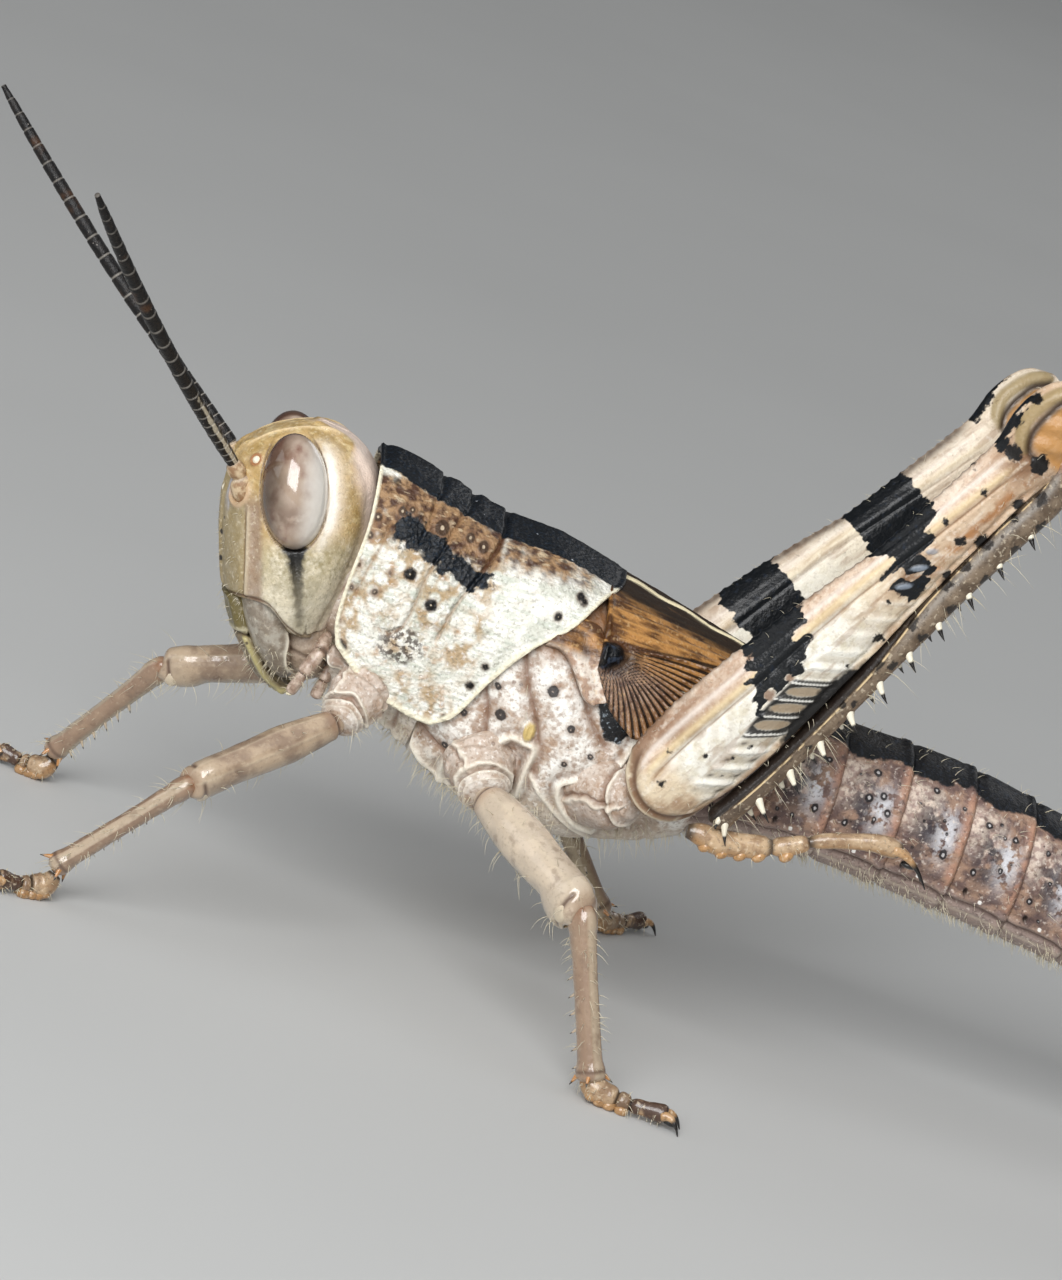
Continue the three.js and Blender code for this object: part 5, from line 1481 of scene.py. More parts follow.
def shin(name):
    """Tibia of a walking leg, with two rows of thorns and four spurs."""
    thick = LEGS[name]["thick"]
    _, knee, ankle, _, up = leg_frame(name)
    profile = [(-0.03, 0.2, 0.24), (0.0, 0.36, 0.32), (0.05, 0.45, 0.38), (0.12, 0.47, 0.39),
               (0.2, 0.42, 0.36), (0.3, 0.37, 0.33), (0.6, 0.35, 0.33), (0.88, 0.37, 0.35),
               (0.95, 0.43, 0.41), (0.99, 0.4, 0.38), (1.02, 0.2, 0.2)]
    profile = [(t, high * thick, wide * thick) for t, high, wide in profile]
    grid, along, angle = bar(knee, ankle, profile, up, "shin")
    waist = hump(along, 0.17, 0.03)
    keel = hump(np.abs(np.sin(angle)), 0.45, 0.1) * ease(along, 0.2, 0.3)
    height = -0.03 * waist + 0.018 * keel + 0.015 * rough(grid, 0.4, 3, 121)
    grow(grid, 110, 0.3 + ease(np.abs(np.cos(angle)), 0.2, 0.8), (0.2, 0.5), ankle - knee)
    shell = Shell()
    shell.sheet(raised(grid, height), seam=0.8 * hump(along, 0.93, 0.012),
                pale=0.1 + 0.55 * ease(np.abs(np.cos(angle)), 0.86, 0.97),
                knee=ease(along, 0.06, 0.0), under=ease(np.cos(angle), -0.2, -0.8),
                speck=ease(along, 0.12, 0.25), shin=1.0, rust=hump(along, 0.03, 0.05))
    across = unit(np.cross(ankle - knee, up))
    way = unit(ankle - knee)
    for turn in (-1, 1):
        for t in np.linspace(0.38, 0.9, 6):
            root = knee + (ankle - knee) * (t + 0.015 * turn)
            root = root + (0.16 * turn * across - 0.27 * up) * thick
            thorn, up_it = horn(root, root - up * 0.27 + across * turn * 0.13 + way * 0.16, 0.07)
            shell.sheet(thorn, thorn=up_it, pale=0.6)
        for lift in (-0.5, 0.45):
            root = knee + (ankle - knee) * 0.965 + (0.5 * lift * up + 0.22 * turn * across) * thick
            thorn, up_it = horn(root, root + way * 0.34 + across * turn * 0.28 + up * lift * 0.35, 0.11)
            shell.sheet(thorn, thorn=up_it, amber=1.0)
    return shell.make(f"{name}_shin", leg_paint(), "leg", f"{name}_tibia")


@cache
def leg_paint():
    paint = Paint("leg_horn", IOR=1.5, Coat_Weight=0.9, Coat_Roughness=0.09)
    base = paint.over(
        paint.blend("b39d84", "8f7965", 0.8, 0.4, 0.62),
        ("e0d2bd", "cream", 0.55),
        ("84654f", "shin", 0.7),
        ("8a6247", "rust", 0.5),
        ("d8cbb2", "pale", 0.65),
        ("c3b494", "under", 0.45),
        *paint.grains("6a5342", "d9c9b0", 0.12, 0.2),
        ("6c5545", paint.times(paint.clouds(0.5, 0.55, 0.68, 3.0, 4.0), "speck"), 0.4),
        ("3c2c24", paint.times(paint.freckles(1.0, 0.4, 0.13), "speck"), 0.8),
        ("4f3424", "seam", 0.9),
        ("7d5234", "knee", 0.7),
        ("b98046", "amber", 0.9),
        ("16110d", paint.step("thorn", 0.62, 0.8)))
    return paint.finish(base, paint.noise(0.1, 3.0, 11.0), 0.015, (0.4, 0.2, 0.2))


STANDING_PADS = [(0.07, 0.0), (0.18, 0.0), (0.3, 0.0), (0.46, 0.0)]  # share of the foot, drop
HANGING_PADS = [(0.04, 0.02), (0.13, 0.04), (0.22, 0.04), (0.31, 0.04), (0.44, 0.05)]


def foot_parts(shell, at, out, up, size, pads, low, dusk, hook):
    """Three joints, their pads, two hooked claws and the disc between them.

    at(t) is the middle of the foot at a share t of its length; out points across it. Nothing
    comes below low, dusk darkens the foot, and hook is how far its claws bend down.
    """
    joints = [
        ([(-0.06, 0.22), (0.0, 0.36), (0.1, 0.43), (0.22, 0.4), (0.33, 0.36), (0.375, 0.22)], 0.0),
        ([(0.36, 0.2), (0.4, 0.31), (0.47, 0.31), (0.52, 0.27), (0.545, 0.16)], 0.3),
        ([(0.53, 0.15), (0.6, 0.25), (0.74, 0.26), (0.86, 0.31), (0.94, 0.33), (0.985, 0.26),
          (1.0, 0.12)], 0.6),
    ]
    for stations, tone in joints:
        grid, along, angle = limb([(at(t), r * size, r * size * 0.92) for t, r in stations],
                                  "foot joint", up)
        grid = raised(grid, 0.012 * rough(grid, 0.25, 3, 131))
        grid[..., 2] = np.maximum(grid[..., 2], low)
        ends = np.maximum(ease(along, 0.12, 0.02), ease(along, 0.9, 0.98))
        grow(grid, 26, 1.0, (0.12, 0.3), up * -0.5)
        shell.sheet(grid, tone=0.3 * tone + dusk * (0.35 + tone), joint=ends,
                    gold=ease(np.cos(angle), 0.0, -0.7))
    way = unit(at(0.6) - at(0.4))
    for t, drop in pads:
        for turn in (-1, 1):
            centre = at(t) - up * (0.24 * size + drop) + out * turn * 0.14 * size
            pad = ball(centre, [0.24 * size, 0.22 * size, 0.2 * size], [way, out, up], "foot pad")
            pad[..., 2] = np.maximum(pad[..., 2], low)
            shell.sheet(pad, pad=1.0, tone=0.3 * dusk)
    for turn in (-1, 1):
        root = at(0.95) + out * turn * 0.17 * size
        tip = at(1.24 - 0.14 * hook) + out * turn * 0.42 * size - up * hook * size
        claw, up_it = horn(root, tip, 0.18 * size, (up + 0.5 * hook * way) * 0.2 * size, "claw")
        claw[..., 2] = np.maximum(claw[..., 2], low)
        shell.sheet(claw, claw=up_it, pad=0.7)
    fall = unit(way - up * hook * 0.6)
    disc = ball(at(1.05) - up * 0.4 * hook * size, [0.3 * size, 0.19 * size, 0.13 * size],
                [fall, out, np.cross(fall, out)], "claw disc")
    disc[..., 2] = np.maximum(disc[..., 2], low)
    shell.sheet(disc, disc=1.0)


def standing_foot(name):
    """Foot of a walking leg, flat on the floor."""
    start, end = joint(name, "ankle"), joint(name, "toe")
    height = curve((-0.06, 0.92), (0.0, 0.66), (0.12, 0.47), (0.36, 0.4), (0.52, 0.38), (0.88, 0.44),
                   (1.0, 0.42), (1.2, 0.32))

    def at(t):
        place = start + (end - start) * t
        place[2] = float(height(t))
        return place

    way = unit((end - start) * [1, 1, 0])
    out = np.cross(way, (0, 0, 1))
    shell = Shell()
    foot_parts(shell, at, out, Z_AXIS, 1.02, STANDING_PADS, 0.0, 1.0, 0.3)
    return shell.make(f"{name}_tarsus", foot_paint(), "foot", f"{name}_foot")


@cache
def foot_paint():
    paint = Paint("foot_horn", IOR=1.5, Coat_Weight=0.5, Coat_Roughness=0.12)
    base = paint.over(
        paint.blend("c6aa88", "a08263", 0.5),
        ("c08c4e", "gold", 0.5),
        ("b98a54", "pad", 0.75),
        ("4a3427", paint.times("tone", paint.clouds(0.4, 0.25, 0.55, 4.0, 4.0)), 0.95),
        *paint.grains("4c3423", "f1e0c2", 0.12, 0.4),
        ("1b1411", "joint", 0.85),
        ("1c1411", paint.freckles(0.55, 0.4, 0.09), 0.85),
        ("14100e", paint.step("claw", 0.42, 0.62)),
        ("151210", "disc"))
    return paint.finish(base, paint.noise(0.1, 3.0, 11.0), 0.02, (0.3, 0.2, 0.2))


# ---------------------------------------------------------------- hind legs
# Base of the femur, end of the knee, and how far the foot runs back and up.
HIND = {
    "left": dict(base=(5.15, 5.35, 8.85), knee=(14.8, 7.0, 26.85), drift=(7.2, 1.35)),
    "right": dict(base=(5.25, 5.3, 8.25), knee=(17.0, 10.0, 23.7), drift=(7.0, 0.9)),
}
femur_up = curve((0, 0.55), (0.5, 1.15), (1.6, 1.58), (4, 1.7), (7.5, 1.5), (9, 1.31), (11.5, 1.0),
                 (14, 0.95), (16.5, 0.97), (17.3, 1.12), (18.2, 1.38), (19.2, 1.38), (19.9, 1.12),
                 (20.4, 0.5))
femur_down = curve((0, 0.45), (0.5, 1.1), (1.6, 1.6), (4, 1.85), (8, 1.7), (12, 1.4), (15.5, 1.24),
                   (17, 1.27), (18.6, 1.42), (19.7, 1.05), (20.4, 0.45))
femur_half = curve((0, 0.4), (0.6, 0.8), (2, 0.98), (5, 1.02), (9, 0.9), (13, 0.7), (17, 0.6),
                   (18.8, 0.7), (19.8, 0.58), (20.4, 0.35))
FEMUR_POWER = 1.9
tibia_drop = curve((1.45, 2.25), (3.7, 2.3), (6, 2.2), (9.2, 1.98), (11.5, 1.76), (15, 1.56),
                   (17.3, 1.45), (19.5, 0.6))
TIBIA_FOOT = 1.45

# Lines of the femur's outer face: how far each lies below its straight axis.
upper_keel = curve((0.5, -0.1), (1.4, -0.78), (6, -0.82), (10, -0.78), (11.7, -0.66), (14, -0.48),
                   (16.8, -0.3))
fine_keel = curve((0.8, -0.9), (2, -1.2), (8, -1.12), (12, -0.86), (16.5, -0.68))
middle_line = curve((1, 0.42), (4, 0.38), (5.4, 0.12), (8.4, 0), (16, 0.02))
lower_keel = curve((0.5, 0.7), (1.4, 1.5), (3, 1.72), (5, 1.62), (8, 1.42), (10, 1.36), (13, 1.2),
                   (14.7, 1.05), (15.5, 0.97), (16.5, 0.92), (17.4, 0.99))
black_line = curve((0.9, 1.75), (2, 1.8), (4.6, 1.76), (5.2, 1.5), (5.7, 1.3), (6.7, 1.1), (7.8, 1.12),
                   (8.8, 1.35), (9.6, 1.46), (12, 1.26), (14, 1.16), (15.5, 1.05), (17, 1.05))
CHEVRON_STEP, CHEVRON_SLANT = 0.78, 0.78
LINED = (4.26, 6.9)  # reach of the black-lined ribs
REFLECTION_HALF = 0.12

# The two black bands across it, and its dots, as (along, below the axis) places.
FIRST_BAND = [(5.95, -3), (8.95, -3), (8.92, -1.46), (8.55, -1.39), (8.55, -1.03), (8.35, -0.97),
              (7.99, -0.94), (7.82, -0.8), (8.31, -0.68), (8.34, -0.56), (8.04, -0.54),
              (7.72, -0.24), (7.49, -0.15), (7.42, 0.14), (6.97, 0.17), (6.75, 0.16), (6.29, 0.16),
              (5.94, 0.24), (5.61, 0.14), (5.34, 0.32), (5.19, 0.11), (5.51, -0.2), (5.76, -0.57),
              (5.6, -0.87), (6.12, -0.91), (6.01, -1.2), (6.3, -1.32), (6.0, -1.63)]
FIRST_HOLES = [(5.99, -0.05, 0.17), (6.87, -0.03, 0.1), (6.35, -1.26, 0.12)]
SECOND_BAND = [(11.2, -3), (14.3, -3), (14.26, -0.95), (13.85, -0.67), (13.45, -0.49), (13.59, -0.25),
               (13.27, -0.15), (13.0, -0.26), (12.62, -0.26), (12.17, -0.33), (11.77, -0.36),
               (11.28, -0.38), (10.98, -0.52), (11.54, -0.57), (11.99, -0.6), (11.66, -0.89),
               (11.25, -1.2)]
UNDER_BAND = [[(12.1, -0.35), (12.45, -0.3), (12.75, -0.1), (12.9, 0.25), (12.8, 0.55), (12.5, 0.55),
               (12.3, 0.32), (12.1, 0.05)],
              [(11.38, -0.05), (11.64, 0.0), (11.93, 0.29), (12.27, 0.43), (12.4, 0.67),
               (12.26, 0.83), (11.88, 0.9), (11.62, 0.86), (11.48, 0.64), (11.55, 0.49), (11.4, 0.3)]]
# Three ribs inside the second band that carry pale blue-grey painted reflections.
REFLECTED_RIBS = [(13.12, 0.01, 0.25), (12.44, 0.15, 0.36), (11.66, 0.27, 0.34)]  # last: half length
FEMUR_DOTS = [(9.85, 1.07, 0.22), (8.46, 1.03, 0.1), (10.94, 0.31, 0.07), (14.0, 0.43, 0.17),
              (14.14, -0.4, 0.12), (15.68, -0.3, 0.1), (15.96, -1.2, 0.2), (14.48, 0.98, 0.25),
              (16.2, 0.87, 0.22), (12.9, 1.1, 0.13), (3.0, 0.1, 0.08), (3.6, 0.75, 0.07),
              (2.9, 1.0, 0.06), (4.3, 0.9, 0.06), (1.3, -0.2, 0.13), (2.2, -0.85, 0.07),
              (17.28, -0.63, 0.3), (17.63, 0.26, 0.33), (17.65, 1.11, 0.2), (19.02, -1.37, 0.16)]

# Outer face of the knee: its pale lobe, the dark slit under it, and a black crescent above.
KNEE_LOBE = [(17.6, -0.55), (17.74, -0.75), (18.23, -1.12), (18.81, -1.19), (19.5, -1.09), (20.1, -0.7)]
KNEE_LINE = [(17.6, -0.1), (17.62, -0.31), (18.02, -0.65), (18.46, -0.79), (19.01, -0.83), (19.45, -0.8),
             (20.0, -0.5)]
KNEE_BLACK = [(16.6, -1.6), (16.75, -1.25), (17.0, -1.0), (17.35, -1.08), (17.7, -1.2), (18.1, -1.24),
              (18.4, -1.4), (18.9, -1.48), (19.4, -1.55), (19.5, -1.8), (16.6, -1.9)]


class HindFrame:
    """Measures along a folded hind leg: s towards the knee, down to the tibia, and outward."""

    def __init__(self, name):
        side = SIDES[name]
        place = lambda p: np.array([p[0], side * p[1], p[2]])
        self.base = place(HIND[name]["base"])
        self.along = unit(place(HIND[name]["knee"]) - self.base)
        self.out = unit(np.array([0, side, 0]) - self.along * side * self.along[1])
        self.under = np.cross(self.out, self.along) * side

    def at(self, s, down, out=0.0):
        """The point with these three measures."""
        s, down, out = np.broadcast_arrays(s, down, out)
        return (self.base + s[..., None] * self.along + down[..., None] * self.under
                + out[..., None] * self.out)

    def measures(self, grid):
        """The same three measures, of the points of a grid."""
        return ((grid - self.base) @ way for way in (self.along, self.under, self.out))


def ovals(s, down, places):
    """One on ovals that slant as the ribs do, at (along, below the axis, half length)."""
    slope = 1 / math.hypot(1, CHEVRON_SLANT)
    share = [1 - np.hypot(slope * ((s - at) + CHEVRON_SLANT * (down - low)) / long,
                          slope * (CHEVRON_SLANT * (s - at) - (down - low)) / REFLECTION_HALF)
             for at, low, long in places]
    return ease(np.max(share, 0), 0.0, 0.35)


def thigh_keels(s, down, out, outer):
    """The keels and furrows along the femur's outer face, and the toothed crown on top of it.

    Gives their reliefs and marks, and how near a place is to the edges where hairs stand.
    """
    shaft = ease(s, 0.8, 1.5) * ease(s, 17.2, 16.2)
    upper, fine, lower = (down - line(s) for line in (upper_keel, fine_keel, lower_keel))
    teeth = 0.5 + 0.5 * np.cos(2 * np.pi * s / 0.42)
    crown = hump(out, 0.04, 0.2) * (down < 0) * shaft
    under = hump(out, 0, 0.4) * (down > 0) * ease(s, 1.0, 2.0) * ease(s, 19.5, 18.5)
    reliefs = [
        shaft * outer * (0.05 * hump(upper, 0, 0.11) + 0.03 * hump(fine, 0, 0.06)
                         + 0.085 * hump(lower, 0, 0.08)),
        -shaft * outer * 0.05 * (hump(upper, 0.25, 0.06) + hump(lower, -0.18, 0.1)),
        crown * (0.08 + 0.04 * teeth ** 3),
        -0.12 * under]
    marks = dict(
        roof=ease(upper, 0.05, -0.1) * shaft, keel=shaft * outer * hump(fine, 0, 0.09),
        gold=shaft * outer * hump(upper, 0, 0.12), groove=shaft * outer * hump(upper, 0.25, 0.035),
        crown=shaft * (down < 0) * hump(out, -0.09, 0.18) * (0.85 + 0.15 * teeth))
    return reliefs, marks, under + crown


def thigh_ribs(s, down, face, outer):
    """The herring-bone between the upper and lower keels; some of its ribs are lined in black.

    Gives its relief and marks, and 1 all over the field of ribs.
    """
    field = (ease(down - upper_keel(s), 0.08, 0.25) * ease(down - lower_keel(s), -0.08, -0.22)
             * ease(s, 1.6, 2.4) * ease(s, 15.5, 12.5))
    centre = down - middle_line(s)
    chevron = s - CHEVRON_SLANT * np.abs(centre)
    rib = np.abs(np.mod(chevron / CHEVRON_STEP - 0.15, 1) - 0.5) * CHEVRON_STEP
    strong = np.where(centre > 0, 1.0, 0.4) * field * outer * ease(np.abs(centre), 0.05, 0.2)
    strong *= 0.4 + 0.6 * ease(s, 9.5, 7.5)
    lined = ease(centre, 0.02, 0.12) * field * outer
    lined *= ease(chevron, LINED[0] - 0.04, LINED[0] + 0.04)
    lined *= ease(chevron, LINED[1] + 0.04, LINED[1] - 0.04)
    oval = np.hypot((centre - 0.68) / 0.52, (CHEVRON_STEP / 2 - rib) / 0.24)
    relief = 0.075 * hump(rib, 0, 0.12) * strong - 0.05 * face * field
    marks = dict(
        white=field * ease(s, 11.5, 8.5) * face, rib=strong * hump(rib, 0, 0.1),
        # painted shade: grey-brown in the hollows between the ribs
        valley=strong * ease(rib, 0.16, 0.3), line=lined * ease(oval, 0.88, 1.0),
        pit=lined * ease(oval, 1.0, 0.88), glint=lined * ease(rib, 0.05, 0.025),
        tick=field * outer * ease(s, 4.6, 4.3) * hump(rib, CHEVRON_STEP / 2, 0.07)
        * (hump(centre, 0.28, 0.08) + hump(centre, 1.0, 0.13)))
    return relief, marks, field


def thigh_base(outline, base):
    """The rounded brim round the femur's base; outline is the distance from its middle."""
    rim = hump(outline, 1.62, 0.08) * base
    relief = 0.06 * rim - 0.05 * hump(outline, 1.42, 0.1) * base
    return relief, dict(rim=rim ** 4, brim=hump(outline, 1.45, 0.07) * base,
                        edge=ease(outline, 1.68, 1.8) * base)


def thigh_knee(s, down, face):
    """The knee's pale lobe, the dark slit under it and the rippled core below them."""
    knee = ease(s, 17.3, 17.7) * face
    lobe = from_line(s, down, smooth(KNEE_LOBE, 24))
    slit = from_line(s, down, smooth(KNEE_LINE, 24))
    slit_level = np.interp(s, *zip(*KNEE_LINE))
    core = ease(down - slit_level, 0.0, 0.16) * ease(s, 17.7, 18.0) * ease(s, 20.3, 19.7) * face
    reliefs = [
        knee * (0.12 * hump(lobe, 0, 0.22) - 0.1 * hump(slit, 0, 0.08)) - 0.08 * core,
        0.05 * core * np.sin(7 * (s - 0.6 * down)) + 0.06 * hump(s, 17.4, 0.15) * face]
    return reliefs, dict(lobe=ease(lobe, 0.27, 0.17) * knee, slit=hump(slit, 0, 0.13) * knee, core=core)


def thigh_ink(s, down, outside, fibre):
    """The black bands, the strip along the lower edge (partly its own black line, partly painted shade where
    the tibia lies under the femur), and the dots.
    """
    bands = [inside(s, down, corners) for corners in (FIRST_BAND, SECOND_BAND)]
    bands += [inside(s, down, corners) + 0.05 for corners in UNDER_BAND]
    ink = np.minimum(np.max(bands, 0), -dots(s, down, FIRST_HOLES))
    inner_ink = np.maximum(np.minimum(s - 5.9, 8.25 - s), np.minimum(s - 11.2, 13.9 - s))
    ink = np.where(outside, ink, np.minimum(inner_ink, 0.9 - down))
    return dict(ink=np.maximum(ink, inside(s, down, KNEE_BLACK)) + 0.22 * fibre,
                strip=np.minimum(down - black_line(s) - 0.25 * ~outside, 17.0 - s),
                spot=np.where(outside, dots(s, down, FEMUR_DOTS), OUTSIDE))


def thigh_stain(s, down, outline, field, outside):
    """Brown clouds: at the base, round the holes of the first band, and beside the knee."""
    return np.max([ease(s, 7.5, 1.0) * ease(outline, 1.1, 1.6) * (1 - 0.9 * field),
                   ease(dots(s, down, FIRST_HOLES), -0.12, 0.0) * outside,
                   1.4 * hump(np.hypot(s - 12.1, 1.2 * (down - 0.25)), 0, 0.5) * outside,
                   1.3 * hump(np.hypot(s - 17.3, down + 0.2), 0, 0.7) * outside], 0)


def hind_thigh(name):
    """The big femur: keels, a herring-bone of glossy ribs, and a lobed knee."""
    frame = HindFrame(name)
    rows, columns = GRIDS["hind thigh"]
    s = even(0, FEMUR_LENGTH, rows, femur_up, femur_half)
    grid = rings(frame.at(s, 0.1 - 0.012 * s), -frame.under, frame.out, femur_up(s), femur_down(s),
                 femur_half(s), even_turns(columns, FEMUR_POWER, 1.7, 1.0), FEMUR_POWER)
    s, down, out = frame.measures(grid)
    outside = out > 0
    face = ease(np.abs(out) / femur_half(s), 0.25, 0.6)
    outer = np.where(outside, 1.0, 0.45) * face
    outline = np.hypot(s - 1.75, down - 0.1)
    fibre = rough(vec(0.14 * s, down, 0.4 * out), 0.16, 3, 144)
    # pale painted reflections on three ribs of the second band, slightly raised
    glossy = ovals(s, down, REFLECTED_RIBS) * outside
    height, rib_marks, field = thigh_ribs(s, down, face, outer)
    keels, keel_marks, edges = thigh_keels(s, down, out, outer)
    brim, base_marks = thigh_base(outline, ease(s, 1.9, 1.0) * outside)
    knee, knee_marks = thigh_knee(s, down, face)
    grain = 0.02 * rough(grid, 0.7, 3, 141) + 0.01 * rough(grid, 0.18, 2, 142)
    for relief in (*keels, brim, *knee, grain, 0.07 * glossy):
        height += relief
    grow(grid, 130, 0.1 + edges, (0.12, 0.35), -frame.along)
    stain = thigh_stain(s, down, outline, field, outside)
    shell = Shell()
    shell.sheet(raised(grid, height), **rib_marks, **keel_marks, **base_marks, **knee_marks,
                **thigh_ink(s, down, outside, fibre), far=ease(s, 9.5, 14.5), glossy=glossy,
                # the inner face is painted paler, as painted light on the side that the near femur shades
                inner=ease(out, 0.1, -0.2), fibre=fibre, stain=np.clip(stain, 0, 1),
                streak=hump(down, 0.45, 0.25) * ease(s, 11.5, 13) * ease(s, 17.5, 16.5) * outside)
    return shell.make(f"hind_{name}_thigh", thigh_paint(), "hind_femur", f"hind_{name}_femur")


@cache
def thigh_paint():
    paint = Paint("thigh_horn", IOR=1.42, Coat_Weight=0.15, Coat_Roughness=0.16)
    shaken = paint.plus(paint.noise(0.5, 4.0, 9.0), paint.times("fibre", 0.2))
    base = paint.over(
        paint.blend("dccbaf", "bfa588", 0.7),
        ("cdae92", "far", 0.6),
        (paint.blend("dfc9b3", "c9ab93", 0.2, 0.4, 0.66, 2.0), "roof"),
        (paint.blend("f0ede2", "ddd6c2", 0.35, 0.45, 0.66, 3.0), "white"),
        # painted shade in the hollows between the ribs
        ("a8997f", "valley", 0.55),
        ("f8f5ea", "rib", 0.85),
        ("a8703c", paint.times("streak", paint.clouds(0.5, 0.4, 0.55, 5.0, 4.0)), 0.85),
        # painted light on the inner face
        ("ede6d3", "inner", 0.5),
        ("8f6a4c", paint.step("fibre", 0.12, 0.5), 0.4),
        ("f3eada", paint.step("fibre", -0.15, -0.55), 0.35),
        ("7b5537", paint.times("stain", paint.step(shaken, 0.24, 0.5)), 0.85),
        *paint.grains("7d644e", "fffaf0", 0.13, 0.22),
        ("e2cd9f", "gold", 0.6),
        ("7b5a38", "groove", 0.8),
        ("efe6dd", "keel", 0.6),
        ("3a281c", "crown", 0.85),
        ("958269", "pit", 0.85),
        ("5f4330", "brim", 0.9),
        ("e6d9bd", "rim", 0.8),
        ("7d6349", "edge", 0.8),
        ("9a865c", "lobe", 0.85),
        ("b5813f", "core", 0.85),
        ("2f1c10", "slit", 0.95),
        ("5c4536", paint.freckles(0.7, 0.25, 0.06), 0.7),
        ("0f0d0c", "line", 0.97),
        ("f4f2ea", "glint", 0.9),
        ("241b15", "tick", 0.85),
        # black strip along the lower edge: partly its own black line, partly painted shade where the tibia
        # lies under the femur
        ("0d0a08", paint.edge("strip", 0.3, 0.45, 0.09, 3.0)),
        ("15110f", paint.edge("spot", 0.22, 0.18, 0.05, 1.0)),
        (paint.blend("03070c", "0f1a28", 0.2, 0.55, 0.75, 8.0), paint.edge("ink", 0.16, 0.2, 0.035, 6.0)),
        # painted reflections: blue-grey ovals on the ribs inside the second black band
        ("8b95a2", "glossy", 0.7))
    grain = paint.plus(paint.noise(0.09, 3.0, 11.0), paint.noise(0.4, 2.0, 13.0))
    return paint.finish(base, grain, 0.03, (0.3, 0.25, 0.27))


TIBIA_REACH = [(19.75, 0.2), (19.5, 0.38), (18.9, 0.54), (18.3, 0.56), (17.2, 0.54), (15, 0.53),
               (11.5, 0.5), (7, 0.45), (4, 0.43), (2.2, 0.46), (1.6, 0.44), (1.4, 0.25)]
TIBIA_ARC = 0.0095  # millimetres to a degree of turn
TIBIA_SPINES = 10
SPINE_FIRST, SPINE_LAST = 2.9, 15.6
gold_turn = curve((2, 10), (7, 14), (9, 20), (10.3, 34), (12.2, 54), (19, 58))
TIBIA_BLOTS = [(16.9, 40, 0.24), (15.75, 58, 0.2), (14.55, 60, 0.26), (13.55, 52, 0.2),
               (12.65, 54, 0.26), (10.95, 36, 0.23), (9.2, 22, 0.18), (7.4, 14, 0.16),
               (16.2, -42, 0.22), (15.1, -48, 0.2), (13.7, -50, 0.23), (12.25, -38, 0.23),
               (10.9, -34, 0.19), (9.5, -20, 0.16), (7.7, -20, 0.13), (5.6, -15, 0.12)]


def hind_shin(name):
    """Tibia with two rows of ivory spines, black at the tips, and four spurs at its end."""
    frame = HindFrame(name)
    path = [(frame.at(s, tibia_drop(s)), r, r * 0.95) for s, r in TIBIA_REACH]
    grid, _, _ = limb(path, "hind shin", -frame.under)
    s, down, out = frame.measures(grid)
    down = down - tibia_drop(s)
    turn = np.degrees(np.arctan2(-down, out))
    flat = hump(turn, -90, 28)
    above = turn - gold_turn(s)
    gold = hump(above, 0, 5) * ease(s, 1.8, 2.4) * ease(s, 18.2, 17)
    height = 0.05 * gold - 0.04 * hump(above, 13, 8) + 0.02 * rough(grid, 0.5, 3, 151) - 0.02 * flat
    grow(grid, 150, 0.25 + ease(turn, 0, -60), (0.35, 0.95), frame.under - frame.along * 0.5)
    blots = np.max([radius - np.hypot(s - at, (turn - middle) * TIBIA_ARC)
                    for at, middle, radius in TIBIA_BLOTS], 0)
    shell = Shell()
    shell.sheet(raised(grid, height), gold=gold, spot=blots,
                # the top of the tibia above its gold line is painted near black, as the shadow under the
                # femur
                roof=ease(above, 4, 12) * ease(turn, 175, 150) * ease(s, 14.5, 9.5),
                stripe=hump(above, -22, 13) * ease(s, 9, 13), head=ease(s, 17.6, 18.4),
                base=ease(s, 7, 3), low=ease(turn, -10, -60))
    for row in (-1, 1):
        for at in np.linspace(SPINE_FIRST, SPINE_LAST, TIBIA_SPINES):
            at = at + row * 0.25
            root = frame.at(at, tibia_drop(at) + 0.22, row * 0.2)
            long = 0.9 - 0.022 * at
            tip = root + frame.under * long + frame.out * row * 0.36 - frame.along * 0.27
            thorn, up_it = horn(root, tip, 0.165, -frame.along * 0.03, "spine", 0.06)
            shell.sheet(thorn, thorn=up_it + 0.2 * ease(at, 6, 15), ivory=1.0)
        for lift, size in ((0.35, 0.85), (-0.1, 0.6)):
            root = frame.at(1.75, tibia_drop(1.75) + lift * 0.5, row * 0.28)
            way = frame.under * (0.25 + lift) + frame.out * row * 0.42 - frame.along * 0.55
            spur, up_it = horn(root, root + way * size, 0.15, -frame.under * 0.04, "spur", 0.08)
            shell.sheet(spur, thorn=up_it, ivory=0.8)
    return shell.make(f"hind_{name}_shin", shin_paint(), "hind_tibia", f"hind_{name}_tibia")


@cache
def shin_paint():
    paint = Paint("shin_horn", IOR=1.45, Coat_Weight=0.3, Coat_Roughness=0.16)
    base = paint.over(
        paint.blend("7c6b58", "584838", 0.6),
        ("4f4034", "base", 0.6),
        ("7d6349", "low", 0.6),
        ("a9a59e", "stripe", 0.6),
        ("a2672f", "head", 0.85),
        *paint.grains("33271e", "d9cbb2", 0.12, 0.5),
        # painted shadow under the femur, along the top of the tibia
        ("1c1512", "roof", 0.94),
        ("e0c79a", paint.times(paint.step("gold", 0.3, 0.8), paint.clouds(0.5, 0.42, 0.52, 8.0)), 0.85),
        ("2e211a", paint.freckles(0.55, 0.35, 0.08), 0.75),
        ("15100e", paint.edge("spot", 0.26, 0.16, 0.06, 1.0), 0.93),
        ("f0e9d4", "ivory"),
        ("14100e", paint.step("thorn", 0.55, 0.66)))
    return paint.finish(base, paint.noise(0.1, 3.0, 11.0), 0.025, (0.4, 0.2, 0.25))


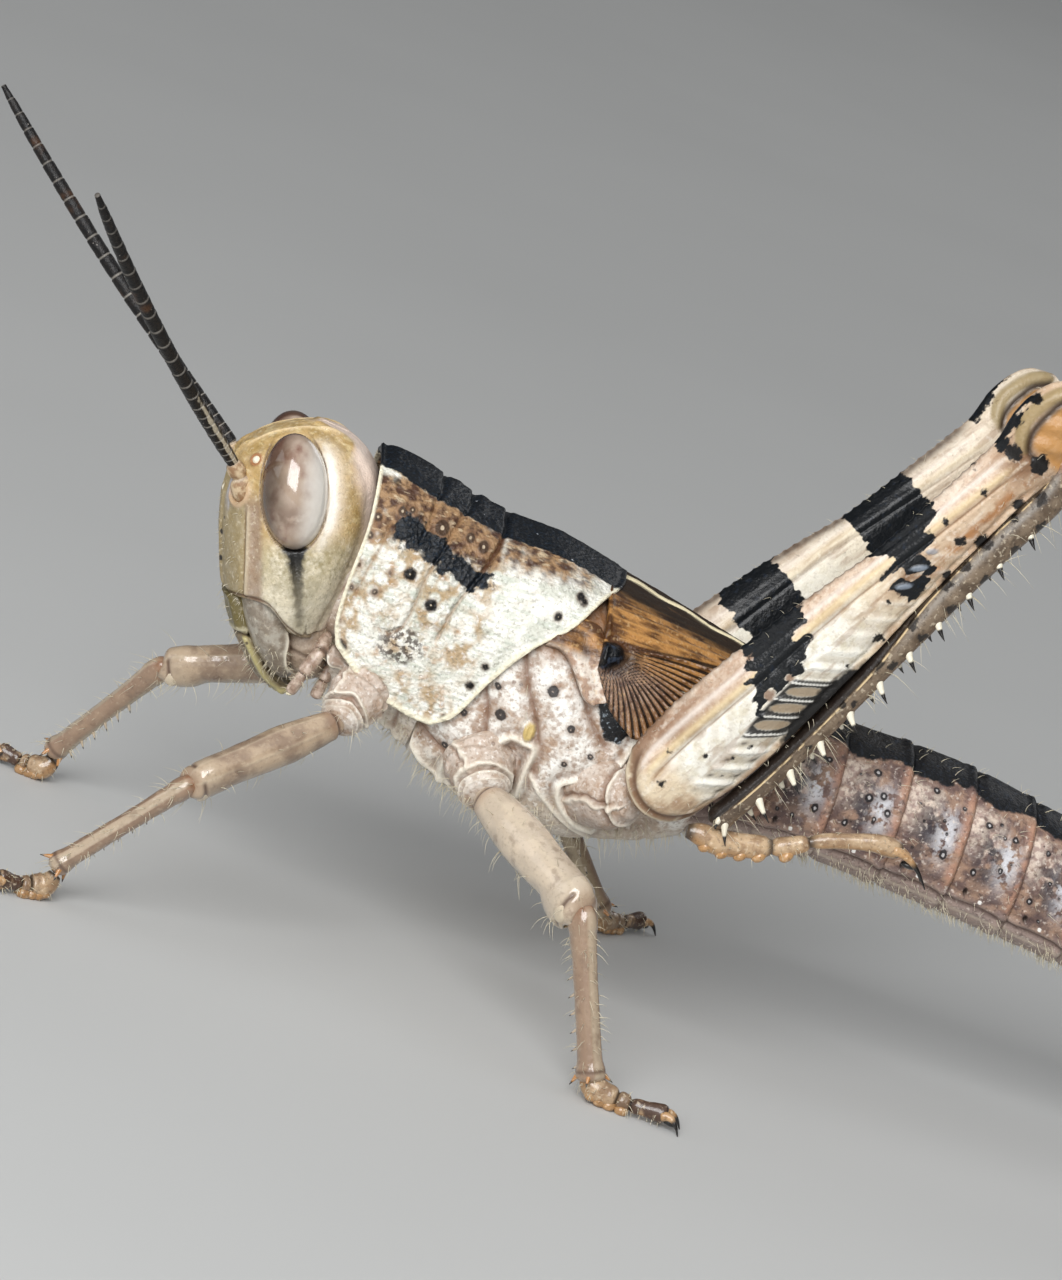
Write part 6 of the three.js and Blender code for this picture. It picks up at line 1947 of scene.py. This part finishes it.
def hind_tarsus(name):
    """The hind foot, held clear of the floor: scalloped pads, three joints and claws."""
    frame, side = HindFrame(name), SIDES[name]
    start = frame.at(TIBIA_FOOT, tibia_drop(TIBIA_FOOT)) - frame.along * 0.75
    back, up = HIND[name]["drift"]
    end = start + [back, side * -0.35, up]
    rise = curve((-0.06, 0.18), (0, 0.12), (0.12, -0.12), (0.36, -0.1), (0.46, 0.02), (0.6, 0.3),
                 (0.85, 0.42), (0.95, 0.3), (1.2, -0.25))

    def at(t):
        return start + (end - start) * t * 0.94 + [0, 0, float(rise(t))]

    way = unit(end - start)
    out = unit(np.cross(way, (0, 0, 1)))
    shell = Shell()
    foot_parts(shell, at, out, np.cross(out, way), 1.05, HANGING_PADS, -9, 0.0, 0.75)
    return shell.make(f"hind_{name}_tarsus", foot_paint(), "foot", f"hind_{name}_foot")


HIND_COXA = [(3.9, 2.6, 8.5, 1.42, 1.32), (4.2, 3.3, 8.48, 1.42, 1.32), (4.5, 3.95, 8.55, 1.2, 1.1),
             (4.72, 4.3, 8.65, 1.0, 0.9), (4.95, 4.6, 8.75, 0.82, 0.75), (5.1, 4.9, 8.8, 0.6, 0.55)]


def hind_hip(name):
    """The short coxa that carries the femur, with its folds of skin."""
    side = SIDES[name]
    grid, along, angle = limb(mirrored(HIND_COXA, side), "hind coxa")
    z = grid[..., 2]
    wander = rough(grid, 0.9, 3, 162)
    fold = np.abs(np.mod(angle + (0.6 if side > 0 else 2.2) + 0.4 * wander, 2 * np.pi) - np.pi) - 0.9
    crease = hump(fold, 0, 0.07) * ease(along, 0.95, 0.8) + hump(along + 0.05 * wander, 0.74, 0.03)
    ridge = hump(fold, 0.18, 0.08) + hump(along + 0.05 * wander, 0.8, 0.03)
    height = -0.13 * crease + 0.09 * ridge + 0.07 * rough(grid, 0.7, 3, 161)
    shell = Shell()
    shell.sheet(raised(grid, height), flesh=0.75, seam=np.clip(crease, 0, 1), low=0.4,
                ridge=0.7 * np.clip(ridge, 0, 1), shade=0.5 * ease(z, 8.6, 7.6))
    return shell.make(f"hind_{name}_hip_joint", wall_paint(), "pleura", f"hind_{name}_coxa")


# ---------------------------------------------------------------- mouth parts
labrum_front = curve((-5.05, 0.35), (-4.94, 0.5), (-4.52, 0.97), (-3.93, 1.31), (-3.37, 1.56),
                     (-2.85, 1.78), (-2.29, 1.93), (-1.73, 2.06), (-1.55, 2.12))
LABRUM_DEEP = 0.5
labrum_half = curve((-5.05, 0.35), (-4.9, 0.72), (-4.4, 1.1), (-3.6, 1.36), (-2.9, 1.4), (-2.75, 1.34),
                    (-1.9, 1.34), (-1.55, 1.25))
HEAD_AXES = [HEAD_FORE, Y_AXIS, HEAD_UP]


def from_head(grid):
    """Places in the head's own measures: forward, across and up."""
    return (grid - in_head(0, 0, 0)) @ np.array(HEAD_AXES).T


def lip():
    """Clypeus and labrum: two plates down the front of the mouth, rimmed at the sides."""
    rows, columns = GRIDS["lip"]
    h = np.linspace(-5.05, -1.55, rows)
    grid = rings(vec(labrum_front(h) - LABRUM_DEEP, 0, h), X_AXIS, Y_AXIS,
                 LABRUM_DEEP, 0.25, labrum_half(h), even_turns(columns, 2.3, 0.45, 1.3), 2.3)
    f, y, h = (grid[..., k] for k in range(3))
    edge = labrum_half(h) - np.abs(y)
    below = ease(h, -2.85, -2.95)
    behind = labrum_front(h) - f
    rim = hump(behind, LABRUM_DEEP - 0.1, 0.1) * below + hump(h, -4.95, 0.08)
    height = -0.14 * hump(h, -2.86, 0.07) + 0.09 * rim + 0.05 * hump(h, -2.7, 0.1)
    height -= 0.06 * hump(y, 0, 0.3) * ease(h, -3.2, -4.2) + 0.05 * hump(edge, 0.22, 0.08) * below
    height += 0.05 * hump(np.abs(y), 0.55, 0.25) * hump(h, -2.2, 0.4)
    height += 0.1 * hump(edge, 0.1, 0.15) * ease(h, -2.8, -2.5)
    grid = raised(in_head(f, y, h), height)
    grow(grid, 130, ease(f, 0.4, 1.2), (0.15, 0.34), -HEAD_UP)
    shell = Shell()
    shell.sheet(grid, rim=rim, tan=1 - below, seam=hump(h, -2.86, 0.05), pale=hump(h, -2.72, 0.1),
                shade=below * ease(behind, 0.4, 0.25), speck=1.0)
    return shell.make("upper_lip", mouth_paint(), "horn", "labrum")


def jaw(name):
    """A mandible: one smooth plate that slopes back under the cheek, with a pale ridge behind."""
    side, lean = SIDES[name], math.radians(17)
    slope = math.cos(lean) * HEAD_UP + math.sin(lean) * HEAD_FORE
    fore = math.cos(lean) * HEAD_FORE - math.sin(lean) * HEAD_UP
    grid = ball(in_head(0.52, side * 1.15, -2.35), [0.8, 1.18, 2.1], [fore, Y_AXIS, slope], "jaw")
    local = from_head(grid)
    f, h = local[..., 0], local[..., 2]
    ridge = smooth([(-0.02, -2.6), (-0.07, -2.95), (0.01, -3.42), (-0.05, -3.87), (-0.2, -4.05)], 16)
    arc = from_line(f, h, ridge)
    behind = ease(f - np.interp(h, ridge[::-1, 1], ridge[::-1, 0]), 0.0, -0.15)
    height = 0.07 * hump(arc, 0, 0.07) - 0.2 * behind + 0.025 * rough(grid, 0.5, 3, 171)
    grid = raised(grid, height)
    grow(grid, 60, ease(h, -2.8, -3.6) * (side * local[..., 1] > 1.2), (0.12, 0.28), -HEAD_UP)
    shell = Shell()
    shell.sheet(grid, arc=hump(arc, 0, 0.05), lilac=1.0, dark=ease(h, -4.0, -4.4), palp=0.7 * behind,
                tan=0.7 * ease(h + 0.4 * rough(grid, 0.5, 3, 172), -2.9, -3.6),
                shade=0.9 * ease(h, -3.0, -4.0))
    return shell.make(f"mandible_{name}_plate", mouth_paint(), "horn", f"mandible_{name}")


def finger(shell, corners, radii, **marks):
    """A palp: joints with dark seams between them."""
    for start, end, radius in zip(corners[:-1], corners[1:], radii):
        shares = ((-0.06, 0.5), (0.04, 0.86), (0.3, 0.98), (0.7, 1.05), (0.94, 0.96), (1.03, 0.6))
        stations = [(start + (end - start) * t, radius * q, radius * q) for t, q in shares]
        grid, along, _ = limb(stations, "palp")
        grow(grid, 24, 1.0 + 0 * along, (0.08, 0.2), end - start)
        shell.sheet(raised(grid, 0.015 * rough(grid, 0.2, 2, 181)), palp=1.0,
                    seam=0.7 * np.maximum(ease(along, 0.08, 0.01), ease(along, 0.94, 0.99)), **marks)


def outer_jaw(name):
    """A maxilla with its palp, and the fold of skin over it."""
    side = SIDES[name]
    grid = ball(in_head(-0.75, side * 1.15, -3.2), [0.75, 0.75, 1.2], HEAD_AXES, "outer jaw")
    local = from_head(grid)
    seam = hump(local[..., 2] + 3.2 - 0.4 * local[..., 0], 0, 0.06)
    shell = Shell()
    shell.sheet(raised(grid, -0.06 * seam + 0.04 * rough(grid, 0.4, 3, 183)), lilac=0.5, palp=0.6,
                seam=0.8 * seam, shade=0.25)
    fold = ball(in_head(-0.4, side * 2.02, -2.55), [0.5, 0.22, 0.17],
                [unit(HEAD_FORE + 0.35 * HEAD_UP), Y_AXIS, unit(HEAD_UP - 0.35 * HEAD_FORE)],
                "jaw fold")
    shell.sheet(raised(fold, 0.02 * rough(fold, 0.25, 2, 184)), palp=0.3, tan=0.5, shade=0.2)
    corners = [in_head(*p) for p in ((-1.35, side * 1.3, -2.9), (-1.2, side * 2.0, -3.25),
                                     (-0.6, side * 2.12, -4.0), (-0.16, side * 2.02, -4.68))]
    finger(shell, corners, [0.27, 0.25, 0.19])
    tip = ball(corners[-1] - 0.03 * HEAD_UP, [0.15, 0.15, 0.07], HEAD_AXES, "palp tip")
    shell.sheet(tip, pale=1.4)
    return shell.make(f"maxilla_{name}_plate", mouth_paint(), "horn", f"maxilla_{name}")


def lower_lip():
    """The labium, with a pair of palps."""
    grid = ball(in_head(-1.75, 0, -3.5), [0.5, 1.1, 1.35], HEAD_AXES, "lower lip")
    local = from_head(grid)
    seam = hump(local[..., 1], 0, 0.05) * ease(local[..., 2], -3.4, -3.6) + hump(local[..., 2], -3.4, 0.05)
    grid = raised(grid, -0.08 * seam + 0.03 * rough(grid, 0.4, 3, 185))
    grow(grid, 70, ease(local[..., 0], -1.8, -2.0), (0.15, 0.35), -HEAD_UP)
    shell = Shell()
    shell.sheet(grid, lilac=0.5, seam=0.8 * np.clip(seam, 0, 1), speck=1.0)
    for side in SIDES.values():
        corners = [in_head(*p) for p in ((-1.9, side * 0.7, -3.7), (-1.5, side * 1.3, -4.0),
                                         (-1.28, side * 1.42, -4.45), (-1.02, side * 1.4, -5.02))]
        finger(shell, corners, [0.22, 0.2, 0.2])
    return shell.make("lower_lip", mouth_paint(), "horn", "labium")


@cache
def mouth_paint():
    paint = Paint("mouth_horn", IOR=1.5, Coat_Weight=0.2, Coat_Roughness=0.2)
    base = paint.over(
        paint.blend("9c8f72", "7a6c52", 0.4),
        ("615628", "tan", 0.88),
        (paint.blend("a9a295", "85796a", 0.35, 0.4, 0.6, 2.0), "lilac"),
        (paint.blend("c6b2a2", "98806f", 0.3, 0.38, 0.62, 3.0), "palp"),
        ("665540", "shade", 0.65),
        *paint.grains("5d4f3e", "e6dcc6", 0.12, 0.35),
        ("b9ae7a", "rim", 0.9),
        ("e8e0c2", "pale", 0.6),
        ("efe8d4", "arc", 0.85),
        ("2c2018", "dark", 0.85),
        ("422c1f", "seam", 0.85),
        ("3a2b20", paint.times(paint.freckles(0.4, 0.35, 0.08), "speck"), 0.8))
    return paint.finish(base, paint.noise(0.08, 3.0, 11.0), 0.025, (0.3, 0.25, 0.22))


# ---------------------------------------------------------------- fine hairs
HAIR_RADIUS = 0.015
HAIR_ROWS, HAIR_SIDES = 5, 3
HAIR_CELLS = 9  # the unwrapped surfaces lie in a square of this many cells each way
HAIR_PATCH = 0.003
HAIR_SPREAD = 0.35  # how far hairs stray from straight up
HAIR_ROOT = -0.06  # share of a hair's length at which it starts, under the skin
HAIR_TAPER = 0.85
ASKEW = np.array([0.31, 0.83, 0.47])  # a direction along which no hair runs


def grow(grid, count, weight, length, lean):
    """Asks for hairs over a grid of points, more where the weight is high.

    Their length is between two limits, and they bend towards lean.
    """
    coat.append((grid, count, np.broadcast_to(weight, grid.shape[:2]), length, np.asarray(lean, float)))


def planted(pick, grid, count, weight, length, lean):
    """Rings of the hairs on one grid, and the place of each on that grid, unwrapped."""
    chance = np.clip(weight, 0, None).ravel() + 1e-9
    area = np.linalg.norm(np.cross(np.roll(grid, -1, 1) - grid, np.gradient(grid, axis=0)), axis=-1)
    chance = chance * area.ravel()
    chosen = pick.choice(len(chance), count, p=chance / chance.sum())
    root = grid.reshape(-1, 3)[chosen]
    normal = facing(grid).reshape(-1, 3)[chosen]
    long = pick.uniform(*length, count)[:, None]
    way = unit(normal + HAIR_SPREAD * pick.normal(size=(count, 3)))
    bend = unit(lean) * pick.uniform(0.2, 0.6, (count, 1))
    t = np.linspace(HAIR_ROOT, 1, HAIR_ROWS)
    path = (root[:, None] + way[:, None] * (long * t)[..., None]
            + bend[:, None] * (long * t ** 2 * np.sign(t))[..., None])
    path[..., 2] = np.maximum(path[..., 2], HAIR_RADIUS)
    along = unit(np.gradient(path, axis=1))
    first = unit(np.cross(along, unit(ASKEW)))
    second = np.cross(along, first)
    turn = turns(HAIR_SIDES)
    round_it = first[:, :, None] * np.cos(turn)[:, None] + second[:, :, None] * np.sin(turn)[:, None]
    thin = (HAIR_RADIUS * (1 - HAIR_TAPER * np.clip(t, 0, 1)))[None, :, None, None]
    row, column = np.divmod(chosen, grid.shape[1])
    place = np.stack([column / grid.shape[1], row / grid.shape[0]], -1)
    return path[:, :, None] + round_it * thin, place


def hairs():
    """All the hairs that the parts asked for, as one piece of thin bent cones."""
    pick = np.random.default_rng(7)
    points, patches = [], []
    for index, wish in enumerate(coat):
        cones, place = planted(pick, *wish)
        points.append(cones)
        cell = np.array([index % HAIR_CELLS, index // HAIR_CELLS])
        patches.append((cell + (place * 0.96 + 0.02)) / HAIR_CELLS)
    points, patches = np.concatenate(points), np.concatenate(patches)
    size = HAIR_ROWS * HAIR_SIDES
    start = np.arange(len(points))[:, None, None] * size
    at = np.arange(size).reshape(HAIR_ROWS, HAIR_SIDES)
    quads = (start + squares(np.concatenate([at, at[:, :1]], 1))[None]).reshape(-1, 4)
    caps = (start + np.stack([at[0][::-1], at[-1]])[None]).reshape(-1, 3)
    shell = Shell()
    shell.place(points.reshape(-1, 3), {})
    shell.quads.append(quads)
    shell.triangles.append(caps)
    piece = shell.make("fine_hairs", hair_paint(), "leg")
    corner = np.zeros(len(quads) * 4 + len(caps) * 3, int)
    piece.data.loops.foreach_get("vertex_index", corner)
    hair, within = np.divmod(corner, size)
    row, column = np.divmod(within, HAIR_SIDES)
    offset = np.stack([column / (HAIR_SIDES - 1), row / (HAIR_ROWS - 1)], -1) - 0.5
    layer = piece.data.uv_layers.new(name="OFBake")
    layer.data.foreach_set("uv", (patches[hair] + offset * HAIR_PATCH).astype(np.float32).ravel())


def hair_paint():
    paint = Paint("hair", Roughness=0.35, IOR=1.5)
    return paint.finish(paint.mix("e9e3cf", "c9bc9c", paint.noise(3.0, 2.0)))


# ---------------------------------------------------------------- stage
CAMERA_AZIMUTH, CAMERA_ELEVATION, CAMERA_ROLL = (math.radians(a) for a in (-8, 13, 19))
CAMERA_DISTANCE = 190.0
PIXELS_PER_MM = 29.5
PHOTO_WIDE, PHOTO_HIGH = 1062, 1280
TARGET = np.array([0, 0, 10.9])
TARGET_PIXEL = (500, 660)
SENSOR = 36.0
LIT = (0, 0, 0.012)  # where the lamps aim, in metres
FLOOR_REACH = 8.0


def camera():
    """A long lens at the left side, rolled so that the floor falls away to the right."""
    a, e = CAMERA_AZIMUTH, CAMERA_ELEVATION
    back = np.array([math.sin(a) * math.cos(e), -math.cos(a) * math.cos(e), math.sin(e)])
    level = unit(np.cross(-back, (0, 0, 1)))
    top = np.cross(level, -back)
    right = level * math.cos(CAMERA_ROLL) + top * math.sin(CAMERA_ROLL)
    up = top * math.cos(CAMERA_ROLL) - level * math.sin(CAMERA_ROLL)
    aside = (TARGET_PIXEL[0] - PHOTO_WIDE / 2) / PIXELS_PER_MM
    above = (PHOTO_HIGH / 2 - TARGET_PIXEL[1]) / PIXELS_PER_MM
    place = (TARGET + SHIFT + back * CAMERA_DISTANCE - right * aside - up * above) * MM
    lens = bpy.data.cameras.new("camera")
    lens.sensor_width = SENSOR
    lens.lens = SENSOR * PIXELS_PER_MM * CAMERA_DISTANCE / PHOTO_HIGH
    lens.clip_start, lens.clip_end = 0.01, 20
    view = show("camera", lens)
    turned = np.stack([right, up, back, place], 1).tolist()
    view.matrix_world = Matrix([*turned, [0, 0, 0, 1]])
    bpy.context.scene.camera = view


def lamp(name, place, size, power):
    """A rectangular lamp that shines on the animal."""
    light = bpy.data.lights.new(name, "AREA")
    light.shape = "RECTANGLE"
    light.size, light.size_y = size
    light.energy = power
    thing = show(name, light)
    thing.location = Vector(place)
    thing.rotation_mode = "QUATERNION"
    thing.rotation_quaternion = (Vector(LIT) - Vector(place)).to_track_quat("-Z", "Y")


def studio():
    """Three soft lamps, a wide soft sun from above and a faint even glow."""
    lamp("key", (-0.09, -0.26, 0.17), (0.2, 0.21), 1.12)
    lamp("rim", (0.2, 0.3, 0.2), (0.15, 0.15), 0.1)
    lamp("fill", (-0.35, -0.05, 0.12), (0.2, 0.2), 0.15)
    sky = bpy.data.lights.new("sky", "SUN")
    sky.energy = 0.65
    sky.angle = math.radians(80)
    show("sky", sky).rotation_euler = (math.radians(12), math.radians(8), 0)
    world = bpy.data.worlds.new("studio")
    world.use_nodes = True
    glow = world.node_tree.nodes["Background"].inputs
    glow["Color"].default_value = (0.9, 0.92, 0.95, 1)
    glow["Strength"].default_value = 0.11
    bpy.context.scene.world = world
    bpy.context.scene.view_settings.view_transform = "Standard"


def floor():
    """A pale floor, far wider than the view."""
    mesh = bpy.data.meshes.new("floor")
    corners = [(FLOOR_REACH * x, FLOOR_REACH * y, 0) for x, y in ((-1, -1), (1, -1), (1, 1), (-1, 1))]
    mesh.from_pydata(corners, [], [(0, 1, 2, 3)])
    paint = Paint("floor", Roughness=0.7)
    mesh.materials.append(paint.finish(paint.mix("c9cac9", "c2c3c2", paint.noise(30.0, 2.0))))
    show("floor", mesh)


camera()
studio()
floor()
pronotum()
head()
thorax()
breast()
nape()
tail()
for i in range(len(RING_ENDS) - 1):
    ring(i)
for name in SIDES:
    eye(name)
    feeler(name)
    hind_pad(name)
    fore_pad(name)
    hind_thigh(name)
    hind_shin(name)
    hind_tarsus(name)
    hind_hip(name)
for name in LEGS:
    hip_joint(name)
    thigh(name)
    shin(name)
    standing_foot(name)
lip()
lower_lip()
for name in SIDES:
    jaw(name)
    outer_jaw(name)
hairs()
